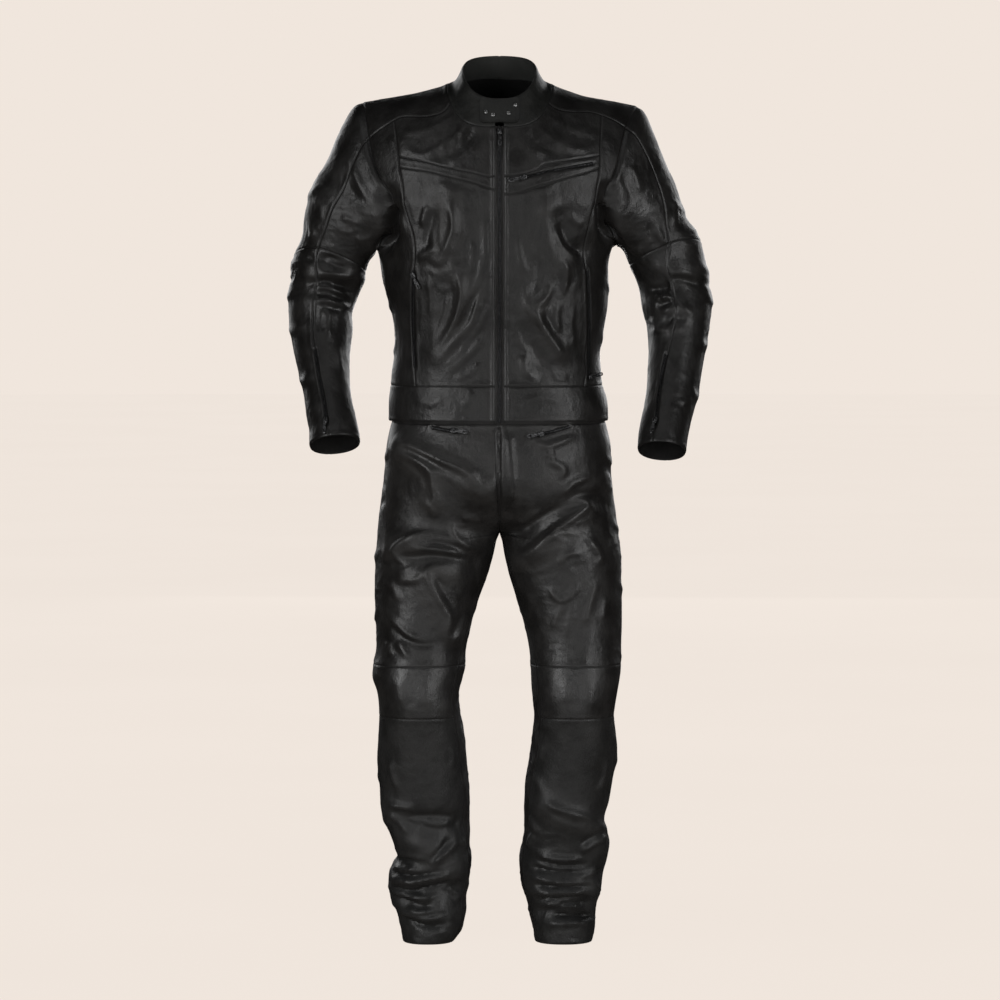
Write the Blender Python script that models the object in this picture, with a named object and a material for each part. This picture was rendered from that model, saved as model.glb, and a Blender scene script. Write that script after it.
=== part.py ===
"""Two-piece leather motorcycle suit, worn and hollow: a waist-length jacket over trousers.

Metres, +Z up, the front faces -Y and the wearer's left is +X.  The origin is where the wearer's
shoulders carry the suit, on the middle line at the root of the neck.  Heights in the tables are
above the trousers' hem; SHOULDER_HEIGHT takes them into the part's own frame.
"""

import math

import bmesh
import bpy
import numpy as np
from mathutils import Matrix, Vector
from mathutils.bvhtree import BVHTree
from mathutils.kdtree import KDTree

# ---------------------------------------------------------------- driving dimensions

SHOULDER_HEIGHT = 1.489
WALL = 0.002
SEAM_INSET = 0.00016
LONGEST_MITRE = 2.4
WELD_REACH = 2e-4
NEARLY_FLAT = 0.15
SHARPEST_CORNER = 0.35
SHARP_EDGE = math.radians(40)
FOLD_FACING = 0.15
FOLD_FADE = 0.5
SHOULDER_LINE_Y = 0.012
CHEST_HEIGHT = 1.290
DOME_LENGTH = 0.200
DOME_POWER = 0.9
TORSO_POWER = 0.85
ZIP_HALF_WIDTH = 0.008
HEM_HEIGHT = 0.915
HEM_SEAM = 0.977
ARMPIT_HEIGHT = {1: 1.225, -1: 1.209}
BEND_SHARE = 2.0 / 3.0
ARMHOLE_ROUNDS = 40
YOKE_BACK = 0.585
SIDE_SEAM_LINE = ((1.10, 0.977), (1.08, 1.080), (1.05, 1.160))
SIDE_SEAM = SIDE_SEAM_LINE[0][0]
SHOULDER_TIP_X = 0.2345
YOKE_BEND_X = 0.120
NECK_HALF_WIDTH = 0.091
NECK_FRONT_DEPTH = 0.099
NECK_BACK_DEPTH = 0.088
NECK_FRONT_POWER = 0.65
NECK_BACK_POWER = 0.90
NECK_CENTRE_Y = -0.013
COLLAR_HALF_WIDTH = 0.065
COLLAR_HALF_DEPTH = 0.072
COLLAR_CENTRE_Y = -0.016
COLLAR_FRONT_POWER = 0.80
COLLAR_BACK_POWER = 0.95
COLLAR_TOP = 1.513
COLLAR_SLOPE = 0.039
COLLAR_SIDE_RISE = 0.0125
COLLAR_SAG = 0.010
WAIST_HEIGHT = 0.944
WAIST_SEAM = 0.912
CROTCH_HEIGHT = 0.717
RISE_BEND = 0.105
KNEE_SEAM = 0.491
KNEE_END = 0.400
LEG_POWER = 0.88
SLEEVE_ROWS = 17.0
SLEEVE_BLEND = 8.0
FRONT_SEAM_TURN = 0.19
BACK_SEAM_TURN = 0.81
BACK_SEAM_DRIFT = 0.02
BACK_SEAM_ROWS = 5.0
SLEEVE_POWER = 0.94

# grid steps along each stretch of seam
STEPS = {
    "yoke": 4, "neck_front": 4, "side_front": 3, "half_back": 7, "hem": 2, "lower": 11,
    "band": 1, "upper": 3, "side": 6, "armhole": 9, "neck_side": 5, "yoke_back": 3,
    "upper_arm": 9, "forearm": 12, "leg": 9, "waist": 1, "inseam": 7, "rise": 8,
    "kneecap": 3, "shin": 12,
}


def table(columns, rows):
    """A short table as a dictionary of its named columns."""
    return {name: np.array([row[i] for row in rows]) for i, name in enumerate(columns.split())}


TORSO = table("height left right front back", (
    (0.900, 0.190, 0.195, 0.1215, 0.1240),
    (0.915, 0.190, 0.194, 0.1220, 0.1240),
    (0.955, 0.187, 0.193, 0.1215, 0.1220),
    (0.977, 0.180, 0.190, 0.1200, 0.1190),
    (1.003, 0.178, 0.188, 0.1185, 0.1160),
    (1.031, 0.176, 0.184, 0.1180, 0.1140),
    (1.073, 0.182, 0.184, 0.1200, 0.1150),
    (1.115, 0.188, 0.191, 0.1250, 0.1190),
    (1.157, 0.189, 0.204, 0.1290, 0.1240),
    (1.199, 0.192, 0.210, 0.1315, 0.1290),
    (1.214, 0.196, 0.213, 0.1320, 0.1300),
    (1.232, 0.204, 0.219, 0.1320, 0.1310),
    (1.290, 0.246, 0.246, 0.1320, 0.1320),
))

RIDGE = table("x right left", (
    (0.000, 1.546, 1.546), (0.040, 1.537, 1.537), (0.078, 1.509, 1.509), (0.097, 1.499, 1.498),
    (0.118, 1.4925, 1.4900), (0.143, 1.486, 1.4815), (0.181, 1.479, 1.4740), (0.223, 1.472, 1.4660),
    (0.246, 1.468, 1.4610),
))

# the two rails each sleeve hangs between: outer and inner edge, row by row down the arm
SLEEVE = {
    1: table("out_x out_z in_x in_z", (
        (0.240, 1.462, 0.207, 1.222), (0.255, 1.448, 0.210, 1.220), (0.272, 1.409, 0.213, 1.217),
        (0.291, 1.362, 0.217, 1.213), (0.311, 1.316, 0.221, 1.206), (0.326, 1.270, 0.225, 1.195),
        (0.347, 1.243, 0.230, 1.181), (0.359, 1.203, 0.237, 1.166), (0.368, 1.160, 0.245, 1.143),
        (0.372, 1.120, 0.250, 1.111), (0.368, 1.080, 0.258, 1.080), (0.361, 1.040, 0.260, 1.043),
        (0.354, 1.003, 0.258, 1.005), (0.348, 0.970, 0.256, 0.972), (0.341, 0.942, 0.252, 0.944),
        (0.333, 0.915, 0.246, 0.918), (0.327, 0.889, 0.241, 0.892), (0.323, 0.862, 0.239, 0.868),
    )),
    -1: table("out_x out_z in_x in_z", (
        (0.238, 1.468, 0.2140, 1.211), (0.258, 1.456, 0.217, 1.208), (0.284, 1.409, 0.220, 1.205),
        (0.302, 1.367, 0.223, 1.200), (0.328, 1.323, 0.227, 1.194), (0.341, 1.272, 0.231, 1.184),
        (0.346, 1.236, 0.235, 1.171), (0.361, 1.199, 0.236, 1.157), (0.368, 1.157, 0.246, 1.136),
        (0.370, 1.115, 0.257, 1.104), (0.367, 1.073, 0.257, 1.073), (0.361, 1.042, 0.260, 1.042),
        (0.354, 1.012, 0.261, 1.010), (0.346, 0.984, 0.260, 0.980), (0.340, 0.957, 0.256, 0.950),
        (0.336, 0.929, 0.249, 0.922), (0.330, 0.900, 0.243, 0.897), (0.329, 0.872, 0.241, 0.880),
    )),
}

# the sleeve's middle line forwards and back, its half depth, and how far its rings tip forwards
SLEEVE_DEPTH = table("row y half tip", (
    (0, 0.012, 0.095, 0.00), (2, 0.016, 0.091, 0.00), (4, 0.023, 0.082, 0.00),
    (6, 0.032, 0.074, 0.05), (8, 0.034, 0.071, 0.15), (10, 0.016, 0.064, 0.30),
    (12, -0.016, 0.056, 0.40), (14, -0.048, 0.050, 0.42), (16, -0.078, 0.049, 0.40),
    (17, -0.090, 0.050, 0.38),
))

SLEEVE_FRONT_SEAM = {
    1: table("row turn", ((0, 0.19), (3, 0.155), (5, 0.20), (7, 0.265), (10, 0.265), (12, 0.30),
                          (14, 0.335), (17, 0.315))),
    -1: table("row turn", ((0, 0.19), (3, 0.205), (5, 0.20), (6, 0.185), (8, 0.225), (11, 0.211),
                           (14, 0.225), (17, 0.22))),
}

ELBOW_SEAM = {
    1: table("turn row", ((-0.25, 6.1), (0.00, 6.45), (0.20, 6.0), (0.50, 5.7), (0.75, 6.1),
                          (1.00, 6.45), (1.25, 6.0))),
    -1: table("turn row", ((-0.25, 6.3), (0.00, 6.80), (0.20, 6.15), (0.50, 5.7), (0.75, 6.3),
                           (1.00, 6.80), (1.25, 6.1))),
}

# the front edge of each armhole, from the yoke seam down to just above the armpit
ARMHOLE_FRONT = {
    1: ((0.219, 1.4245), (0.204, 1.361), (0.189, 1.318), (0.183, 1.282), (0.187, 1.250),
        (0.194, 1.232)),
    -1: ((-0.227, 1.405), (-0.216, 1.361), (-0.198, 1.318), (-0.185, 1.282), (-0.189, 1.244),
         (-0.204, 1.217)),
}
ARMHOLE_BACK = ((0.229, 1.400), (0.219, 1.361), (0.207, 1.318), (0.200, 1.282), (0.200, 1.246),
                (0.206, 1.225))
ARMHOLE_BEND = 4

PRINCESS_SEAM = {
    1: ((0.177, 1.446), (0.174, 1.376), (0.170, 1.323), (0.161, 1.280), (0.151, 1.236),
        (0.149, 1.190), (0.155, 1.090), (0.150, 1.010), (0.147, 0.977)),
    -1: ((-0.183, 1.437), (-0.175, 1.374), (-0.167, 1.318), (-0.155, 1.258), (-0.147, 1.225),
         (-0.149, 1.176), (-0.153, 1.090), (-0.147, 1.010), (-0.146, 0.977)),
}
YOKE_SEAM = {
    1: ((0.219, 1.4245), (0.197, 1.438), (0.177, 1.446), (0.155, 1.4515), (0.120, 1.452),
        (0.098, 1.457)),
    -1: ((-0.227, 1.405), (-0.200, 1.426), (-0.183, 1.437), (-0.165, 1.4435), (-0.122, 1.444),
         (-0.096, 1.452)),
}
NECK_CORNER_X = {1: 0.0845, -1: 0.0845}
BAND_TOP = {
    1: ((0.008, 1.340), (0.036, 1.342), (0.062, 1.350), (0.081, 1.361), (0.130, 1.369),
        (0.174, 1.376)),
    -1: ((-0.008, 1.340), (-0.031, 1.3415), (-0.122, 1.363), (-0.175, 1.374)),
}
BAND_BOTTOM = {
    1: ((0.008, 1.308), (0.034, 1.312), (0.096, 1.331), (0.173, 1.354)),
    -1: ((-0.008, 1.316), (-0.067, 1.334), (-0.120, 1.347), (-0.1735, 1.355)),
}

# each trouser leg: outer and inner edge, and the front and back depth, by height
LEG = {
    1: table("height out in", (
        (0.000, 0.163, 0.062), (0.023, 0.167, 0.059), (0.045, 0.168, 0.053),
        (0.065, 0.170, 0.049), (0.093, 0.178, 0.041), (0.121, 0.183, 0.037),
        (0.149, 0.190, 0.036), (0.177, 0.193, 0.040), (0.198, 0.187, 0.043),
        (0.212, 0.184, 0.043), (0.247, 0.192, 0.043), (0.289, 0.199, 0.046),
        (0.331, 0.206, 0.053), (0.373, 0.203, 0.058), (0.401, 0.200, 0.060),
        (0.429, 0.204, 0.058), (0.471, 0.211, 0.054), (0.513, 0.213, 0.052),
        (0.555, 0.214, 0.044), (0.597, 0.214, 0.031), (0.639, 0.213, 0.018),
        (0.681, 0.213, 0.008), (0.705, 0.210, 0.004), (0.717, 0.207, 0.000),
        (0.751, 0.204, 0.000), (0.779, 0.200, 0.000), (0.835, 0.195, 0.000),
        (0.875, 0.1935, 0.000), (0.898, 0.1885, 0.000), (0.912, 0.1852, 0.000),
        (0.960, 0.1815, 0.000),
    )),
    -1: table("height out in", (
        (0.000, 0.170, 0.080), (0.023, 0.173, 0.066), (0.051, 0.181, 0.060),
        (0.079, 0.191, 0.060), (0.096, 0.195, 0.056), (0.121, 0.193, 0.052),
        (0.137, 0.186, 0.050), (0.149, 0.179, 0.050), (0.163, 0.183, 0.052),
        (0.191, 0.193, 0.052), (0.219, 0.204, 0.053), (0.247, 0.209, 0.052),
        (0.275, 0.210, 0.053), (0.317, 0.214, 0.057), (0.359, 0.212, 0.060),
        (0.401, 0.210, 0.067), (0.443, 0.214, 0.070), (0.468, 0.222, 0.064),
        (0.485, 0.221, 0.060), (0.513, 0.216, 0.059), (0.555, 0.216, 0.050),
        (0.597, 0.218, 0.038), (0.639, 0.218, 0.022), (0.681, 0.216, 0.010),
        (0.705, 0.214, 0.005), (0.717, 0.213, 0.000), (0.751, 0.211, 0.000),
        (0.779, 0.207, 0.000), (0.835, 0.200, 0.000), (0.875, 0.1965, 0.000),
        (0.898, 0.1920, 0.000), (0.912, 0.1885, 0.000), (0.960, 0.1870, 0.000),
    )),
}
LEG_DEPTH = table("height front back", (
    (0.000, -0.058, 0.074), (0.080, -0.063, 0.078), (0.150, -0.067, 0.080),
    (0.220, -0.080, 0.083), (0.300, -0.093, 0.080), (0.380, -0.109, 0.064),
    (0.430, -0.119, 0.056), (0.470, -0.118, 0.060), (0.520, -0.110, 0.082),
    (0.580, -0.108, 0.100), (0.650, -0.110, 0.112), (0.717, -0.113, 0.124),
    (0.960, -0.113, 0.124),
))
HIP_DEPTH = table("height front back", (
    (0.700, -0.122, 0.138), (0.780, -0.127, 0.142), (0.850, -0.128, 0.136),
    (0.885, -0.124, 0.128), (0.902, -0.1200, 0.1220), (0.912, -0.1190, 0.1208),
    (0.960, -0.1180, 0.1192),
))
INNER_LEG_SEAM = table("height turn", (
    (0.000, 0.085), (0.130, 0.060), (0.250, 0.085), (0.394, 0.100), (0.485, 0.095),
    (0.600, 0.045), (0.700, 0.005), (0.717, 0.000),
))
OUTER_LEG_SEAM = 0.50

# folds large enough to shape the walls: middle line as x and height, width and depth in metres
FOLDS = (
    # part, face, width, depth, middle line
    ("legs", -1, 0.022, 0.008, ((-0.192, 0.878), (-0.106, 0.847), (-0.032, 0.798))),
    ("legs", -1, 0.020, 0.007, ((-0.172, 0.859), (-0.120, 0.826), (-0.113, 0.775))),
    ("legs", -1, 0.020, 0.008, ((-0.153, 0.707), (-0.185, 0.684), (-0.164, 0.663))),
    ("legs", -1, 0.020, -0.008, ((-0.172, 0.672), (-0.113, 0.677), (-0.045, 0.668))),
    ("legs", -1, 0.022, 0.008, ((-0.076, 0.663), (-0.125, 0.656), (-0.122, 0.628),
                                (-0.104, 0.593), (-0.081, 0.548))),
    ("legs", -1, 0.020, 0.009, ((0.153, 0.768), (0.099, 0.728), (0.069, 0.695), (0.022, 0.668))),
    ("legs", -1, 0.020, -0.008, ((0.031, 0.724), (0.115, 0.766), (0.193, 0.782))),
    ("legs", -1, 0.020, -0.008, ((-0.172, 0.215), (-0.073, 0.213))),
    ("legs", -1, 0.020, 0.007, ((-0.199, 0.224), (-0.155, 0.180), (-0.110, 0.160))),
    ("legs", -1, 0.018, -0.008, ((-0.165, 0.086), (-0.080, 0.098))),
    ("legs", -1, 0.018, 0.006, ((-0.190, 0.112), (-0.070, 0.128))),
    ("legs", -1, 0.020, 0.008, ((0.078, 0.245), (0.113, 0.227), (0.167, 0.208))),
    ("legs", -1, 0.018, -0.008, ((0.074, 0.060), (0.148, 0.063))),
    ("legs", -1, 0.020, 0.006, ((0.067, 0.108), (0.123, 0.094), (0.170, 0.096))),
    ("legs", 1, 0.022, -0.010, ((-0.210, 0.480), (-0.140, 0.462), (-0.070, 0.478))),
    ("legs", 1, 0.022, -0.010, ((0.205, 0.478), (0.135, 0.460), (0.060, 0.476))),
    ("legs", 1, 0.022, 0.008, ((-0.190, 0.430), (-0.080, 0.436))),
    ("legs", 1, 0.022, 0.008, ((0.185, 0.428), (0.075, 0.436))),
    ("legs", 1, 0.022, -0.008, ((-0.185, 0.640), (-0.090, 0.668), (-0.030, 0.690))),
    ("legs", 1, 0.022, -0.008, ((0.185, 0.640), (0.090, 0.668), (0.030, 0.690))),
    ("legs", 1, 0.020, -0.008, ((-0.180, 0.150), (-0.070, 0.140))),
    ("legs", 1, 0.020, -0.008, ((0.175, 0.160), (0.060, 0.140))),
    ("torso", -1, 0.024, 0.007, ((-0.088, 1.298), (-0.080, 1.246), (-0.102, 1.195))),
    ("torso", -1, 0.022, -0.008, ((0.106, 1.265), (0.116, 1.225), (0.139, 1.209))),
    ("torso", -1, 0.022, 0.006, ((0.086, 1.278), (0.098, 1.226), (0.120, 1.190))),
    ("torso", -1, 0.022, 0.006, ((-0.076, 1.176), (-0.066, 1.137), (-0.081, 1.080),
                                 (-0.108, 1.034))),
    ("torso", -1, 0.022, 0.006, ((0.059, 1.113), (0.078, 1.073), (0.101, 1.038))),
    ("torso", 1, 0.026, -0.007, ((-0.150, 1.060), (0.000, 1.030), (0.150, 1.060))),
    ("torso", 1, 0.026, -0.006, ((-0.160, 1.250), (-0.120, 1.190), (-0.110, 1.130))),
    ("torso", 1, 0.026, -0.006, ((0.160, 1.250), (0.120, 1.190), (0.110, 1.130))),
    ("sleeves", -1, 0.018, 0.008, ((-0.335, 1.176), (-0.251, 1.167))),
    ("sleeves", -1, 0.018, -0.008, ((-0.345, 1.150), (-0.262, 1.144))),
    ("sleeves", -1, 0.018, 0.006, ((-0.333, 1.124), (-0.262, 1.118))),
    ("sleeves", -1, 0.018, 0.008, ((0.280, 1.182), (0.340, 1.180))),
    ("sleeves", -1, 0.018, -0.008, ((0.275, 1.150), (0.350, 1.152))),
    ("sleeves", -1, 0.018, 0.006, ((0.275, 1.112), (0.345, 1.104))),
    ("sleeves", 1, 0.020, 0.006, ((-0.350, 1.180), (-0.250, 1.170))),
    ("sleeves", 1, 0.020, 0.006, ((0.250, 1.170), (0.350, 1.180))),
)

# ---- what is laid on the leather: x and height in front of the suit, sides as the suit shows them

TRIM_LIFT = 0.0008
TRIM_SPACING = 0.010
ZIP_THICKNESS = 0.0012
ZIP_CROWN = 0.0008
ZIP_HALF = 0.0048
TAB_HALF_WIDTH = 0.034
TAB_LOW, TAB_HIGH = 0.12, 0.96
TAB_THICKNESS = 0.0015
STUD_RADIUS = 0.0036
STUD_HEIGHT = 0.0018
FLY_THICKNESS = 0.0013
CLEARANCE = 0.0003

ZIPS = {
    "chest_zip": ((0.0330, 1.3345), (0.0410, 1.3368), (0.0795, 1.3462), (0.1320, 1.3562),
                  (0.1620, 1.3615)),
    "hand_pocket_zip_right": ((-0.1475, 1.1750), (-0.1495, 1.1200), (-0.1485, 1.0600),
                              (-0.1460, 1.0080)),
    "hand_pocket_zip_left": ((0.1515, 1.1780), (0.1545, 1.1200), (0.1550, 1.0500),
                             (0.1550, 0.9860)),
    "cuff_zip_right": ((-0.3200, 1.0410), (-0.3130, 0.9960), (-0.3020, 0.9450), (-0.2980, 0.9130)),
    "cuff_zip_left": ((0.2890, 1.0320), (0.2820, 1.0000), (0.2770, 0.9710), (0.2690, 0.9100)),
    "hip_pocket_zip_right": ((-0.1180, 0.9060), (-0.0900, 0.9010), (-0.0660, 0.8990)),
    "hip_pocket_zip_left": ((0.0530, 0.8910), (0.0900, 0.8990), (0.1220, 0.9075)),
}

# a slider with its pull, along its length: place, half width, thickness
SLIDER_PROFILE = table("run half thick", (
    (-0.0060, 0.0028, 0.0020), (-0.0050, 0.0042, 0.0028), (0.0050, 0.0040, 0.0028),
    (0.0062, 0.0020, 0.0022), (0.0085, 0.0020, 0.0015), (0.0098, 0.0032, 0.0013),
    (0.0240, 0.0032, 0.0013), (0.0262, 0.0022, 0.0013),
))

# where each slider stands, which way its pull points, and how high its zip lifts it
SLIDERS = table("name x height heading rise", (
    ("front_slider", 0.0005, 1.4165, -90, 0.0004),
    ("chest_slider", 0.0410, 1.3370, -166, TRIM_LIFT + ZIP_THICKNESS + ZIP_CROWN),
    ("hand_pocket_slider_right", -0.1475, 1.1690, -62, TRIM_LIFT + ZIP_THICKNESS + ZIP_CROWN),
    ("hand_pocket_slider_left", 0.1550, 0.9920, 12, TRIM_LIFT + ZIP_THICKNESS + ZIP_CROWN),
    ("cuff_slider_right", -0.2985, 0.9180, -86, TRIM_LIFT + ZIP_THICKNESS + ZIP_CROWN),
    ("cuff_slider_left", 0.2700, 0.9170, -97, TRIM_LIFT + ZIP_THICKNESS + ZIP_CROWN),
    ("hip_pocket_slider_right", -0.0790, 0.9000, -10, TRIM_LIFT + ZIP_THICKNESS + ZIP_CROWN),
    ("hip_pocket_slider_left", 0.0710, 0.8950, -170, TRIM_LIFT + ZIP_THICKNESS + ZIP_CROWN),
))

STUDS = table("x height", (
    (-0.0230, 1.4500), (-0.0110, 1.4450), (0.0160, 1.4480), (0.0270, 1.4620),
))

# the fly's covering strip: middle line and half width, from the hem down
FLY = table("x height half", (
    (0.0010, 0.9080, 0.0100), (0.0060, 0.8700, 0.0135), (0.0085, 0.8300, 0.0150),
    (0.0110, 0.7950, 0.0150), (0.0080, 0.7750, 0.0120), (0.0030, 0.7620, 0.0060),
))

MATERIALS = table("name red green blue rough metal", (
    ("leather", 0.0125, 0.0125, 0.0130, 0.42, 0.0),
    ("collar_leather", 0.0140, 0.0145, 0.0145, 0.50, 0.0),
    ("zip_tape", 0.0060, 0.0060, 0.0065, 0.75, 0.0),
    ("metal", 0.1500, 0.1500, 0.1550, 0.35, 1.0),
))


# ---------------------------------------------------------------- curves

def spline(at, knots, values):
    """A smooth curve through the rows of a table, worked out at one or many places."""
    slopes = np.gradient(values, knots, axis=0)
    at = np.clip(np.asarray(at, float), knots[0], knots[-1])
    i = np.clip(np.searchsorted(knots, at) - 1, 0, len(knots) - 2)
    step = np.asarray(knots[i + 1] - knots[i], float)
    t = (at - knots[i]) / step
    if values.ndim > 1:
        step, t = step[..., None], t[..., None]
    return (values[i] * (1 + 2 * t) * (1 - t) ** 2 + slopes[i] * step * t * (1 - t) ** 2
            + values[i + 1] * t ** 2 * (3 - 2 * t) + slopes[i + 1] * step * t ** 2 * (t - 1))


def even(curve, start, end, steps):
    """Places along a curve that divide its length evenly."""
    fine = np.linspace(start, end, 500)
    points = curve(fine)
    run = np.concatenate(([0.0], np.cumsum(np.linalg.norm(np.diff(points, axis=0), axis=1))))
    return np.interp(np.linspace(0.0, run[-1], steps + 1), run, fine)


def route(surface, controls, steps, bend=None):
    """Evenly spaced places on a surface, along a smooth line through a few given places.

    With a bend, that numbered place is met after BEND_SHARE of the steps.
    """
    controls = np.array(controls, float)
    knots = np.arange(len(controls), dtype=float)

    def line(t):
        return spline(t, knots, controls)

    def stops(start, end, count):
        return even(lambda t: surface(*line(t).T), start, end, count)

    if bend is None:
        return line(stops(0.0, knots[-1], steps))
    before = int(round(steps * BEND_SHARE))
    return line(np.concatenate([stops(0.0, bend, before), stops(bend, knots[-1], steps - before)[1:]]))


def chain(*pieces):
    """Stretches of seam joined end to end."""
    return np.vstack([pieces[0]] + [piece[1:] for piece in pieces[1:]])


def signed_power(value, power):
    return np.sign(value) * np.abs(value) ** power


# ---------------------------------------------------------------- the jacket's body

def ridge_height(x):
    """The shoulder line's height; the left shoulder hangs a little lower."""
    x = np.asarray(x, float)
    return np.where(x > 0, spline(x, RIDGE["x"], RIDGE["left"]),
                    spline(-x, RIDGE["x"], RIDGE["right"]))


def torso(w, p):
    """w goes round: 0 centre front, 1 left side, 2 centre back, -1 right side.  p goes up: the
    height as far as the chest, then over the dome of the shoulders to their ridge."""
    w, p = np.broadcast_arrays(np.asarray(w, float), np.asarray(p, float))
    low = np.minimum(p, CHEST_HEIGHT)
    across = signed_power(np.sin(w * math.pi / 2), TORSO_POWER)
    along = signed_power(np.cos(w * math.pi / 2), TORSO_POWER)
    left = spline(low, TORSO["height"], TORSO["left"])
    right = spline(low, TORSO["height"], TORSO["right"])
    front = spline(low, TORSO["height"], TORSO["front"])
    back = spline(low, TORSO["height"], TORSO["back"])
    x = across * np.where(across >= 0, left, right)
    y = -along * np.where(along >= 0, front, back)
    t = np.clip((p - CHEST_HEIGHT) / DOME_LENGTH, 0.0, 1.0)
    z = low + (ridge_height(x) - CHEST_HEIGHT) * np.sin(t * math.pi / 2)
    y = SHOULDER_LINE_Y + (y - SHOULDER_LINE_Y) * np.cos(t * math.pi / 2) ** DOME_POWER
    return np.stack([x, y, z], axis=-1)


def torso_girth(x, height, back=False):
    """The w of a place at a given x."""
    low = np.minimum(height, CHEST_HEIGHT)
    left = spline(low, TORSO["height"], TORSO["left"])
    right = spline(low, TORSO["height"], TORSO["right"])
    share = np.clip(np.abs(x) / np.where(np.asarray(x) >= 0, left, right), 0.0, 1.0)
    w = np.arcsin(share ** (1 / TORSO_POWER)) * 2 / math.pi
    return np.where(np.asarray(x) < 0, -1.0, 1.0) * np.where(back, 2.0 - w, w)


def torso_at(x, z, back=False):
    """The (w, p) of the place whose x and height are given, on the front or the back."""
    x, z = np.asarray(x, float), np.asarray(z, float)
    rise = np.clip((z - CHEST_HEIGHT) / (ridge_height(x) - CHEST_HEIGHT), 0.0, 1.0)
    p = np.where(z < CHEST_HEIGHT, z, CHEST_HEIGHT + DOME_LENGTH * np.arcsin(rise) * 2 / math.pi)
    return np.stack([torso_girth(x, z, back), p], axis=-1)


def shoulder(x, q):
    """The same surface over the shoulders: q is -1 at the chest in front, 0 on the ridge and 1 at
    the chest behind."""
    x, q = np.broadcast_arrays(np.asarray(x, float), np.asarray(q, float))
    w = torso_girth(x, np.full(x.shape, CHEST_HEIGHT), q > 0)
    return torso(w, CHEST_HEIGHT + (1 - np.abs(q)) * DOME_LENGTH)


def to_shoulder(places):
    """Places given as (w, p) as (x, q)."""
    points = torso(*places.T)
    q = 1 - (places[:, 1] - CHEST_HEIGHT) / DOME_LENGTH
    return np.stack([points[:, 0], np.where(np.abs(places[:, 0]) > 1, q, -q)], axis=-1)


def to_torso(places):
    """Places given as (x, q) as (w, p)."""
    w = torso_girth(places[:, 0], np.full(len(places), CHEST_HEIGHT), places[:, 1] > 0)
    return np.stack([w, CHEST_HEIGHT + (1 - np.abs(places[:, 1])) * DOME_LENGTH], axis=-1)


def neck_line(turn):
    """The neck seam as (x, q).  turn is 0 at the centre front, pi behind, positive on the left."""
    turn = np.asarray(turn, float)
    behind = np.cos(turn) < 0
    power = np.where(behind, NECK_BACK_POWER, NECK_FRONT_POWER)
    depth = np.where(behind, NECK_BACK_DEPTH, NECK_FRONT_DEPTH)
    x = NECK_HALF_WIDTH * np.sign(np.sin(turn)) * np.abs(np.sin(turn)) ** power
    y = NECK_CENTRE_Y - depth * signed_power(np.cos(turn), power)
    flat = torso(torso_girth(x, np.full(x.shape, CHEST_HEIGHT), y > SHOULDER_LINE_Y), CHEST_HEIGHT)
    share = np.clip((y - SHOULDER_LINE_Y) / (flat[..., 1] - SHOULDER_LINE_Y), 0.0, 1.0)
    q = 1 - np.arccos(share ** (1 / DOME_POWER)) * 2 / math.pi
    return np.stack([x, np.where(y > SHOULDER_LINE_Y, q, -q)], axis=-1)


def neck_turn(x):
    """How far round the neck seam a given x lies, on the front."""
    return math.copysign(math.asin((abs(x) / NECK_HALF_WIDTH) ** (1 / NECK_FRONT_POWER)), x)


def collar(turn, h):
    """The standing collar: h is 0 on the neck seam and 1 on the upper edge."""
    turn, h = np.broadcast_arrays(np.asarray(turn, float), np.asarray(h, float))
    foot = shoulder(*np.moveaxis(neck_line(turn), -1, 0))
    power = np.where(np.cos(turn) < 0, COLLAR_BACK_POWER, COLLAR_FRONT_POWER)
    top = np.stack([
        COLLAR_HALF_WIDTH * np.sign(np.sin(turn)) * np.abs(np.sin(turn)) ** power,
        COLLAR_CENTRE_Y - COLLAR_HALF_DEPTH * signed_power(np.cos(turn), power),
        COLLAR_TOP - COLLAR_SLOPE * np.cos(turn) + COLLAR_SIDE_RISE * np.sin(turn) ** 2,
    ], axis=-1)
    lean = h[..., None]
    body = foot + (top - foot) * lean
    body[..., 2] -= COLLAR_SAG * np.sin(h * math.pi) * np.sin(turn) ** 2
    return body


# ---------------------------------------------------------------- sleeves and legs

def armhole(side, turn):
    """The armhole seam: turn is 0 at the shoulder tip, 0.5 at the armpit, in front between."""
    turn = np.mod(np.asarray(turn, float) + 0.5, 1.0) - 0.5
    points = np.zeros(turn.shape + (3,))
    for part, start, end, surface in ARMHOLE[side]:
        inside = (turn >= start - 1e-9) & (turn <= end + 1e-9)
        share = np.clip((turn - start) / (end - start), 0.0, 1.0)
        knots = np.linspace(0.0, 1.0, len(part))
        where = np.stack([np.interp(share, knots, part[:, 0]), np.interp(share, knots, part[:, 1])])
        points[inside] = surface(*where)[inside]
    return points


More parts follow.
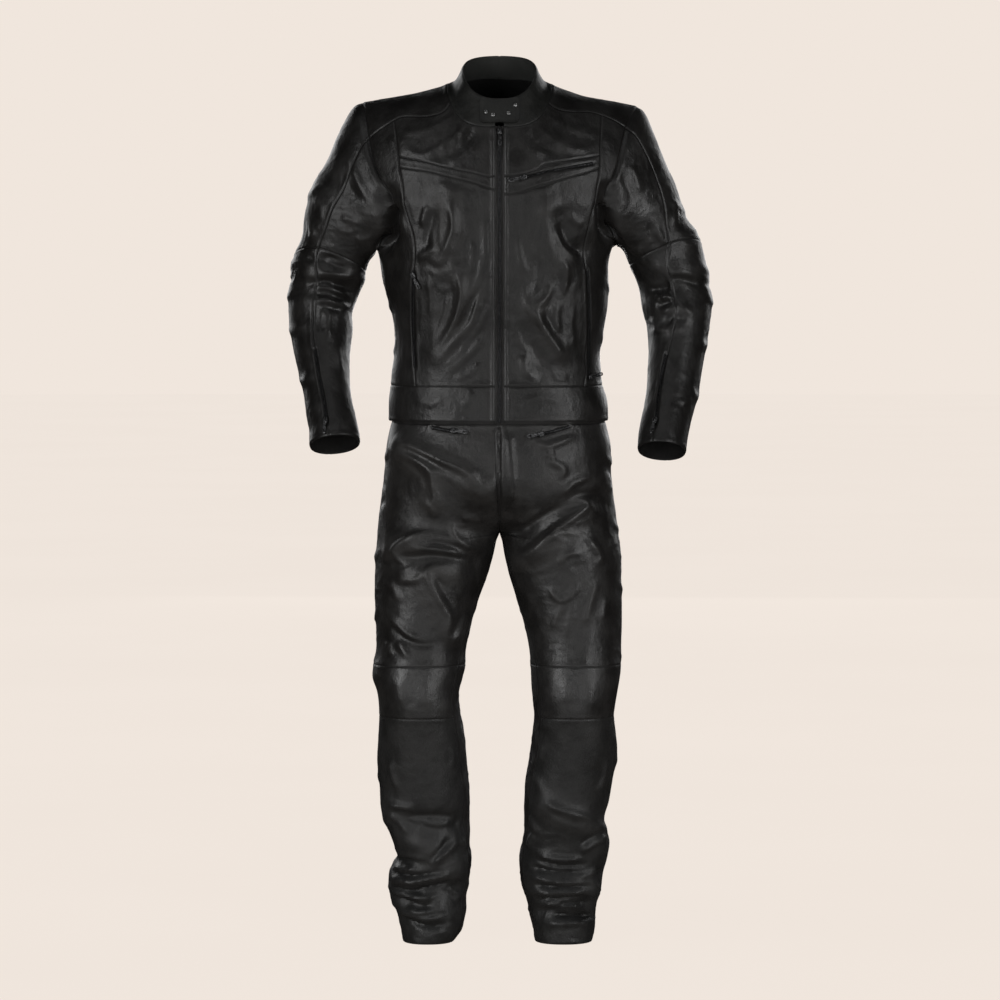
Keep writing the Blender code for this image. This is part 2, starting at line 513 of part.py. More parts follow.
def sleeve(side):
    rails = SLEEVE[side]
    rows = np.arange(len(rails["out_x"]), dtype=float)

    def ring(turn, row):
        out_x, out_z, in_x, in_z = (spline(row, rows, rails[name])
                                    for name in ("out_x", "out_z", "in_x", "in_z"))
        y = spline(row, SLEEVE_DEPTH["row"].astype(float), SLEEVE_DEPTH["y"])
        half = spline(row, SLEEVE_DEPTH["row"].astype(float), SLEEVE_DEPTH["half"])
        tip = spline(row, SLEEVE_DEPTH["row"].astype(float), SLEEVE_DEPTH["tip"])
        across = signed_power(np.cos(turn * 2 * math.pi), SLEEVE_POWER)
        along = signed_power(np.sin(turn * 2 * math.pi), SLEEVE_POWER)
        x = side * ((out_x + in_x) / 2 + (out_x - in_x) / 2 * across)
        z = (out_z + in_z) / 2 + (out_z - in_z) / 2 * across + tip * half * along
        return np.stack([x, y - half * along, z], axis=-1)

    def surface(turn, row):
        turn, row = np.broadcast_arrays(np.asarray(turn, float), np.asarray(row, float))
        rest = armhole(side, turn) - ring(turn, np.zeros(turn.shape))
        share = np.clip(1 - row / SLEEVE_BLEND, 0.0, 1.0) ** 2
        return ring(turn, row) + rest * share[..., None]

    return surface


def leg(side):
    edges = LEG[side]

    def surface(turn, height):
        """turn is 0 on the inner leg or the centre front, 0.25 in front, 0.5 outside, 1 behind."""
        turn, height = np.broadcast_arrays(np.asarray(turn, float), np.asarray(height, float))
        out = spline(height, edges["height"], edges["out"])
        inner = np.maximum(spline(height, edges["height"], edges["in"]), 0.0)
        front = spline(height, LEG_DEPTH["height"], LEG_DEPTH["front"])
        back = spline(height, LEG_DEPTH["height"], LEG_DEPTH["back"])
        angle = turn * 2 * math.pi
        leg_x = (out + inner) / 2 - (out - inner) / 2 * signed_power(np.cos(angle), LEG_POWER)
        leg_y = (front + back) / 2 - (back - front) / 2 * signed_power(np.sin(angle), LEG_POWER)
        hip_front = spline(height, HIP_DEPTH["height"], HIP_DEPTH["front"])
        hip_back = spline(height, HIP_DEPTH["height"], HIP_DEPTH["back"])
        across = signed_power(np.sin(angle / 2), TORSO_POWER)
        along = signed_power(np.cos(angle / 2), TORSO_POWER)
        hip_x = out * across
        hip_y = along * np.where(along >= 0, hip_front, -hip_back)
        rise = np.clip((height - CROTCH_HEIGHT) / RISE_BEND, 0.0, 1.0)
        share = np.sqrt(1 - (1 - rise) ** 2)
        x = leg_x + (hip_x - leg_x) * share
        y = leg_y + (hip_y - leg_y) * share
        return np.stack([side * x, y, height], axis=-1)

    return surface


# ---------------------------------------------------------------- panels

PANELS = []
RIM_ORDER = np.array((0.37, 0.61, 0.71))


def coons(bottom, top, left, right, rounds):
    """A grid of places between four seams, evened out in rounds where a seam curves inwards."""
    s = np.linspace(0, 1, len(bottom))[None, :, None]
    t = np.linspace(0, 1, len(left))[:, None, None]
    ruled = (1 - t) * bottom[None] + t * top[None] + (1 - s) * left[:, None] + s * right[:, None]
    corners = ((1 - s) * (1 - t) * bottom[0] + s * (1 - t) * bottom[-1]
               + (1 - s) * t * top[0] + s * t * top[-1])
    grid = ruled - corners
    for _ in range(rounds):
        grid[1:-1, 1:-1] = (grid[:-2, 1:-1] + grid[2:, 1:-1] + grid[1:-1, :-2] + grid[1:-1, 2:]) / 4
    return grid


def outward(surface, places, side, du, dv):
    """The surface's outward normals, from small steps both ways."""
    a, b = places[..., 0], places[..., 1]
    across = surface(a + du, b) - surface(a - du, b)
    along = surface(a, b + dv) - surface(a, b - dv)
    normal = np.cross(across, along) * side
    return normal / np.maximum(np.linalg.norm(normal, axis=-1, keepdims=True), 1e-12)


def panel(name, part, surface, side, edges, material="leather", lift=None, wall=WALL, rounds=0):
    """One cut piece: its bottom, top, left and right seams are given as places on its surface."""
    grid = coons(*edges, rounds)
    points = surface(grid[..., 0], grid[..., 1])
    step = (1e-3, 1e-3) if part != "sleeves" else (1e-3, 1e-2)
    normals = outward(surface, grid, side, *step)
    PANELS.append({"name": name, "part": part, "points": points, "normals": normals,
                   "material": material, "wall": wall,
                   "lift": np.zeros(grid.shape[1]) if lift is None else np.array(lift)})


def fold_relief(part, points, normals):
    """How far the folds push each point out or in."""
    push = np.zeros(points.shape[:-1])
    for fold_part, face, width, depth, line in FOLDS:
        if fold_part != part:
            continue
        line = np.array(line)
        nearest = np.full(points.shape[:-1], 1.0)
        for a, b in zip(line[:-1], line[1:]):
            run = b - a
            rel = points[..., (0, 2)] - a
            share = np.clip((rel @ run) / (run @ run), 0.0, 1.0)
            gap = np.linalg.norm(rel - share[..., None] * run, axis=-1)
            nearest = np.minimum(nearest, gap)
        facing = np.clip((normals[..., 1] * face - FOLD_FACING) / FOLD_FADE, 0.0, 1.0)
        facing = facing * facing * (3 - 2 * facing)
        push += depth * np.exp(-((nearest / width) ** 2)) * facing
    return push


def weld():
    """Seams share their points: each shared point gets one place and one mitred direction, as
    long as it takes for the walls of all the pieces that meet there to keep their thickness."""
    spots, owners = [], []
    for number, piece in enumerate(PANELS):
        push = fold_relief(piece["part"], piece["points"], piece["normals"])
        piece["moved"] = piece["points"] + piece["normals"] * push[..., None]
        piece["mitre"] = piece["normals"].copy()
        rows, columns = push.shape
        for j in range(rows):
            for i in range(columns):
                if j in (0, rows - 1) or i in (0, columns - 1):
                    spots.append(piece["points"][j, i])
                    owners.append((number, j, i))
    tree = KDTree(len(spots))
    for k, spot in enumerate(spots):
        tree.insert(Vector(spot), k)
    tree.balance()
    for k, spot in enumerate(spots):
        group = sorted(hit[1] for hit in tree.find_range(Vector(spot), WELD_REACH))
        if group[0] != k:
            continue
        moved = np.mean([PANELS[n]["moved"][j, i] for n, j, i in (owners[g] for g in group)], axis=0)
        facing = np.array([PANELS[n]["normals"][j, i] for n, j, i in (owners[g] for g in group)])
        mitre = np.linalg.lstsq(facing, np.ones(len(group)), rcond=NEARLY_FLAT)[0]
        mitre *= min(LONGEST_MITRE / np.linalg.norm(mitre), 1.0)
        for n, j, i in (owners[g] for g in group):
            PANELS[n]["moved"][j, i] = moved
            PANELS[n]["mitre"][j, i] = mitre


def border_loop(rows, columns):
    """The grid's rim, once round."""
    loop = [(0, i) for i in range(columns - 1)]
    loop += [(j, columns - 1) for j in range(rows - 1)]
    loop += [(rows - 1, i) for i in range(columns - 1, 0, -1)]
    loop += [(j, 0) for j in range(rows - 1, 0, -1)]
    return loop


def inset_rim(piece):
    """Draws each rim point in from its seam, so neighbours stand SEAM_INSET either side of it."""
    points, mitre = piece["moved"], piece["mitre"]
    rows, columns = points.shape[:2]
    loop = border_loop(rows, columns)
    count = len(loop)
    narrow = min(rows, columns) < 3
    inward = []
    for k in range(count):
        a, b = loop[k], loop[(k + 1) % count]
        direction = np.cross(points[b] - points[a], mitre[a] + mitre[b])
        direction /= max(np.linalg.norm(direction), 1e-12)
        if narrow:
            opposite = (rows - 1 - a[0], a[1]) if a[0] == b[0] else (a[0], columns - 1 - a[1])
            towards = points[opposite] - points[a]
        else:
            inner = (min(max(a[0], 1), rows - 2), min(max(a[1], 1), columns - 2))
            towards = points[inner] - (points[a] + points[b]) / 2
        inward.append(direction if direction @ towards > 0 else -direction)
    drawn = points.copy()
    for k in range(count):
        before, after = inward[k - 1], inward[k]
        drawn[loop[k]] += SEAM_INSET * (before + after) / max(1 + before @ after, SHARPEST_CORNER)
    return drawn


def triangles(points, flip):
    """Two triangles a cell, across its shorter diagonal."""
    rows, columns = points.shape[:2]
    faces = []
    for j in range(rows - 1):
        for i in range(columns - 1):
            a, b = j * columns + i, j * columns + i + 1
            c, d = a + columns, b + columns
            short = np.linalg.norm(points[j, i] - points[j + 1, i + 1])
            cells = ((a, b, d), (a, d, c)) if short <= np.linalg.norm(
                points[j, i + 1] - points[j + 1, i]) else ((a, b, c), (b, d, c))
            faces += [cell[::-1] if flip else cell for cell in cells]
    return faces


def shell_object(name, outer, inner, material):
    """A closed wall between two matching grids."""
    rows, columns = outer.shape[:2]
    j, i = (rows - 1) // 2, (columns - 1) // 2
    across = np.cross(outer[j, i + 1] - outer[j, i], outer[j + 1, i] - outer[j, i])
    flip = across @ (outer[j, i] - inner[j, i]) < 0
    count = rows * columns
    faces = triangles(outer, flip)
    faces += [tuple(count + k for k in face[::-1]) for face in faces]
    vertices = np.concatenate([outer.reshape(-1, 3), inner.reshape(-1, 3)])
    loop = [j * columns + i for j, i in border_loop(rows, columns)]
    for k, a in enumerate(loop):
        b = loop[(k + 1) % len(loop)]
        first = vertices[a] @ RIM_ORDER < vertices[b] @ RIM_ORDER
        rim = (((a, count + a, count + b), (a, count + b, b)) if first
               else ((a, count + a, b), (count + a, count + b, b)))
        faces += [face[::-1] if flip else face for face in rim]
    vertices[:, 2] -= SHOULDER_HEIGHT
    return add_object(name, vertices, faces, material, smooth=True)


def add_object(name, vertices, faces, material, smooth):
    mesh = bpy.data.meshes.new(name)
    mesh.from_pydata([tuple(v) for v in vertices], [], faces)
    if smooth:
        mesh.shade_smooth()
        mesh.set_sharp_from_angle(angle=SHARP_EDGE)
    mesh.materials.append(SHADERS[material])
    thing = bpy.data.objects.new(name, mesh)
    SUIT.objects.link(thing)
    return thing


def sew():
    """Turns every panel into its wall and returns the outer faces for laying trim on."""
    weld()
    vertices, faces = [], []
    for piece in PANELS:
        outer = inset_rim(piece)
        direction = piece["mitre"]
        outer = outer + direction * piece["lift"][None, :, None]
        shell_object(piece["name"], outer, outer - direction * piece["wall"], piece["material"])
        base = len(vertices)
        vertices += [Vector(v) for v in piece["moved"].reshape(-1, 3)]
        faces += [tuple(base + k for k in face) for face in triangles(piece["moved"], False)]
    return BVHTree.FromPolygons(vertices, faces)


# ---------------------------------------------------------------- what is laid on the leather

def on_leather(x, height):
    """The leather behind a place seen from the front, and its outward direction."""
    spot, facing, _, _ = LEATHER.ray_cast(Vector((x, -1.0, height)), Vector((0.0, 1.0, 0.0)))
    return np.array(spot), np.array(facing) * (-1.0 if facing[1] > 0 else 1.0)


def soft_normals(normals):
    """Each place's direction averaged with its neighbours'."""
    padded = np.pad(normals, ((2, 2), (0, 0), (0, 0)), mode="edge")
    rows = len(normals)
    mean = sum(padded[k:k + rows] for k in range(5)).mean(axis=1, keepdims=True)
    mean = np.broadcast_to(mean, normals.shape)
    return mean / np.linalg.norm(mean, axis=-1, keepdims=True)


def lay_strip(name, line, half, thickness, crown, columns, material):
    """A strip laid along a line on the front; crown raises its middle."""
    knots = np.arange(len(line), dtype=float)
    half = np.broadcast_to(np.asarray(half, float), len(line))
    controls = np.column_stack([line, half])

    def place(t):
        return spline(t, knots, controls)[:, :2]

    length = np.linalg.norm(np.diff(place(np.linspace(0.0, knots[-1], 200)), axis=0), axis=1).sum()
    stops = even(place, 0.0, knots[-1], max(int(math.ceil(length / TRIM_SPACING)), 3))
    middle, half = spline(stops, knots, controls)[:, :2], spline(stops, knots, controls)[:, 2]
    run = np.gradient(middle, axis=0)
    run /= np.linalg.norm(run, axis=1, keepdims=True)
    across = np.linspace(-1.0, 1.0, columns)
    spots = np.zeros((len(stops), columns, 3))
    normals = np.zeros_like(spots)
    for j in range(len(stops)):
        for i, share in enumerate(across):
            x, height = middle[j] + np.array((-run[j, 1], run[j, 0])) * half[j] * share
            spots[j, i], normals[j, i] = on_leather(x, height)
    normals = soft_normals(normals)
    inner = spots + normals * TRIM_LIFT
    outer = inner + normals * (thickness + crown * (1 - np.abs(across)))[None, :, None]
    shell_object(name, outer, inner, material)


def straight_slider(name, x, height, heading, rise):
    """A slider and its pull, straight, standing on its zip; heading turns from +X to +Z."""
    around = [on_leather(x + dx, height + dz) for dx in (-0.004, 0.0, 0.004)
              for dz in (-0.006, 0.0, 0.006)]
    normal = np.mean([facing for _, facing in around], axis=0)
    normal /= np.linalg.norm(normal)
    spot = around[4][0]
    angle = math.radians(heading)
    along = np.array((math.cos(angle), 0.0, math.sin(angle)))
    along -= normal * (along @ normal)
    along /= np.linalg.norm(along)
    across = np.cross(normal, along)
    highest = max((place - spot) @ normal for place, _ in around)
    base = spot + normal * (rise + highest + CLEARANCE)
    inner = np.array([[base + along * run + across * half * share for share in (-1, 0, 1)]
                      for run, half in zip(SLIDER_PROFILE["run"], SLIDER_PROFILE["half"])])
    outer = inner + normal * SLIDER_PROFILE["thick"][:, None, None]
    shell_object(name, outer, inner, "metal")


def collar_tab():
    """The tab buttoned across the collar's front opening, with its press studs."""
    places = np.linspace(-TAB_HALF_WIDTH, TAB_HALF_WIDTH, 11)
    fine = np.linspace(-0.9, 0.9, 181)
    levels = np.linspace(TAB_LOW, TAB_HIGH, 5)
    turn = np.array([np.interp(places, collar(fine, h)[:, 0], fine) for h in levels])
    level = np.repeat(levels[:, None], len(places), axis=1)
    spots = collar(turn, level)
    step = 1e-4
    normals = np.cross(collar(turn + step, level) - spots, collar(turn, level + step) - spots)
    normals /= np.linalg.norm(normals, axis=-1, keepdims=True)
    normals *= np.sign(-normals[..., 1:2])
    inner = spots + normals * TRIM_LIFT
    outer = inner + normals * TAB_THICKNESS
    shell_object("collar_tab", outer, inner, "collar_leather")
    tree = BVHTree.FromPolygons([Vector(v) for v in outer.reshape(-1, 3)], triangles(outer, False))
    for number, (x, height) in enumerate(zip(STUDS["x"], STUDS["height"])):
        spot, facing, _, _ = tree.ray_cast(Vector((x, -1.0, height)), Vector((0.0, 1.0, 0.0)))
        facing = facing if facing[1] < 0 else -facing
        stud(f"collar_stud_{number + 1}", spot, facing)


def stud(name, spot, facing):
    form = bmesh.new()
    bmesh.ops.create_cone(form, cap_ends=True, segments=20, radius1=STUD_RADIUS,
                          radius2=STUD_RADIUS * 0.72, depth=STUD_HEIGHT)
    centre = spot + facing * (CLEARANCE + STUD_HEIGHT / 2)
    centre[2] -= SHOULDER_HEIGHT
    turn = Vector((0.0, 0.0, 1.0)).rotation_difference(facing).to_matrix().to_4x4()
    bmesh.ops.transform(form, matrix=Matrix.Translation(centre) @ turn, verts=form.verts)
    mesh = bpy.data.meshes.new(name)
    form.to_mesh(mesh)
    form.free()
    mesh.shade_smooth()
    mesh.set_sharp_from_angle(angle=SHARP_EDGE)
    mesh.materials.append(SHADERS["metal"])
    SUIT.objects.link(bpy.data.objects.new(name, mesh))


def trims():
    for name, line in ZIPS.items():
        lay_strip(name, np.array(line), ZIP_HALF, ZIP_THICKNESS, ZIP_CROWN, 3, "zip_tape")
    lay_strip("fly", np.column_stack([FLY["x"], FLY["height"]]), FLY["half"], FLY_THICKNESS, 0.0, 5,
              "leather")
    for values in zip(*SLIDERS.values()):
        name, x, height, heading, rise = values
        straight_slider(str(name), float(x), float(height), float(heading), float(rise))
    collar_tab()


# ---------------------------------------------------------------- seams of the jacket

def torso_route(points, steps, back=False):
    controls = torso_at(*np.array(points).T, back)
    return route(torso, controls, steps)


ARMHOLE = {}
ARMPIT = {side: (side * 1.0, ARMPIT_HEIGHT[side]) for side in (1, -1)}


def armhole_parts(side, fine):
    """The armhole's three stretches: front, top and back, as evenly spaced places."""
    front = np.vstack([torso_at(*np.array(ARMHOLE_FRONT[side]).T), [ARMPIT[side]]])
    front = route(torso, front, fine, ARMHOLE_BEND)
    mirrored = np.array(ARMHOLE_BACK) * (side, 1)
    back = np.vstack([torso_at(*mirrored.T, True), [ARMPIT[side]]])
    back = route(torso, back, fine, ARMHOLE_BEND)
    start, end = to_shoulder(back[:1])[0], to_shoulder(front[:1])[0]
    tip = (side * SLEEVE[side]["out_x"][0], 0.0)
    near_back = (side * SHOULDER_TIP_X, start[1] * 0.5)
    near_front = (side * SHOULDER_TIP_X, end[1] * 0.5)
    top = route(shoulder, (start, near_back, tip, near_front, end), fine)
    return front, top, back


def jacket_side(side):
    """The cut pieces of one half of the jacket, from the centre front to the centre back."""
    half = "left" if side > 0 else "right"
    n = STEPS
    front_edge = side * ZIP_HALF_WIDTH
    neck_start, neck_corner = neck_turn(front_edge), neck_turn(side * NECK_CORNER_X[side])

    def on_neck(turn):
        return shoulder(*neck_line(turn).T)

    neck_front = even(on_neck, neck_start, neck_corner, n["neck_front"])
    neck_side = even(on_neck, neck_corner, side * math.pi, n["neck_side"])
    neck_top = to_torso(neck_line(neck_front))

    def centre(low, high, steps):
        heights = np.linspace(low, high, 4)
        return torso_route([(front_edge, z) for z in heights], steps)

    band_low, band_high = BAND_BOTTOM[side][0][1], BAND_TOP[side][0][1]
    neck_z = torso(*neck_top[0])[2]
    centre_hem = centre(HEM_HEIGHT, HEM_SEAM, n["hem"])
    centre_lower = centre(HEM_SEAM, band_low, n["lower"])
    centre_band = centre(band_low, band_high, n["band"])
    centre_upper = centre(band_high, neck_z, n["upper"])
    centre_upper[-1] = neck_top[0]

    seam = np.array(PRINCESS_SEAM[side])
    low_end, high_end = np.array(BAND_BOTTOM[side][-1]), np.array(BAND_TOP[side][-1])
    below = seam[seam[:, 1] < low_end[1] - 0.01]
    princess_lower = torso_route(np.vstack([below[::-1], low_end]), n["lower"])
    princess_band = torso_route([low_end, high_end], n["band"])
    princess_upper = torso_route([high_end, seam[0]], n["upper"])
    princess = chain(princess_lower, princess_band, princess_upper)

    yoke = np.array(YOKE_SEAM[side])
    split = int(np.argmin(np.abs(yoke[:, 0] - seam[0, 0])))
    neck_end = torso(*neck_top[-1])[[0, 2]]
    yoke_outer = torso_route(yoke[:split + 1], n["side_front"])
    yoke_inner = torso_route(np.vstack([yoke[split:], neck_end]), n["yoke"])
    yoke_inner[-1] = neck_top[-1]

    hem_front = even(lambda w: torso(w, HEM_SEAM), centre_lower[0, 0], princess[0, 0],
                     n["yoke"] + n["neck_front"])
    hem_side = even(lambda w: torso(w, HEM_SEAM), princess[0, 0], side * SIDE_SEAM, n["side_front"])
    hem_back = even(lambda w: torso(w, HEM_SEAM), side * SIDE_SEAM, side * 2.0, n["half_back"])

    def level(girths, height):
        return np.stack([girths, np.full(len(girths), height)], axis=-1)

    side_low = route(torso, [(side * girth, height) for girth, height in SIDE_SEAM_LINE]
                     + [ARMPIT[side]], n["side"])
    front_hole, _, back_hole = (part[::-1] for part in armhole_parts(side, n["armhole"]))
    top_hole = armhole_parts(side, n["neck_side"] + n["yoke_back"])[1]

    upper_top = chain(neck_top, yoke_inner[::-1])
    columns = n["yoke"] + n["neck_front"]
    band_top = torso_route(BAND_TOP[side], columns)
    band_bottom = torso_route(BAND_BOTTOM[side], columns)
    panel(f"upper_front_{half}", "torso", torso, 1, (band_top, upper_top, centre_upper, princess_upper))
    panel(f"chest_band_{half}", "torso", torso, 1,
          (band_bottom, band_top, centre_band, princess_band))
    panel(f"lower_front_{half}", "torso", torso, 1,
          (level(hem_front, HEM_SEAM), band_bottom, centre_lower, princess_lower))
    panel(f"side_front_{half}", "torso", torso, 1,
          (level(hem_side, HEM_SEAM), yoke_outer[::-1], princess, chain(side_low, front_hole)))
    girths = chain(hem_front[:, None], hem_side[:, None], hem_back[:, None])[:, 0]
    hem_low = level(girths, HEM_HEIGHT)
    hem_low[0] = centre_hem[0]
    back_column = np.stack([np.full(n["hem"] + 1, side * 2.0),
                            np.linspace(HEM_HEIGHT, HEM_SEAM, n["hem"] + 1)], axis=-1)
    hem_top = level(girths, HEM_SEAM)
    hem_top[0] = centre_hem[-1]
    panel(f"hem_band_{half}", "torso", torso, 1, (hem_low, hem_top, centre_hem, back_column))

    start = to_shoulder(back_hole[-1:])[0]
    yoke_low = route(shoulder, (start, (side * YOKE_BEND_X, YOKE_BACK), (0.0, YOKE_BACK)),
                     n["yoke"] + n["side_front"])
    centre_back = route(shoulder, ((0.0, YOKE_BACK), neck_line(side * math.pi)), n["yoke_back"])
    inner_side = chain(centre_back, neck_line(neck_side)[::-1])
    yoke_front = to_shoulder(chain(yoke_outer, yoke_inner))
    panel(f"yoke_{half}", "torso", shoulder, 1,
          (yoke_low[::-1], yoke_front[::-1], inner_side, top_hole))
    return {"neck": np.concatenate([neck_front, neck_side[1:]]), "side": side_low,
            "hole": back_hole, "top": to_torso(yoke_low), "hem": level(hem_back, HEM_SEAM),
            "centre": chain(centre_hem, centre_lower, centre_band, centre_upper)}


def jacket():
    for side in (1, -1):
        front, top, back = armhole_parts(side, 300)
        ARMHOLE[side] = (
            (front, FRONT_SEAM_TURN, 0.5, torso),
            (top, BACK_SEAM_TURN - 1, FRONT_SEAM_TURN, shoulder),
            (back[::-1], -0.5, BACK_SEAM_TURN - 1, torso),
        )
    left, right = jacket_side(1), jacket_side(-1)

    def unroll(places):
        """Places on the right half, carried on past the centre back."""
        return np.stack([np.where(places[:, 0] < 0, places[:, 0] + 4.0, places[:, 0]),
                         places[:, 1]], axis=-1)

    def behind(places):
        """Places on the left half with the centre back at exactly 2."""
        return np.stack([np.where(np.abs(places[:, 0]) < 1e-9, 2.0, places[:, 0]),
                         places[:, 1]], axis=-1)

    bottom = chain(left["hem"], unroll(right["hem"][::-1]))
    top = chain(behind(left["top"]), unroll(behind(right["top"])[::-1]))
    left_edge = chain(left["side"], left["hole"])
    right_edge = unroll(chain(right["side"], right["hole"]))
    panel("back", "torso", torso, 1, (bottom, top, left_edge, right_edge), rounds=ARMHOLE_ROUNDS)

    for side, half in ((1, left), (-1, right)):
        turns = half["neck"]
        name = "collar_left" if side > 0 else "collar_right"
        low = np.stack([turns, np.zeros(len(turns))], axis=-1)
        high = np.stack([turns, np.ones(len(turns))], axis=-1)
        ends = [np.stack([np.full(3, t), np.linspace(0, 1, 3)], axis=-1)
                for t in (turns[0], turns[-1])]
        panel(name, "collar", collar, 1, (low, high, ends[0], ends[1]), "collar_leather")

    rows_left, rows_right = left["centre"], right["centre"]
    middle_low = np.linspace(rows_right[0], rows_left[0], 5)
    middle_high = np.linspace(rows_right[-1], rows_left[-1], 5)
    panel("front_zip", "torso", torso, 1, (middle_low, middle_high, rows_right, rows_left),
          "zip_tape", (-0.0010, -0.0010, 0.0004, -0.0010, -0.0010), 0.0012)


# ---------------------------------------------------------------- sleeves and trousers

def sleeve_panels(side):
    half = "left" if side > 0 else "right"
    surface = sleeve(side)
    n = STEPS
    seam = SLEEVE_FRONT_SEAM[side]
    rows = seam["row"].astype(float)
    outer_columns = n["neck_side"] + n["yoke_back"]
    inner_columns = 2 * n["armhole"]

    def elbow(turn):
        return spline(turn, ELBOW_SEAM[side]["turn"], ELBOW_SEAM[side]["row"])

    def front_turn(row):
        return spline(row, rows, seam["turn"])

    def back_turn(row):
        return BACK_SEAM_TURN - BACK_SEAM_DRIFT * np.clip(row / BACK_SEAM_ROWS, 0.0, 1.0)

    def crossing(turn_of):
        row = 6.0
        for _ in range(30):
            row = float(elbow(turn_of(row)))
        return row

    def lengthwise(turn_of, start, end, steps, back=0.0):
        stops = even(lambda r: surface(turn_of(r) + back, r), start, end, steps)
        return np.stack([turn_of(stops) + back, stops], axis=-1)

    def ring(start, end, row_of, steps):
        stops = even(lambda t: surface(t, row_of(t)), start, end, steps)
        return np.stack([stops, row_of(stops)], axis=-1)

    front_cross, back_cross = crossing(front_turn), crossing(back_turn)
    front_elbow, back_elbow = float(front_turn(front_cross)), float(back_turn(back_cross))
    end = SLEEVE_ROWS
    top = np.stack([np.linspace(BACK_SEAM_TURN - 1, FRONT_SEAM_TURN, outer_columns + 1),
                    np.zeros(outer_columns + 1)], axis=-1)
    under = np.stack([np.concatenate([np.linspace(FRONT_SEAM_TURN, 0.5, n["armhole"] + 1),
                                      np.linspace(0.5, BACK_SEAM_TURN, n["armhole"] + 1)[1:]]),
                      np.zeros(inner_columns + 1)], axis=-1)

    def last(t):
        return np.full(np.shape(t), end)

    elbow_top = ring(back_elbow - 1, front_elbow, elbow, outer_columns)
    elbow_under = ring(front_elbow, back_elbow, elbow, inner_columns)
    cuff_top = ring(float(back_turn(end)) - 1, float(front_turn(end)), last, outer_columns)
    cuff_under = ring(float(front_turn(end)), float(back_turn(end)), last, inner_columns)
    front_upper = lengthwise(front_turn, 0.0, front_cross, n["upper_arm"])
    front_lower = lengthwise(front_turn, front_cross, end, n["forearm"])
    back_upper = lengthwise(back_turn, 0.0, back_cross, n["upper_arm"])
    back_lower = lengthwise(back_turn, back_cross, end, n["forearm"])
    wrap = np.array([1.0, 0.0])
    panel(f"upper_sleeve_outer_{half}", "sleeves", surface, side,
          (top, elbow_top, back_upper - wrap, front_upper))
    panel(f"upper_sleeve_inner_{half}", "sleeves", surface, side,
          (under, elbow_under, front_upper, back_upper))
    panel(f"forearm_outer_{half}", "sleeves", surface, side,
          (elbow_top, cuff_top, back_lower - wrap, front_lower))
    panel(f"forearm_inner_{half}", "sleeves", surface, side,
          (elbow_under, cuff_under, front_lower, back_lower))


def leg_panels(side):
    half = "left" if side > 0 else "right"
    surface = leg(side)
    n = STEPS

    def inner_turn(height):
        return spline(height, INNER_LEG_SEAM["height"], INNER_LEG_SEAM["turn"])

    def inner(start, end, steps):
        stops = even(lambda z: surface(inner_turn(z), z), start, end, steps)
        return np.stack([inner_turn(stops), stops], axis=-1)

    def outer(start, end, steps):
        return np.stack([np.full(steps + 1, OUTER_LEG_SEAM), np.linspace(start, end, steps + 1)],
                        axis=-1)

    def rise(turn, start, end, steps):
        stops = even(lambda z: surface(turn, z), start, end, steps)
        return np.stack([np.full(steps + 1, turn), stops], axis=-1)

    def ring(start, end, height, steps):
        stops = even(lambda t: surface(t, height), start, end, steps)
        return np.stack([stops, np.full(steps + 1, height)], axis=-1)

    def level_rings(height, steps):
        start = float(inner_turn(height)) if height < CROTCH_HEIGHT else 0.0
        return (ring(start, OUTER_LEG_SEAM, height, steps),
                ring(OUTER_LEG_SEAM, 1.0 + start, height, steps))

    wrap = np.array([1.0, 0.0])
    waist_front, waist_back = level_rings(WAIST_HEIGHT, n["leg"])
    top_front, top_back = level_rings(WAIST_SEAM, n["leg"])
    knee_front, knee_back = level_rings(KNEE_SEAM, n["leg"])
    shin_front, _ = level_rings(KNEE_END, n["leg"])
    hem_front, hem_back = level_rings(0.0, n["leg"])
    thigh_rows = n["inseam"] + n["rise"]
    inseam = inner(KNEE_SEAM, CROTCH_HEIGHT, n["inseam"])
    front_rise = rise(0.0, CROTCH_HEIGHT, WAIST_SEAM, n["rise"])
    back_rise = rise(1.0, CROTCH_HEIGHT, WAIST_SEAM, n["rise"])
    panel(f"thigh_front_{half}", "legs", surface, side,
          (knee_front, top_front, chain(inseam, front_rise), outer(KNEE_SEAM, WAIST_SEAM, thigh_rows)))
    panel(f"thigh_back_{half}", "legs", surface, side,
          (knee_back, top_back, outer(KNEE_SEAM, WAIST_SEAM, thigh_rows),
           chain(inseam + wrap, back_rise)))
    knee_inner = inner(KNEE_END, KNEE_SEAM, n["kneecap"])
    knee_outer = outer(KNEE_END, KNEE_SEAM, n["kneecap"])
    panel(f"kneecap_{half}", "legs", surface, side, (shin_front, knee_front, knee_inner, knee_outer))
    shin_inner = inner(0.0, KNEE_END, n["shin"])
    shin_outer = outer(0.0, KNEE_END, n["shin"])
    panel(f"lower_leg_front_{half}", "legs", surface, side,
          (hem_front, shin_front, shin_inner, shin_outer))
    panel(f"lower_leg_back_{half}", "legs", surface, side,
          (hem_back, knee_back, chain(shin_outer, knee_outer),
           chain(shin_inner, knee_inner) + wrap))
    waist = [np.vstack([front, back[1:]])
             for front, back in ((top_front, top_back), (waist_front, waist_back))]
    ends = [rise(turn, WAIST_SEAM, WAIST_HEIGHT, n["waist"]) for turn in (0.0, 1.0)]
    panel(f"waistband_{half}", "legs", surface, side, (waist[0], waist[1], ends[0], ends[1]))


# ---------------------------------------------------------------- materials and the whole suit

def clear_scene():
    for thing in list(bpy.data.objects):
        bpy.data.objects.remove(thing, do_unlink=True)


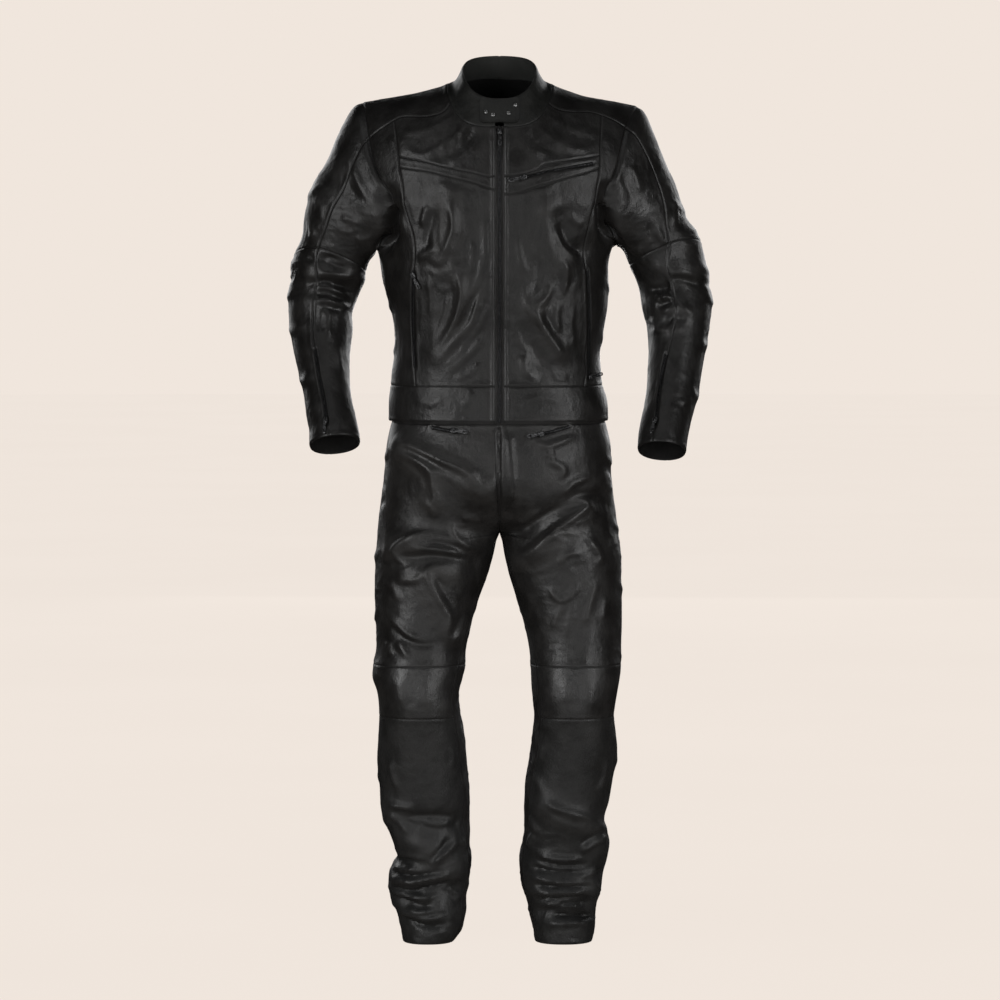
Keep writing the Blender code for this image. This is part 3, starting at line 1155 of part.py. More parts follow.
def make_shaders():
    shaders = {}
    for i, name in enumerate(MATERIALS["name"]):
        shader = bpy.data.materials.new(str(name))
        shader.use_nodes = True
        colour = [float(MATERIALS[tint][i]) for tint in ("red", "green", "blue")] + [1.0]
        surface = shader.node_tree.nodes["Principled BSDF"]
        surface.inputs["Base Color"].default_value = colour
        surface.inputs["Roughness"].default_value = float(MATERIALS["rough"][i])
        surface.inputs["Metallic"].default_value = float(MATERIALS["metal"][i])
        shader.diffuse_color = colour
        shaders[str(name)] = shader
    return shaders


clear_scene()
SUIT = bpy.data.collections.new("motorcycle_race_suit")
bpy.context.scene.collection.children.link(SUIT)
SHADERS = make_shaders()

jacket()
for each_side in (1, -1):
    sleeve_panels(each_side)
    leg_panels(each_side)
LEATHER = sew()
trims()
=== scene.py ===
"""The leather suit dressed: creased shells over each cut piece, with sewing, zips and metalwork.

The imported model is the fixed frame.  Tables and surfaces repeat the part's own, in metres: heights
are above the trousers' hem, and SHOULDER_HEIGHT takes them into the part's frame.
"""

import math

import bmesh
import bpy
import numpy as np
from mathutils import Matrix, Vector
from mathutils.bvhtree import BVHTree
from mathutils.kdtree import KDTree


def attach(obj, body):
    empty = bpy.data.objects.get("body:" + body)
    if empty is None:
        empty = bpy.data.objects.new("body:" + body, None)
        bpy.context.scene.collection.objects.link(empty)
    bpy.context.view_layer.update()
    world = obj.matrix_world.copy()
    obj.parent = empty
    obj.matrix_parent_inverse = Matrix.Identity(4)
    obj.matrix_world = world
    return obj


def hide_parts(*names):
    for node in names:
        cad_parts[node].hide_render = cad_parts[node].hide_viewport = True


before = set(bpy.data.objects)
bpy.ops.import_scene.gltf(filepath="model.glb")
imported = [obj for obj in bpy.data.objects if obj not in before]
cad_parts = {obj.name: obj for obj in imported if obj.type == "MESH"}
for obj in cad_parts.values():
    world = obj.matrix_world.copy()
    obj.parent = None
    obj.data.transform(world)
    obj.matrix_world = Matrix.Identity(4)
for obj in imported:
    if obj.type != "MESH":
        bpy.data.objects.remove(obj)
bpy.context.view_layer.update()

# ---------------------------------------------------------------- driving dimensions

SHOULDER_HEIGHT = 1.489
CURVE_SAMPLES = 500
TINY, SMALLEST = 1e-9, 1e-12

# walls: their thickness, how neighbours' rims are joined, and which edges stay sharp
WALL = 0.002
WELD_REACH = 2e-4
LONGEST_MITRE = 2.4
NEARLY_FLAT = 0.15
SHARP_EDGE = math.radians(40)

# the torso, its hem and the dome of the shoulders
SHOULDER_LINE_Y = 0.012
CHEST_HEIGHT = 1.290
DOME_LENGTH = 0.200
DOME_POWER = 0.9
TORSO_POWER = 0.85
ZIP_HALF_WIDTH = 0.008
HEM_HEIGHT = 0.915
HEM_SEAM = 0.977
SIDE_SEAM_LINE = ((1.10, 0.977), (1.08, 1.080), (1.05, 1.160))
SIDE_SEAM = SIDE_SEAM_LINE[0][0]

# armholes and yoke
ARMPIT_HEIGHT = {1: 1.225, -1: 1.209}
BEND_SHARE = 2.0 / 3.0
ARMHOLE_STEPS = 300
ARMHOLE_ROUNDS = 2700
SHOULDER_TIP_X = 0.2345
YOKE_BEND_X = 0.120
YOKE_BACK = 0.585

# neck and collar
NECK_HALF_WIDTH = 0.091
NECK_FRONT_DEPTH = 0.099
NECK_BACK_DEPTH = 0.088
NECK_FRONT_POWER = 0.65
NECK_BACK_POWER = 0.90
NECK_CENTRE_Y = -0.013
COLLAR_HALF_WIDTH = 0.065
COLLAR_HALF_DEPTH = 0.072
COLLAR_CENTRE_Y = -0.016
COLLAR_FRONT_POWER = 0.80
COLLAR_BACK_POWER = 0.95
COLLAR_TOP = 1.513
COLLAR_SLOPE = 0.039
COLLAR_SIDE_RISE = 0.0125
COLLAR_SAG = 0.010

# trousers; the bend at the crotch's height is drawn out, but not within CROTCH_CLEAR of the crotch
WAIST_HEIGHT = 0.944
WAIST_SEAM = 0.912
CROTCH_HEIGHT = 0.717
CROTCH_ROUNDS = 70
CROTCH_EASE = 0.032
CROTCH_CLEAR = 0.012
CROTCH_FADE = 0.040
RISE_BEND = 0.105
KNEE_SEAM = 0.491
KNEE_END = 0.400
LEG_POWER = 0.88

# sleeves: rows run from the armhole to the cuff, and turns go round from the outer edge
SLEEVE_ROWS = 17.0
SLEEVE_BLEND = 8.0
ELBOW_GUESS = 6.0
ELBOW_ROUNDS = 30
FRONT_SEAM_TURN = 0.19
BACK_SEAM_TURN = 0.81
BACK_SEAM_DRIFT = 0.02
BACK_SEAM_ROWS = 5.0
SLEEVE_POWER = 0.94

# grids: steps for the normals, the lines added beside each border, and every how many lines of the
# outer face the wall's inner face keeps
PLACE_STEP = 1e-3
SLEEVE_ROW_STEP = 1e-2
EXTRA_LINES = (0.25, 0.55, 1.5)
INNER_STEP = 3

# folds and creases: which way the leather must face to take them, how far they reach in widths and
# how they run out at their ends
FOLD_FACING = 0.15
FOLD_FADE = 0.5
SIDE_CREASE_X = 0.10
CREASE_REACH = 2.6
CREASE_POINTS = 3
CREASE_ENDS = 0.30
CREASE_START = 0.04

# how seams hold the leather flat beside them
SEAM_HOLD = 0.014
SEAM_SLACK = 0.18
WELT_REACH = 0.12
WELT_RELIEF = ((0.0, 0.0026, -0.0014), (0.0048, 0.0018, 0.0008))

# stitches
STITCH_PITCH = 0.0032
STITCH_HALF = 0.00125
STITCH_WIDTH = 0.00032
STITCH_SINK = 0.00025
STITCH_RISE = 0.00030
STITCH_ROWS = 12
# a stitch's faces: its four corners on the leather, its top and its bottom
LOZENGE = np.array(((4, 1, 0), (4, 2, 1), (4, 3, 2), (4, 0, 3),
                    (5, 0, 1), (5, 1, 2), (5, 2, 3), (5, 3, 0)))
# the marks that the materials read are in millimetres
MARK_SCALE = 1000.0

# the front zip's section from edge to edge, the part of it left to the tape, and the zips' teeth
ZIP_LIFT = (-0.0012, -0.0008, 0.0002, 0.0006, 0.0004, -0.0010, -0.0022, -0.0022, -0.0022,
            -0.0022, -0.0022, -0.0010, 0.0004, 0.0006, 0.0002, -0.0008, -0.0012)
ZIP_WALL = 0.0012
ZIP_GAP = (0.36, 0.64)
TOOTH_PITCH = 0.0013
TOOTH_WIDTH = 0.0014
TOOTH_HEIGHT = 0.0009
FRONT_TOOTH_GROWTH = 1.5
# each level of a tooth as shares of its height, thickness and reach, and its two ends as how far
# they reach and how thick they are
TOOTH_LEVELS = ((0.0, 1.0, 1.0), (0.65, 1.0, 1.0), (1.0, 0.6, 0.8))
TOOTH_ENDS = ((1.0, 0.5), (-0.25, 0.36))

# the panels that take no seam relief, creases or crumpling, and whose middle columns are zip tape
FLAT_PANELS = ("front_zip",)
# a few panels' own finishes and linings, and how freely they crease; the jacket's leather is painted
# darker than the trousers' (painted shade) and the collar's lining paler than the rest (painted
# light)
FINISHES = {"lower_leg_front": "matte_leather", "kneecap": "knee_leather",
            "front_zip": "leather", "thigh_front": "trouser_leather",
            "thigh_back": "trouser_leather", "lower_leg_back": "trouser_leather",
            "waistband": "trouser_leather"}
LININGS = {"collar": "collar_lining_painted_light"}
SLACK = {"chest_band": 0.5, "hem_band": 0.7, "kneecap": 0.6, "waistband": 0.2}

# ---- studio: soft lights as name, place, size and power; the camera stands at the photo's angle
BACKDROP = (0.871, 0.791, 0.723)
FLOOR_PALE, FLOOR_DARK = (0.872, 0.792, 0.724), (0.864, 0.784, 0.716)
FLOOR_BASE = (0.872, 0.792, 0.723)
FLOOR_RADIUS = 30.0
FLOOR_DROP = 0.001
FLOOR_GLOW = 0.99
FLOOR_DIFFUSE = 0.02
CAMERA_DISTANCE = 9.0
CAMERA_HEIGHT = 1.25
SENSOR_WIDTH = 36.0
FRAME_HEIGHT = 1.75
LOOK_AT = (0.0009, 0.0, 0.775 - SHOULDER_HEIGHT)
LIGHTS = (
    ("key_left", (-3.4, -4.2, 0.4), (1.8, 3.4), 106.0),
    ("key_right", (3.6, -4.0, 0.3), (1.8, 3.4), 93.0),
    ("front", (-0.3, -8.4, -0.58), (3.0, 1.8), 40.0),
    ("top", (0.0, -2.2, 3.4), (2.6, 1.6), 12.0),
    ("low", (0.0, -1.9, -1.42), (2.8, 1.6), 5.5),
    ("back", (0.3, 8.4, -0.2), (3.0, 2.4), 80.0),
    ("back_left", (-2.2, 4.2, 0.9), (2.4, 3.0), 45.0),
    ("back_right", (2.2, 4.2, 0.9), (2.4, 3.0), 45.0),
)

# how many grid steps run along each stretch of seam
STEPS = {
    "yoke": 30, "neck_front": 30, "side_front": 20, "half_back": 50, "hem": 20, "lower": 90,
    "band": 8, "upper": 30, "side": 62, "armhole": 66, "neck_side": 40, "yoke_back": 24,
    "upper_arm": 104, "forearm": 132, "leg": 96, "waist": 8, "inseam": 82, "rise": 70,
    "kneecap": 34, "shin": 138, "collar": 20, "front_zip": 16,
}


def table(columns, rows):
    """A short table as a dictionary of its named columns."""
    return {name: np.array([row[i] for row in rows], float)
            for i, name in enumerate(columns.split())}


TORSO = table("height left right front back", (
    (0.900, 0.190, 0.195, 0.1215, 0.1240),
    (0.915, 0.190, 0.194, 0.1220, 0.1240),
    (0.955, 0.187, 0.193, 0.1215, 0.1220),
    (0.977, 0.180, 0.190, 0.1200, 0.1190),
    (1.003, 0.178, 0.188, 0.1185, 0.1160),
    (1.031, 0.176, 0.184, 0.1180, 0.1140),
    (1.073, 0.182, 0.184, 0.1200, 0.1150),
    (1.115, 0.188, 0.191, 0.1250, 0.1190),
    (1.157, 0.189, 0.204, 0.1290, 0.1240),
    (1.199, 0.192, 0.210, 0.1315, 0.1290),
    (1.214, 0.196, 0.213, 0.1320, 0.1300),
    (1.232, 0.204, 0.219, 0.1320, 0.1310),
    (1.290, 0.246, 0.246, 0.1320, 0.1320),
))

RIDGE = table("x right left", (
    (0.000, 1.546, 1.546), (0.040, 1.537, 1.537), (0.078, 1.509, 1.509), (0.097, 1.499, 1.498),
    (0.118, 1.4925, 1.4900), (0.143, 1.486, 1.4815), (0.181, 1.479, 1.4740), (0.223, 1.472, 1.4660),
    (0.246, 1.468, 1.4610),
))

# the two rails each sleeve hangs between: outer and inner edge, row by row down the arm
SLEEVE = {
    1: table("out_x out_z in_x in_z", (
        (0.240, 1.462, 0.207, 1.222), (0.255, 1.448, 0.210, 1.220), (0.272, 1.409, 0.213, 1.217),
        (0.291, 1.362, 0.217, 1.213), (0.311, 1.316, 0.221, 1.206), (0.326, 1.270, 0.225, 1.195),
        (0.347, 1.243, 0.230, 1.181), (0.359, 1.203, 0.237, 1.166), (0.368, 1.160, 0.245, 1.143),
        (0.372, 1.120, 0.250, 1.111), (0.368, 1.080, 0.258, 1.080), (0.361, 1.040, 0.260, 1.043),
        (0.354, 1.003, 0.258, 1.005), (0.348, 0.970, 0.256, 0.972), (0.341, 0.942, 0.252, 0.944),
        (0.333, 0.915, 0.246, 0.918), (0.327, 0.889, 0.241, 0.892), (0.323, 0.862, 0.239, 0.868),
    )),
    -1: table("out_x out_z in_x in_z", (
        (0.238, 1.468, 0.2140, 1.211), (0.258, 1.456, 0.217, 1.208), (0.284, 1.409, 0.220, 1.205),
        (0.302, 1.367, 0.223, 1.200), (0.328, 1.323, 0.227, 1.194), (0.341, 1.272, 0.231, 1.184),
        (0.346, 1.236, 0.235, 1.171), (0.361, 1.199, 0.236, 1.157), (0.368, 1.157, 0.246, 1.136),
        (0.370, 1.115, 0.257, 1.104), (0.367, 1.073, 0.257, 1.073), (0.361, 1.042, 0.260, 1.042),
        (0.354, 1.012, 0.261, 1.010), (0.346, 0.984, 0.260, 0.980), (0.340, 0.957, 0.256, 0.950),
        (0.336, 0.929, 0.249, 0.922), (0.330, 0.900, 0.243, 0.897), (0.329, 0.872, 0.241, 0.880),
    )),
}

# the sleeve's middle line forwards and back, its half depth, and how far its rings tip forwards
SLEEVE_DEPTH = table("row y half tip", (
    (0, 0.012, 0.095, 0.00), (2, 0.016, 0.091, 0.00), (4, 0.023, 0.082, 0.00),
    (6, 0.032, 0.074, 0.05), (8, 0.034, 0.071, 0.15), (10, 0.016, 0.064, 0.30),
    (12, -0.016, 0.056, 0.40), (14, -0.048, 0.050, 0.42), (16, -0.078, 0.049, 0.40),
    (17, -0.090, 0.050, 0.38),
))

SLEEVE_FRONT_SEAM = {
    1: table("row turn", ((0, 0.19), (3, 0.155), (5, 0.20), (7, 0.265), (10, 0.265), (12, 0.30),
                          (14, 0.335), (17, 0.315))),
    -1: table("row turn", ((0, 0.19), (3, 0.205), (5, 0.20), (6, 0.185), (8, 0.225), (11, 0.211),
                           (14, 0.225), (17, 0.22))),
}

ELBOW_SEAM = {
    1: table("turn row", ((-0.25, 6.1), (0.00, 6.45), (0.20, 6.0), (0.50, 5.7), (0.75, 6.1),
                          (1.00, 6.45), (1.25, 6.0))),
    -1: table("turn row", ((-0.25, 6.3), (0.00, 6.80), (0.20, 6.15), (0.50, 5.7), (0.75, 6.3),
                           (1.00, 6.80), (1.25, 6.1))),
}

# the front edge of each armhole, from the yoke seam down to just above the armpit
ARMHOLE_FRONT = {
    1: ((0.219, 1.4245), (0.204, 1.361), (0.189, 1.318), (0.183, 1.282), (0.187, 1.250),
        (0.194, 1.232)),
    -1: ((-0.227, 1.405), (-0.216, 1.361), (-0.198, 1.318), (-0.185, 1.282), (-0.189, 1.244),
         (-0.204, 1.217)),
}
ARMHOLE_BACK = ((0.229, 1.400), (0.219, 1.361), (0.207, 1.318), (0.200, 1.282), (0.200, 1.246),
                (0.206, 1.225))
ARMHOLE_BEND = 4

PRINCESS_SEAM = {
    1: ((0.177, 1.446), (0.174, 1.376), (0.170, 1.323), (0.161, 1.280), (0.151, 1.236),
        (0.149, 1.190), (0.155, 1.090), (0.150, 1.010), (0.147, 0.977)),
    -1: ((-0.183, 1.437), (-0.175, 1.374), (-0.167, 1.318), (-0.155, 1.258), (-0.147, 1.225),
         (-0.149, 1.176), (-0.153, 1.090), (-0.147, 1.010), (-0.146, 0.977)),
}
YOKE_SEAM = {
    1: ((0.219, 1.4245), (0.197, 1.438), (0.177, 1.446), (0.155, 1.4515), (0.120, 1.452),
        (0.098, 1.457)),
    -1: ((-0.227, 1.405), (-0.200, 1.426), (-0.183, 1.437), (-0.165, 1.4435), (-0.122, 1.444),
         (-0.096, 1.452)),
}
NECK_CORNER_X = 0.0845
PRINCESS_CLEAR = 0.01
BAND_TOP = {
    1: ((0.008, 1.340), (0.036, 1.342), (0.062, 1.350), (0.081, 1.361), (0.130, 1.369),
        (0.174, 1.376)),
    -1: ((-0.008, 1.340), (-0.031, 1.3415), (-0.122, 1.363), (-0.175, 1.374)),
}
BAND_BOTTOM = {
    1: ((0.008, 1.308), (0.034, 1.312), (0.096, 1.331), (0.173, 1.354)),
    -1: ((-0.008, 1.316), (-0.067, 1.334), (-0.120, 1.347), (-0.1735, 1.355)),
}

# each trouser leg: outer and inner edge, and the front and back depth, by height
LEG = {
    1: table("height out in", (
        (0.000, 0.163, 0.062), (0.023, 0.167, 0.059), (0.045, 0.168, 0.053),
        (0.065, 0.170, 0.049), (0.093, 0.178, 0.041), (0.121, 0.183, 0.037),
        (0.149, 0.190, 0.036), (0.177, 0.193, 0.040), (0.198, 0.187, 0.043),
        (0.212, 0.184, 0.043), (0.247, 0.192, 0.043), (0.289, 0.199, 0.046),
        (0.331, 0.206, 0.053), (0.373, 0.203, 0.058), (0.401, 0.200, 0.060),
        (0.429, 0.204, 0.058), (0.471, 0.211, 0.054), (0.513, 0.213, 0.052),
        (0.555, 0.214, 0.044), (0.597, 0.214, 0.031), (0.639, 0.213, 0.018),
        (0.681, 0.213, 0.008), (0.705, 0.210, 0.004), (0.717, 0.207, 0.000),
        (0.751, 0.204, 0.000), (0.779, 0.200, 0.000), (0.835, 0.195, 0.000),
        (0.875, 0.1935, 0.000), (0.898, 0.1885, 0.000), (0.912, 0.1852, 0.000),
        (0.960, 0.1815, 0.000),
    )),
    -1: table("height out in", (
        (0.000, 0.170, 0.080), (0.023, 0.173, 0.066), (0.051, 0.181, 0.060),
        (0.079, 0.191, 0.060), (0.096, 0.195, 0.056), (0.121, 0.193, 0.052),
        (0.137, 0.186, 0.050), (0.149, 0.179, 0.050), (0.163, 0.183, 0.052),
        (0.191, 0.193, 0.052), (0.219, 0.204, 0.053), (0.247, 0.209, 0.052),
        (0.275, 0.210, 0.053), (0.317, 0.214, 0.057), (0.359, 0.212, 0.060),
        (0.401, 0.210, 0.067), (0.443, 0.214, 0.070), (0.468, 0.222, 0.064),
        (0.485, 0.221, 0.060), (0.513, 0.216, 0.059), (0.555, 0.216, 0.050),
        (0.597, 0.218, 0.038), (0.639, 0.218, 0.022), (0.681, 0.216, 0.010),
        (0.705, 0.214, 0.005), (0.717, 0.213, 0.000), (0.751, 0.211, 0.000),
        (0.779, 0.207, 0.000), (0.835, 0.200, 0.000), (0.875, 0.1965, 0.000),
        (0.898, 0.1920, 0.000), (0.912, 0.1885, 0.000), (0.960, 0.1870, 0.000),
    )),
}
LEG_DEPTH = table("height front back", (
    (0.000, -0.058, 0.074), (0.080, -0.063, 0.078), (0.150, -0.067, 0.080),
    (0.220, -0.080, 0.083), (0.300, -0.093, 0.080), (0.380, -0.109, 0.064),
    (0.430, -0.119, 0.056), (0.470, -0.118, 0.060), (0.520, -0.110, 0.082),
    (0.580, -0.108, 0.100), (0.650, -0.110, 0.112), (0.717, -0.113, 0.124),
    (0.960, -0.113, 0.124),
))
HIP_DEPTH = table("height front back", (
    (0.700, -0.122, 0.138), (0.780, -0.127, 0.142), (0.850, -0.128, 0.136),
    (0.885, -0.124, 0.128), (0.902, -0.1200, 0.1220), (0.912, -0.1190, 0.1208),
    (0.960, -0.1180, 0.1192),
))
INNER_LEG_SEAM = table("height turn", (
    (0.000, 0.085), (0.130, 0.060), (0.250, 0.085), (0.394, 0.100), (0.485, 0.095),
    (0.600, 0.045), (0.700, 0.005), (0.717, 0.000),
))
OUTER_LEG_SEAM = 0.50

# folds large enough to shape the walls, part by part and face by face, in millimetres: width, depth
# and the middle line's places as x and height
FOLD_ROWS = (
    ("legs", -1, (
        (22, 8, -192, 878, -106, 847, -32, 798), (20, 7, -172, 859, -120, 826, -113, 775),
        (20, 8, -153, 707, -185, 684, -164, 663), (20, -8, -172, 672, -113, 677, -45, 668),
        (22, 8, -76, 663, -125, 656, -122, 628, -104, 593, -81, 548),
        (20, 9, 153, 768, 99, 728, 69, 695, 22, 668), (20, -8, 31, 724, 115, 766, 193, 782),
        (20, -8, -172, 215, -73, 213), (20, 7, -199, 224, -155, 180, -110, 160),
        (18, -8, -165, 86, -80, 98), (18, 6, -190, 112, -70, 128),
        (20, 8, 78, 245, 113, 227, 167, 208), (18, -8, 74, 60, 148, 63),
        (20, 6, 67, 108, 123, 94, 170, 96), (5, -4, -1, 900, -1, 750),
        (7, 3, 18, 885, 22, 830, 23, 790),
    )),
    ("legs", 1, (
        (22, -10, -210, 480, -140, 462, -70, 478), (22, -10, 205, 478, 135, 460, 60, 476),
        (22, 8, -190, 430, -80, 436), (22, 8, 185, 428, 75, 436),
        (22, -8, -185, 640, -90, 668, -30, 690), (22, -8, 185, 640, 90, 668, 30, 690),
        (20, -8, -180, 150, -70, 140), (20, -8, 175, 160, 60, 140),
    )),
    ("torso", -1, (
        (24, 7, -88, 1298, -80, 1246, -102, 1195), (22, -8, 106, 1265, 116, 1225, 139, 1209),
        (22, 6, 86, 1278, 98, 1226, 120, 1190),
        (22, 6, -76, 1176, -66, 1137, -81, 1080, -108, 1034),
        (22, 6, 59, 1113, 78, 1073, 101, 1038),
    )),
    ("torso", 1, (
        (26, -7, -150, 1060, 0, 1030, 150, 1060), (26, -6, -160, 1250, -120, 1190, -110, 1130),
        (26, -6, 160, 1250, 120, 1190, 110, 1130),
    )),
    ("sleeves", -1, (
        (18, 4, -335, 1176, -251, 1167), (18, -3, -345, 1150, -262, 1144),
        (18, 3, -333, 1124, -262, 1118), (18, 4, 280, 1182, 340, 1180),
        (18, -3, 275, 1150, 350, 1152), (18, 3, 275, 1112, 345, 1104),
    )),
    ("sleeves", 1, (
        (20, 6, -350, 1180, -250, 1170), (20, 6, 250, 1170, 350, 1180),
    )),
)
# the armpits' folds run over the torso and the sleeve alike
ARMPIT_FOLDS = (
    (15, -12, -196, 1308, -187, 1275, -190, 1240, -204, 1214),
    (9, -18, -187, 1275, -190, 1240, -204, 1218),
    (15, -12, 188, 1314, 183, 1282, 187, 1250, 194, 1230),
    (9, -18, 183, 1285, 187, 1250, 194, 1232),
)
FOLDS = [(part, face, width / 1000, depth / 1000, np.reshape(line, (-1, 2)) / 1000)
         for part, face, rows in FOLD_ROWS + (("torso", -1, ARMPIT_FOLDS),
                                              ("sleeves", -1, ARMPIT_FOLDS))
         for width, depth, *line in rows]
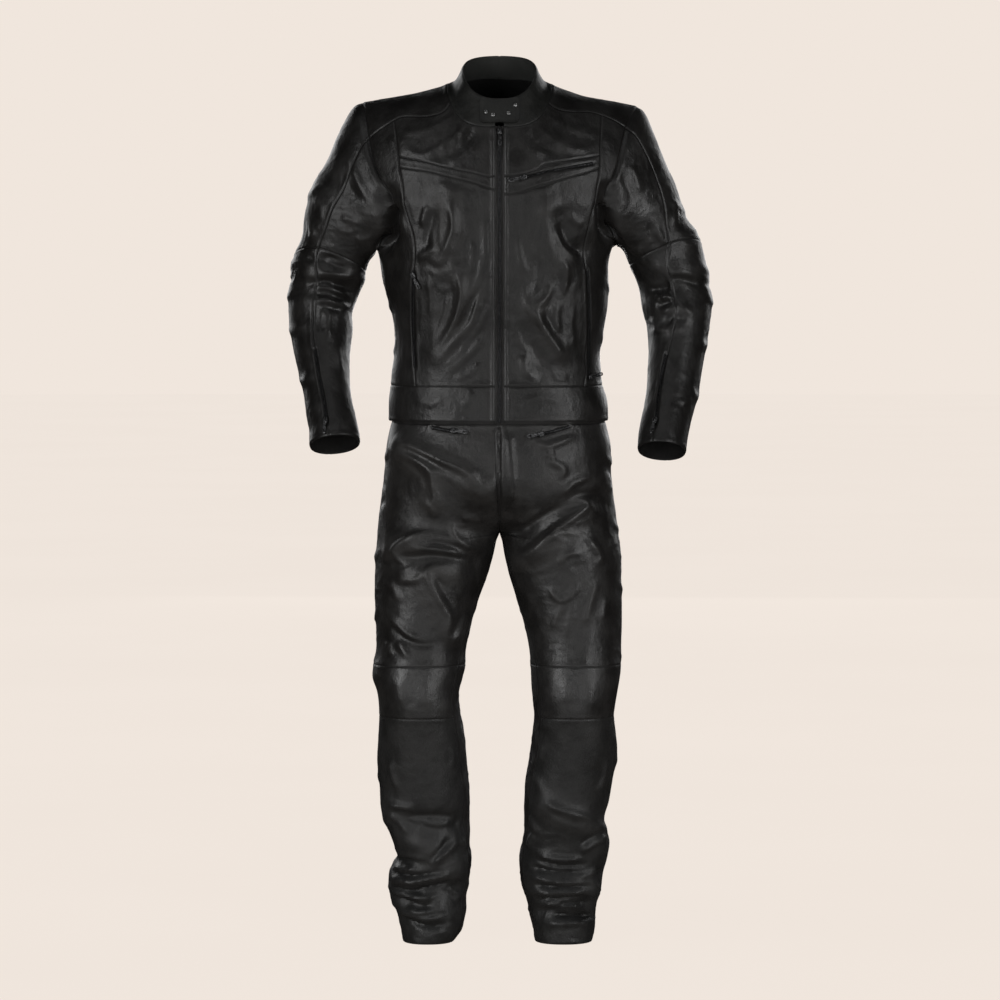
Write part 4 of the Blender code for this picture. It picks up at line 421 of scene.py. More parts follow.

# finer creases, part by part and face by face (1 behind, -1 in front, 2 or -2
# outside on the left or right): width and depth in tenths of a millimetre, how much wider on one
# hand in tenths, and the middle line's places in millimetres
CREASE_ROWS = (
    ("torso", -1, (
        (70, 34, 3, -123, 1293, -130, 1272, -136, 1250),
        (85, 48, 2, -87, 1298, -80, 1272, -80, 1246, -89, 1220, -101, 1196),
        (70, 30, 0, -144, 1201, -132, 1203, -117, 1212, -101, 1220),
        (62, -30, 0, -110, 1289, -118, 1262, -125, 1231, -117, 1213),
        (70, -24, 0, -130, 1193, -103, 1182, -82, 1193),
        (70, 44, 3, -75, 1177, -68, 1158, -65, 1139, -70, 1110, -80, 1082, -106, 1037),
        (62, -24, 0, -87, 1168, -82, 1134, -91, 1089, -113, 1047),
        (70, 39, 3, -25, 1156, -39, 1120, -49, 1087, -75, 1058, -111, 1011),
        (62, -24, 0, -37, 1151, -58, 1096, -82, 1068),
        (70, 30, 2, -25, 1068, -44, 1044, -63, 1025, -101, 992),
        (62, 24, 0, -51, 1127, -34, 1170, -30, 1205),
        (70, -49, 3, 104, 1265, 108, 1244, 115, 1225, 137, 1210, 158, 1212),
        (77, 39, 2, 98, 1251, 108, 1225, 123, 1206, 144, 1198),
        (62, 30, 0, 118, 1279, 129, 1262, 149, 1255),
        (62, 34, 2, 110, 1134, 115, 1155, 115, 1179, 108, 1199),
        (62, 34, 2, 89, 1160, 85, 1141, 77, 1127, 58, 1115),
        (70, 44, 2, 60, 1117, 66, 1096, 77, 1075, 99, 1041, 115, 1013),
        (62, -24, 0, 75, 1113, 89, 1082, 115, 1044),
        (92, 39, 0, 44, 1037, 42, 1018, 47, 1001, 73, 987),
        (62, -24, 0, 56, 1058, 63, 1032, 84, 1010), (70, 24, 0, 104, 1127, 98, 1096, 104, 1066),
        (75, 17, 2, -51, 1434, -65, 1417, -89, 1398, -120, 1381, -151, 1372),
        (75, -15, 0, -37, 1426, -58, 1400, -89, 1379, -123, 1363),
        (75, 15, 2, -27, 1412, -44, 1389, -68, 1369, -103, 1351),
        (75, 15, 0, -172, 1412, -158, 1386, -130, 1369),
        (75, 17, 2, 53, 1434, 70, 1417, 96, 1398, 127, 1386, 160, 1386),
        (75, -15, 0, 42, 1424, 66, 1398, 98, 1381, 136, 1369),
        (75, 15, 2, 32, 1407, 49, 1386, 79, 1369),
        (75, 17, 2, 84, 1441, 115, 1424, 149, 1414, 174, 1408),
        (75, 17, 2, -82, 1441, -113, 1424, -148, 1415, -172, 1414),
        (75, 17, 0, -193, 1412, -175, 1389, -165, 1369),
        (75, 15, 0, -108, 1331, -85, 1317, -51, 1306), (75, 15, 0, 27, 1306, 70, 1317, 104, 1324),
        (70, 20, 0, -155, 958, -120, 947, -92, 961), (70, 20, 0, -65, 940, -51, 958, -58, 972),
        (70, 20, 0, 35, 946, 70, 958, 115, 947), (70, -20, 0, -175, 982, -120, 977, -51, 978),
        (62, -24, 0, -175, 1317, -163, 1282, -151, 1244),
        (62, 24, 0, -186, 1306, -175, 1272, -160, 1234),
        (62, 24, 0, 170, 1291, 163, 1262, 168, 1231), (56, 20, 0, -18, 1120, -34, 1082, -58, 1048),
        (56, 22, 2, -52, 1060, -72, 1032, -98, 1008), (56, 18, 0, -30, 1020, -52, 1000, -80, 988),
        (56, 20, 0, -125, 1170, -118, 1130, -121, 1090),
        (56, -20, 0, -98, 1150, -100, 1110, -112, 1070),
        (56, 18, 0, -50, 1240, -46, 1200, -52, 1160), (70, 16, 0, -30, 1270, -24, 1230, -26, 1185),
        (56, 20, 0, 22, 1100, 32, 1060, 52, 1026), (56, 20, 2, 40, 1160, 46, 1120, 60, 1085),
        (56, -18, 0, 70, 1200, 66, 1165, 58, 1135), (56, 20, 0, 128, 1120, 124, 1080, 130, 1040),
        (56, 18, 0, 30, 1240, 36, 1200, 50, 1165), (56, 20, 0, 90, 1000, 104, 990, 122, 992),
    )),
    ("legs", -1, (
        (70, 43, 3, -189, 883, -151, 874, -105, 852, -56, 831, -32, 804),
        (62, -26, 0, -186, 873, -148, 861, -110, 842, -65, 819, -41, 795),
        (62, 34, 2, -170, 864, -141, 850, -118, 831, -113, 807, -111, 781, -124, 767),
        (55, -21, 0, -175, 854, -148, 840, -129, 821, -125, 795),
        (62, 21, 0, -137, 781, -117, 767, -110, 746), (62, 30, 0, -68, 750, -48, 748, -25, 746),
        (62, 34, 2, -84, 745, -82, 729, -75, 714, -58, 700, -37, 688),
        (62, 47, 3, -103, 726, -131, 724, -155, 715, -174, 703, -182, 689, -172, 674, -155, 669),
        (62, -34, 0, -136, 703, -111, 707, -87, 703, -68, 696, -49, 686),
        (62, -34, 0, -170, 679, -141, 683, -111, 683, -75, 679, -44, 676),
        (62, 34, 2, -165, 693, -131, 695, -92, 691, -61, 681),
        (62, 26, 0, -186, 644, -165, 641, -143, 643, -136, 653, -148, 662),
        (62, 43, 3, -75, 670, -101, 669, -124, 662, -124, 646, -113, 622, -99, 594, -80, 556),
        (55, -26, 0, -103, 657, -103, 636, -89, 608, -75, 581),
        (62, 30, 0, -194, 643, -182, 622, -170, 600),
        (62, 34, 2, -194, 584, -179, 565, -158, 546, -127, 536),
        (62, -26, 0, -193, 570, -172, 546, -137, 529, -92, 536),
        (62, 30, 0, -194, 537, -191, 522, -186, 506), (62, 30, 0, -177, 537, -167, 520, -155, 503),
        (62, 30, 2, -51, 589, -63, 567, -77, 546, -86, 522),
        (55, -21, 0, -65, 587, -77, 563, -89, 539),
        (62, 21, 0, -96, 598, -89, 574, -96, 549, -82, 529),
        (62, 17, 0, -203, 740, -196, 703, -201, 669),
        (62, 38, 2, 60, 885, 79, 874, 105, 880, 136, 892), (62, 30, 2, 77, 855, 86, 861, 98, 864),
        (62, 38, 2, 82, 852, 94, 845, 110, 833, 105, 812),
        (62, 43, 3, 108, 786, 117, 798, 129, 809, 146, 816, 163, 819),
        (62, -30, 0, 111, 781, 141, 790, 170, 791, 191, 788),
        (62, 43, 3, 124, 776, 139, 778, 151, 772, 132, 757, 108, 740, 84, 715, 60, 696, 22, 676),
        (62, -38, 0, 30, 722, 58, 740, 86, 757, 113, 772), (62, 30, 2, 25, 729, 53, 748, 80, 764),
        (62, -26, 0, 27, 689, 53, 707, 79, 729, 101, 748),
        (62, 34, 2, 151, 721, 156, 708, 169, 691, 174, 677, 167, 665),
        (62, 34, 2, 108, 665, 108, 676, 115, 684, 127, 688, 143, 686),
        (62, -21, 0, 120, 667, 136, 664, 156, 669),
        (62, 30, 2, 87, 634, 91, 619, 105, 606, 122, 612, 134, 629, 129, 646),
        (62, 34, 2, 170, 644, 163, 625, 156, 605, 150, 581, 144, 558),
        (62, 30, 0, 186, 615, 182, 593, 179, 568), (55, 21, 0, 113, 601, 101, 581, 91, 556),
        (55, 21, 0, 132, 608, 122, 574, 115, 539), (62, -21, 0, 23, 651, 35, 625, 42, 587),
        (62, 21, 0, 13, 677, 25, 643, 34, 601), (130, 22, 0, -172, 473, -174, 449, -169, 422),
        (130, 22, 0, -125, 470, -129, 446, -131, 418),
        (130, -22, 0, -150, 477, -151, 444, -151, 415), (130, 22, 0, -87, 453, -86, 432, -91, 408),
        (130, 22, 0, 110, 470, 117, 449, 118, 425), (130, 22, 0, 160, 473, 160, 446, 156, 415),
        (130, -22, 0, 137, 477, 139, 444, 137, 411), (130, 22, 0, 72, 415, 79, 397, 75, 377),
        (62, 30, 2, -72, 313, -67, 292, -58, 271, -58, 249, -58, 228, -67, 207, -75, 190),
        (62, 43, 2, -68, 186, -60, 173, -51, 152), (55, 21, 0, -86, 352, -79, 332, -86, 304),
        (62, 34, 2, 58, 370, 67, 356, 70, 342, 63, 325, 54, 309, 65, 290, 75, 269, 87, 250),
        (62, 38, 2, 48, 228, 56, 211, 70, 190), (62, 38, 2, 61, 197, 53, 183, 44, 166),
        (62, 49, 2, -200, 243, -172, 243, -146, 240),
        (62, -49, 0, -170, 226, -137, 228, -103, 228, -72, 226),
        (62, 38, 2, -137, 214, -103, 212, -75, 214), (62, 49, 2, -196, 235, -175, 216, -153, 193),
        (62, 30, 2, -201, 271, -189, 252, -169, 242),
        (54, 45, 2, -69, 190, -84, 173, -106, 155, -116, 138),
        (52, -45, 0, -84, 190, -103, 169, -125, 148), (54, 45, 0, -194, 138, -169, 131, -142, 135),
        (52, -73, 0, -163, 95, -120, 103, -79, 112),
        (54, 45, 2, -201, 114, -160, 109, -119, 117, -77, 128),
        (54, 45, 2, -197, 91, -163, 83, -127, 83, -90, 90),
        (52, -57, 0, -180, 71, -143, 65, -112, 74), (54, 40, 0, -166, 67, -141, 57, -114, 60),
        (55, 38, 0, -92, 100, -75, 90, -68, 72),
        (62, 49, 2, 77, 257, 94, 247, 111, 240, 139, 231, 167, 218),
        (62, -30, 0, 84, 240, 115, 224, 150, 214), (54, 45, 2, 139, 162, 167, 178, 195, 192),
        (62, -38, 0, 139, 176, 160, 190, 181, 200),
        (54, 45, 2, 47, 124, 84, 114, 125, 109, 176, 110), (52, -57, 0, 49, 138, 97, 129, 151, 128),
        (54, 45, 2, 45, 95, 79, 88, 115, 88, 152, 97),
        (52, -73, 0, 57, 76, 94, 83, 130, 84, 163, 79),
        (54, 45, 2, 54, 62, 86, 69, 122, 67, 159, 62),
        (46, -95, 2, 88, 52, 115, 50, 150, 48, 186, 46), (54, 40, 0, 72, 36, 122, 38, 172, 36),
    )),
    ("sleeves", -1, (
        (70, -37, 0, -342, 1203, -321, 1196, -295, 1199, -267, 1192),
        (62, 34, 2, -319, 1116, -324, 1095, -326, 1074, -324, 1048, -317, 1025),
        (58, -26, 0, -309, 1112, -312, 1088, -309, 1064),
        (58, 26, 0, -295, 1109, -298, 1084, -293, 1057),
        (55, 21, 0, -284, 1048, -277, 1022, -270, 990),
        (62, 21, 0, -276, 1274, -256, 1262, -236, 1258),
        (70, 26, 2, -269, 1378, -256, 1356, -242, 1324, -222, 1289),
        (70, -21, 0, -277, 1352, -260, 1321, -239, 1293),
        (62, 21, 0, -326, 1309, -312, 1286, -312, 1258),
        (62, 26, 2, -336, 1262, -326, 1246, -328, 1229),
        (62, 21, 0, -288, 1251, -263, 1244, -239, 1251),
        (62, 26, 0, -256, 1237, -236, 1230, -218, 1237),
        (62, 30, 2, 270, 1256, 279, 1234, 289, 1213), (62, -21, 0, 258, 1262, 265, 1234, 279, 1210),
        (62, 26, 2, 300, 1300, 307, 1276, 300, 1248), (62, 26, 2, 317, 1230, 331, 1220, 345, 1230),
        (68, 34, 2, 286, 1163, 303, 1171, 324, 1170, 355, 1159),
        (60, -42, 0, 286, 1152, 307, 1163, 331, 1159, 355, 1149),
        (68, 34, 2, 270, 1126, 286, 1130, 300, 1130), (60, -42, 0, 258, 1140, 279, 1145, 300, 1149),
        (68, 34, 2, 282, 1097, 293, 1107, 307, 1114, 324, 1107, 345, 1091),
        (60, -42, 0, 286, 1081, 303, 1095, 324, 1090), (68, 34, 2, 274, 1074, 293, 1072, 321, 1079),
        (60, 34, 0, 262, 1095, 272, 1081, 276, 1064), (62, 26, 2, 312, 944, 324, 951, 335, 954),
        (55, 21, 0, 293, 1057, 289, 1036, 296, 1015), (70, 26, 2, 227, 1361, 237, 1335, 244, 1307),
        (70, -21, 0, 213, 1343, 223, 1317, 234, 1289), (62, 26, 2, 196, 1256, 213, 1237, 227, 1213),
        (62, 26, 2, 237, 1220, 248, 1203, 244, 1182),
    )),
    ("torso", 1, (
        (84, 30, 2, -175, 1330, -150, 1300, -128, 1262, -118, 1222),
        (70, -25, 0, -160, 1345, -134, 1312, -112, 1276),
        (84, 30, 2, 178, 1336, 150, 1306, 130, 1270, 121, 1232),
        (70, -25, 0, 158, 1352, 138, 1322, 110, 1284),
        (84, 34, 2, -172, 1075, -120, 1052, -50, 1040, 10, 1044),
        (70, -30, 0, -160, 1055, -100, 1030, -30, 1022),
        (84, 34, 2, 176, 1082, 126, 1060, 70, 1046), (70, -30, 0, 168, 1060, 110, 1036, 40, 1030),
        (70, 30, 2, -150, 1170, -120, 1140, -104, 1100),
        (70, 30, 2, 146, 1176, 118, 1146, 98, 1104), (70, 26, 0, -60, 1240, -40, 1190, -46, 1130),
        (70, 24, 0, 52, 1262, 36, 1204, 44, 1150), (84, 24, 0, -110, 1405, -80, 1384, -46, 1376),
        (84, 24, 0, 108, 1410, 76, 1388, 44, 1381),
    )),
    ("legs", 1, (
        (84, 45, 2, -205, 500, -150, 482, -90, 490), (70, -40, 0, -200, 470, -150, 458, -85, 466),
        (84, 40, 2, -195, 448, -140, 436, -90, 442), (84, 45, 2, 200, 498, 146, 478, 85, 488),
        (70, -40, 0, 196, 468, 146, 454, 80, 464), (84, 40, 2, 190, 444, 136, 434, 84, 440),
        (84, 35, 2, -170, 742, -110, 726, -50, 740), (84, 35, 2, 168, 738, 112, 724, 52, 738),
    )),
    ("legs", 2, (
        (85, 24, 2, -70, 858, -20, 842, 50, 850), (85, -21, 0, -60, 836, 0, 822, 60, 834),
        (85, 24, 2, -60, 742, 0, 722, 60, 730), (85, 21, 0, -60, 640, -10, 618, 50, 626),
        (85, 25, 2, -50, 510, 10, 492, 70, 502), (85, -23, 0, -40, 482, 20, 466, 70, 474),
        (85, 21, 0, -50, 330, 10, 310, 60, 318), (85, 24, 2, -60, 212, 0, 196, 60, 206),
        (85, -23, 0, -60, 136, 0, 122, 60, 130), (85, 24, 2, -60, 94, 0, 82, 60, 92),
    )),
    ("legs", -2, (
        (85, 24, 2, -64, 868, -10, 850, 56, 862), (85, -21, 0, -60, 782, 0, 764, 60, 776),
        (85, 24, 2, -60, 690, 0, 672, 60, 684), (85, 21, 0, -60, 592, -10, 570, 50, 580),
        (85, 25, 2, -50, 502, 10, 486, 70, 496), (85, -23, 0, -40, 470, 20, 454, 70, 462),
        (85, 21, 0, -50, 300, 10, 284, 60, 290), (85, 24, 2, -60, 226, 0, 210, 60, 220),
        (85, -23, 0, -60, 118, 0, 106, 60, 116), (85, 24, 2, -60, 80, 0, 68, 60, 76),
    )),
    ("sleeves", 2, (
        (85, 23, 2, -40, 1300, 10, 1280, 60, 1292), (85, 25, 2, -30, 1188, 30, 1172, 85, 1182),
        (68, -25, 0, -30, 1160, 30, 1148, 85, 1158), (85, 25, 2, -30, 1136, 20, 1120, 75, 1130),
        (85, 21, 0, -60, 1060, -10, 1044, 40, 1056), (85, 21, 0, -90, 970, -50, 956, 0, 964),
    )),
    ("sleeves", -2, (
        (85, 23, 2, -40, 1330, 10, 1306, 60, 1318), (85, 25, 2, -30, 1196, 30, 1182, 85, 1190),
        (68, -25, 0, -30, 1172, 30, 1158, 85, 1166), (85, 25, 2, -30, 1146, 20, 1130, 75, 1140),
        (85, 21, 0, -60, 1086, -10, 1070, 40, 1080), (85, 21, 0, -90, 1000, -50, 984, 0, 992),
    )),
    ("torso", 2, (
        (85, 21, 0, -50, 1160, 0, 1142, 50, 1150), (85, 21, 0, -40, 1070, 10, 1050, 60, 1062),
    )),
    ("torso", -2, (
        (85, 21, 0, -50, 1130, 0, 1112, 50, 1124), (85, 21, 0, -40, 1050, 10, 1034, 60, 1042),
    )),
    ("legs", -1, (
        (54, 42, 2, -200, 150, -160, 157, -118, 150), (52, -60, 0, -194, 128, -151, 122, -98, 132),
        (54, 38, 0, -190, 62, -140, 46, -88, 50), (52, -54, 0, -179, 50, -129, 34, -87, 36),
        (54, 42, 2, 58, 160, 103, 150, 154, 152), (52, -60, 0, 53, 108, 103, 102, 163, 104),
        (54, 38, 0, 178, 138, 157, 124, 128, 118), (50, 34, 2, -192, 330, -186, 298, -176, 270),
        (50, 34, 2, 188, 330, 182, 296, 170, 268), (48, -58, 0, -200, 100, -165, 96, -130, 90),
        (46, -52, 0, -190, 82, -160, 74, -125, 70), (46, -50, 0, 95, 66, 125, 74, 172, 70),
        (48, -48, 0, 62, 150, 105, 140, 160, 142),
    )),
    ("sleeves", -1, (
        (64, 34, 2, -336, 1158, -305, 1171, -270, 1168, -244, 1173),
        (58, -42, 0, -340, 1149, -310, 1158, -280, 1152, -250, 1139),
        (58, 34, 2, -338, 1141, -308, 1148, -280, 1139, -253, 1127),
        (58, -42, 0, -332, 1133, -305, 1137, -280, 1128, -250, 1117),
        (58, 34, 2, -327, 1122, -302, 1125, -280, 1118, -256, 1108),
        (58, -42, 0, -320, 1113, -297, 1113, -272, 1105),
        (60, -42, 0, -318, 1196, -290, 1186, -262, 1178),
        (58, -42, 0, 274, 1137, 288, 1147, 297, 1157), (58, 34, 2, 281, 1127, 292, 1131, 306, 1124),
        (58, -42, 0, 273, 1112, 288, 1118, 303, 1122),
    )),
)
CREASES = [(part, face, width / 10000, depth / 10000, lean / 10, np.reshape(line, (-1, 2)) / 1000)
           for part, face, rows in CREASE_ROWS for width, depth, lean, *line in rows]

# the backs of the limbs crease much as the other limb's front does, but not behind the knee
KNEE_BAND = (0.370, 0.530)
BACK_SHARE = 0.8
CREASES += [(part, 1, width, BACK_SHARE * depth, lean, line * (-1, 1))
            for part, face, width, depth, lean, line in CREASES
            if face == -1 and part != "torso" and not KNEE_BAND[0] < line[0][1] < KNEE_BAND[1]]

# ---- what is laid on the leather: x and height in front of the suit, sides as the suit shows them

# strips: their lift off the leather and how far they sink back, the grid's spacing, and how many
# rows each way are averaged for a row's direction and places
TRIM_LIFT = 0.0008
TRIM_SINK = 0.5
TRIM_SPACING = 0.004
STRIP_SAMPLES = 200
STRIP_HALF = 0.001
SOFT_FACING, SOFT_SPOTS = 3, 1
CLEARANCE = 0.0003

# laid zips: a slider stands as high as on the solid's zip, and the tape is lower; its crown falls
# from the first share of the half width, over the second
ZIP_THICKNESS = 0.0012
ZIP_CROWN = 0.0008
ON_ZIP = TRIM_LIFT + ZIP_THICKNESS + ZIP_CROWN
ON_FRONT_ZIP = 0.0004
TAPE_HALF = 0.0027
TAPE_COLUMNS = 9
TAPE_THICKNESS = 0.0009
TAPE_RISE = ZIP_CROWN * 0.4
TAPE_CROWN = (0.25, 0.3)

# the collar's tab: its place on the collar, its rows and columns and how far they reach, and the
# relief inside its edge
TAB_HALF_WIDTH = 0.034
TAB_LOW, TAB_HIGH = 0.12, 0.96
TAB_THICKNESS = 0.0015
TAB_ROUND = 0.22
TAB_CORNER_POWER = 5
TAB_GRID = (25, 45)
TAB_SIZE = (0.045, 0.068)
TAB_TURN = 1.1
TAB_SAMPLES = 441
TAB_STEP = 1e-4
TAB_RELIEF = ((0.0, 0.0035, 0.0007), (0.0045, 0.001, -0.0004))
TAB_WAVE = 0.0006
TAB_GRAIN = (0.014, 2.2)
TAB_INSET = 2

# a press stud from its foot to the middle of its cap: radius and height
STUD_SIDES = 32
STUD_PROFILE = ((0.0034, 0.0), (0.0037, 0.0005), (0.0035, 0.0011), (0.0029, 0.0014),
                (0.0026, 0.0012), (0.0021, 0.0015), (0.0012, 0.0018), (0.0004, 0.0019))

# a slider: half length, half width, sides and roundness of its body, pull and eyelet; the levels as
# growth and height, and for the pull as growth, shift and height; the bridge is a bent rod
SLIDER_REACH = (0.004, 0.006)
SLIDER_BODY = (0.0062, 0.0043, 28, 0.7)
BODY_LEVELS = ((0.86, 0.0), (1.0, 0.0005), (1.0, 0.0017), (0.9, 0.0023), (0.55, 0.0026))
BRIDGE_RINGS, BRIDGE_SIDES = 12, 10
BRIDGE_MIDDLE = (0.0005, 0.0016)
BRIDGE_REACH = (0.0050, 0.0024)
BRIDGE_HALF = (0.0007, 0.0011)
PULL = (0.0105, 0.0033, 36, 0.55)
PULL_AHEAD = 0.0155
PULL_LIFT = 0.0012
PULL_NECK = 0.72
PULL_SWELL = (0.006, 0.012)
PULL_LEVELS = ((0.985, 0.0002, 0.0), (1.0, 0.0, 0.0003), (1.0, 0.0, 0.0010), (0.97, 0.0004, 0.0013))
EYELET = (0.0032, 0.0014, 36, 0.8)
EYELET_AHEAD = 0.0205

# the fly's strip, thinner outside FLY_EDGE, and which of its columns are stitched
FLY_THICKNESS = 0.0013
FLY_COLUMNS = 13
FLY_EDGE = 0.75
FLY_THINNING = 0.35
FLY_HALF_MARK = 14.0
FLY_STITCHED = (2, 10)

ZIPS = {
    "chest_zip": ((0.0330, 1.3345), (0.0410, 1.3368), (0.0795, 1.3462), (0.1320, 1.3562),
                  (0.1620, 1.3615)),
    "hand_pocket_zip_right": ((-0.1475, 1.1750), (-0.1495, 1.1200), (-0.1485, 1.0600),
                              (-0.1460, 1.0080)),
    "hand_pocket_zip_left": ((0.1515, 1.1780), (0.1545, 1.1200), (0.1550, 1.0500),
                             (0.1550, 0.9860)),
    "cuff_zip_right": ((-0.3200, 1.0410), (-0.3130, 0.9960), (-0.3020, 0.9450), (-0.2980, 0.9130)),
    "cuff_zip_left": ((0.2890, 1.0320), (0.2820, 1.0000), (0.2770, 0.9710), (0.2690, 0.9100)),
    "hip_pocket_zip_right": ((-0.1180, 0.9060), (-0.0900, 0.9010), (-0.0660, 0.8990)),
    "hip_pocket_zip_left": ((0.0530, 0.8910), (0.0900, 0.8990), (0.1220, 0.9075)),
}

# where each slider stands, which way its pull points, and how high its zip lifts it
SLIDERS = (
    ("front_slider", 0.0005, 1.4165, -90, ON_FRONT_ZIP),
    ("chest_slider", 0.0410, 1.3370, -166, ON_ZIP),
    ("hand_pocket_slider_right", -0.1475, 1.1690, -62, ON_ZIP),
    ("hand_pocket_slider_left", 0.1550, 0.9920, 12, ON_ZIP),
    ("cuff_slider_right", -0.2985, 0.9180, -86, ON_ZIP),
    ("cuff_slider_left", 0.2700, 0.9170, -97, ON_ZIP),
    ("hip_pocket_slider_right", -0.0790, 0.9000, -10, ON_ZIP),
    ("hip_pocket_slider_left", 0.0710, 0.8950, -170, ON_ZIP),
)

# the studs' places as x and height
STUDS = ((-0.0230, 1.4500), (-0.0110, 1.4450), (0.0160, 1.4480), (0.0270, 1.4620))

# the fly's covering strip: middle line and half width, from the hem down
FLY = table("x height half", (
    (0.0010, 0.9080, 0.0100), (0.0060, 0.8700, 0.0135), (0.0085, 0.8300, 0.0150),
    (0.0110, 0.7950, 0.0150), (0.0080, 0.7750, 0.0120), (0.0030, 0.7620, 0.0060),
))

# the stitched curve beside the fly
FLY_STITCH = ((0.0125, 0.9040), (0.0190, 0.8650), (0.0240, 0.8260), (0.0270, 0.7900),
              (0.0180, 0.7680), (0.0060, 0.7560))


# ---------------------------------------------------------------- curves

def spline(at, knots, values):
    """A smooth curve through the rows of a table, worked out at one or many places."""
    slopes = np.gradient(values, knots, axis=0)
    at = np.clip(np.asarray(at, float), knots[0], knots[-1])
    i = np.clip(np.searchsorted(knots, at) - 1, 0, len(knots) - 2)
    step = np.asarray(knots[i + 1] - knots[i], float)
    t = (at - knots[i]) / step
    if values.ndim > 1:
        step, t = step[..., None], t[..., None]
    return (values[i] * (1 + 2 * t) * (1 - t) ** 2 + slopes[i] * step * t * (1 - t) ** 2
            + values[i + 1] * t ** 2 * (3 - 2 * t) + slopes[i + 1] * step * t ** 2 * (t - 1))


def read(rows, at, *columns):
    """A table's named columns as smooth curves over its first column."""
    knots = next(iter(rows.values()))
    return [spline(at, knots, rows[name]) for name in columns]


def between(places, knots, values):
    """Rows of values joined by straight lines, worked out at one or many places."""
    return np.stack([np.interp(places, knots, column) for column in values.T], axis=-1)


def distances(points):
    """How far along its line each point is."""
    return np.concatenate([[0.0], np.cumsum(np.linalg.norm(np.diff(points, axis=0), axis=1))])


def unit(vectors):
    """Vectors with a length of one."""
    return vectors / np.maximum(np.linalg.norm(vectors, axis=-1, keepdims=True), SMALLEST)


def pairs(first, second):
    """Places on a surface from their two coordinates, either of which may be one number."""
    both = np.broadcast_arrays(np.asarray(first, float), np.asarray(second, float))
    return np.stack(both, axis=-1)


def even(curve, start, end, steps):
    """Places along a curve that divide its length evenly."""
    fine = np.linspace(start, end, CURVE_SAMPLES)
    run = distances(curve(fine))
    return np.interp(np.linspace(0.0, run[-1], steps + 1), run, fine)


def route(surface, controls, steps, bend=None):
    """Evenly spaced places on a surface, along a smooth line through a few given places.

    With a bend, that numbered place is met after BEND_SHARE of the steps.
    """
    controls = np.array(controls, float)
    knots = np.arange(len(controls), dtype=float)

    def line(t):
        return spline(t, knots, controls)

    def stops(start, end, count):
        return even(lambda t: surface(*line(t).T), start, end, count)

    if bend is None:
        return line(stops(0.0, knots[-1], steps))
    before = int(round(steps * BEND_SHARE))
    return line(np.concatenate([stops(0.0, bend, before),
                                stops(bend, knots[-1], steps - before)[1:]]))


def chain(*pieces):
    """Stretches of seam joined end to end."""
    return np.vstack([pieces[0]] + [piece[1:] for piece in pieces[1:]])


def signed_power(value, power):
    """A power that keeps its value's sign."""
    return np.sign(value) * np.abs(value) ** power


# ---------------------------------------------------------------- the jacket's body

def ridge_height(x):
    """The shoulder line's height; the left shoulder hangs a little lower."""
    x = np.asarray(x, float)
    return np.where(x > 0, *read(RIDGE, np.abs(x), "left", "right"))


def torso(w, p):
    """w goes round: 0 centre front, 1 left side, 2 centre back, -1 right side.  p goes up: the
    height as far as the chest, then over the dome of the shoulders to their ridge."""
    w, p = np.broadcast_arrays(np.asarray(w, float), np.asarray(p, float))
    low = np.minimum(p, CHEST_HEIGHT)
    across = signed_power(np.sin(w * math.pi / 2), TORSO_POWER)
    along = signed_power(np.cos(w * math.pi / 2), TORSO_POWER)
    left, right, front, back = read(TORSO, low, "left", "right", "front", "back")
    x = across * np.where(across >= 0, left, right)
    y = -along * np.where(along >= 0, front, back)
    t = np.clip((p - CHEST_HEIGHT) / DOME_LENGTH, 0.0, 1.0)
    z = low + (ridge_height(x) - CHEST_HEIGHT) * np.sin(t * math.pi / 2)
    y = SHOULDER_LINE_Y + (y - SHOULDER_LINE_Y) * np.cos(t * math.pi / 2) ** DOME_POWER
    return np.stack([x, y, z], axis=-1)


def torso_girth(x, height, back=False):
    """The w of a place at a given x."""
    left, right = read(TORSO, np.minimum(height, CHEST_HEIGHT), "left", "right")
    share = np.clip(np.abs(x) / np.where(np.asarray(x) >= 0, left, right), 0.0, 1.0)
    w = np.arcsin(share ** (1 / TORSO_POWER)) * 2 / math.pi
    return np.where(np.asarray(x) < 0, -1.0, 1.0) * np.where(back, 2.0 - w, w)


def torso_at(x, z, back=False):
    """The (w, p) of the place whose x and height are given, on the front or the back."""
    x, z = np.asarray(x, float), np.asarray(z, float)
    rise = np.clip((z - CHEST_HEIGHT) / (ridge_height(x) - CHEST_HEIGHT), 0.0, 1.0)
    p = np.where(z < CHEST_HEIGHT, z, CHEST_HEIGHT + DOME_LENGTH * np.arcsin(rise) * 2 / math.pi)
    return pairs(torso_girth(x, z, back), p)


def shoulder(x, q):
    """The same surface over the shoulders: q is -1 at the chest in front, 0 on the ridge and 1 at
    the chest behind."""
    x, q = np.broadcast_arrays(np.asarray(x, float), np.asarray(q, float))
    w = torso_girth(x, np.full(x.shape, CHEST_HEIGHT), q > 0)
    return torso(w, CHEST_HEIGHT + (1 - np.abs(q)) * DOME_LENGTH)


def to_shoulder(places):
    """Places given as (w, p) as (x, q)."""
    q = 1 - (places[:, 1] - CHEST_HEIGHT) / DOME_LENGTH
    return pairs(torso(*places.T)[:, 0], np.where(np.abs(places[:, 0]) > 1, q, -q))


def to_torso(places):
    """Places given as (x, q) as (w, p)."""
    x, q = places.T
    return pairs(torso_girth(x, np.full(len(x), CHEST_HEIGHT), q > 0),
                 CHEST_HEIGHT + (1 - np.abs(q)) * DOME_LENGTH)


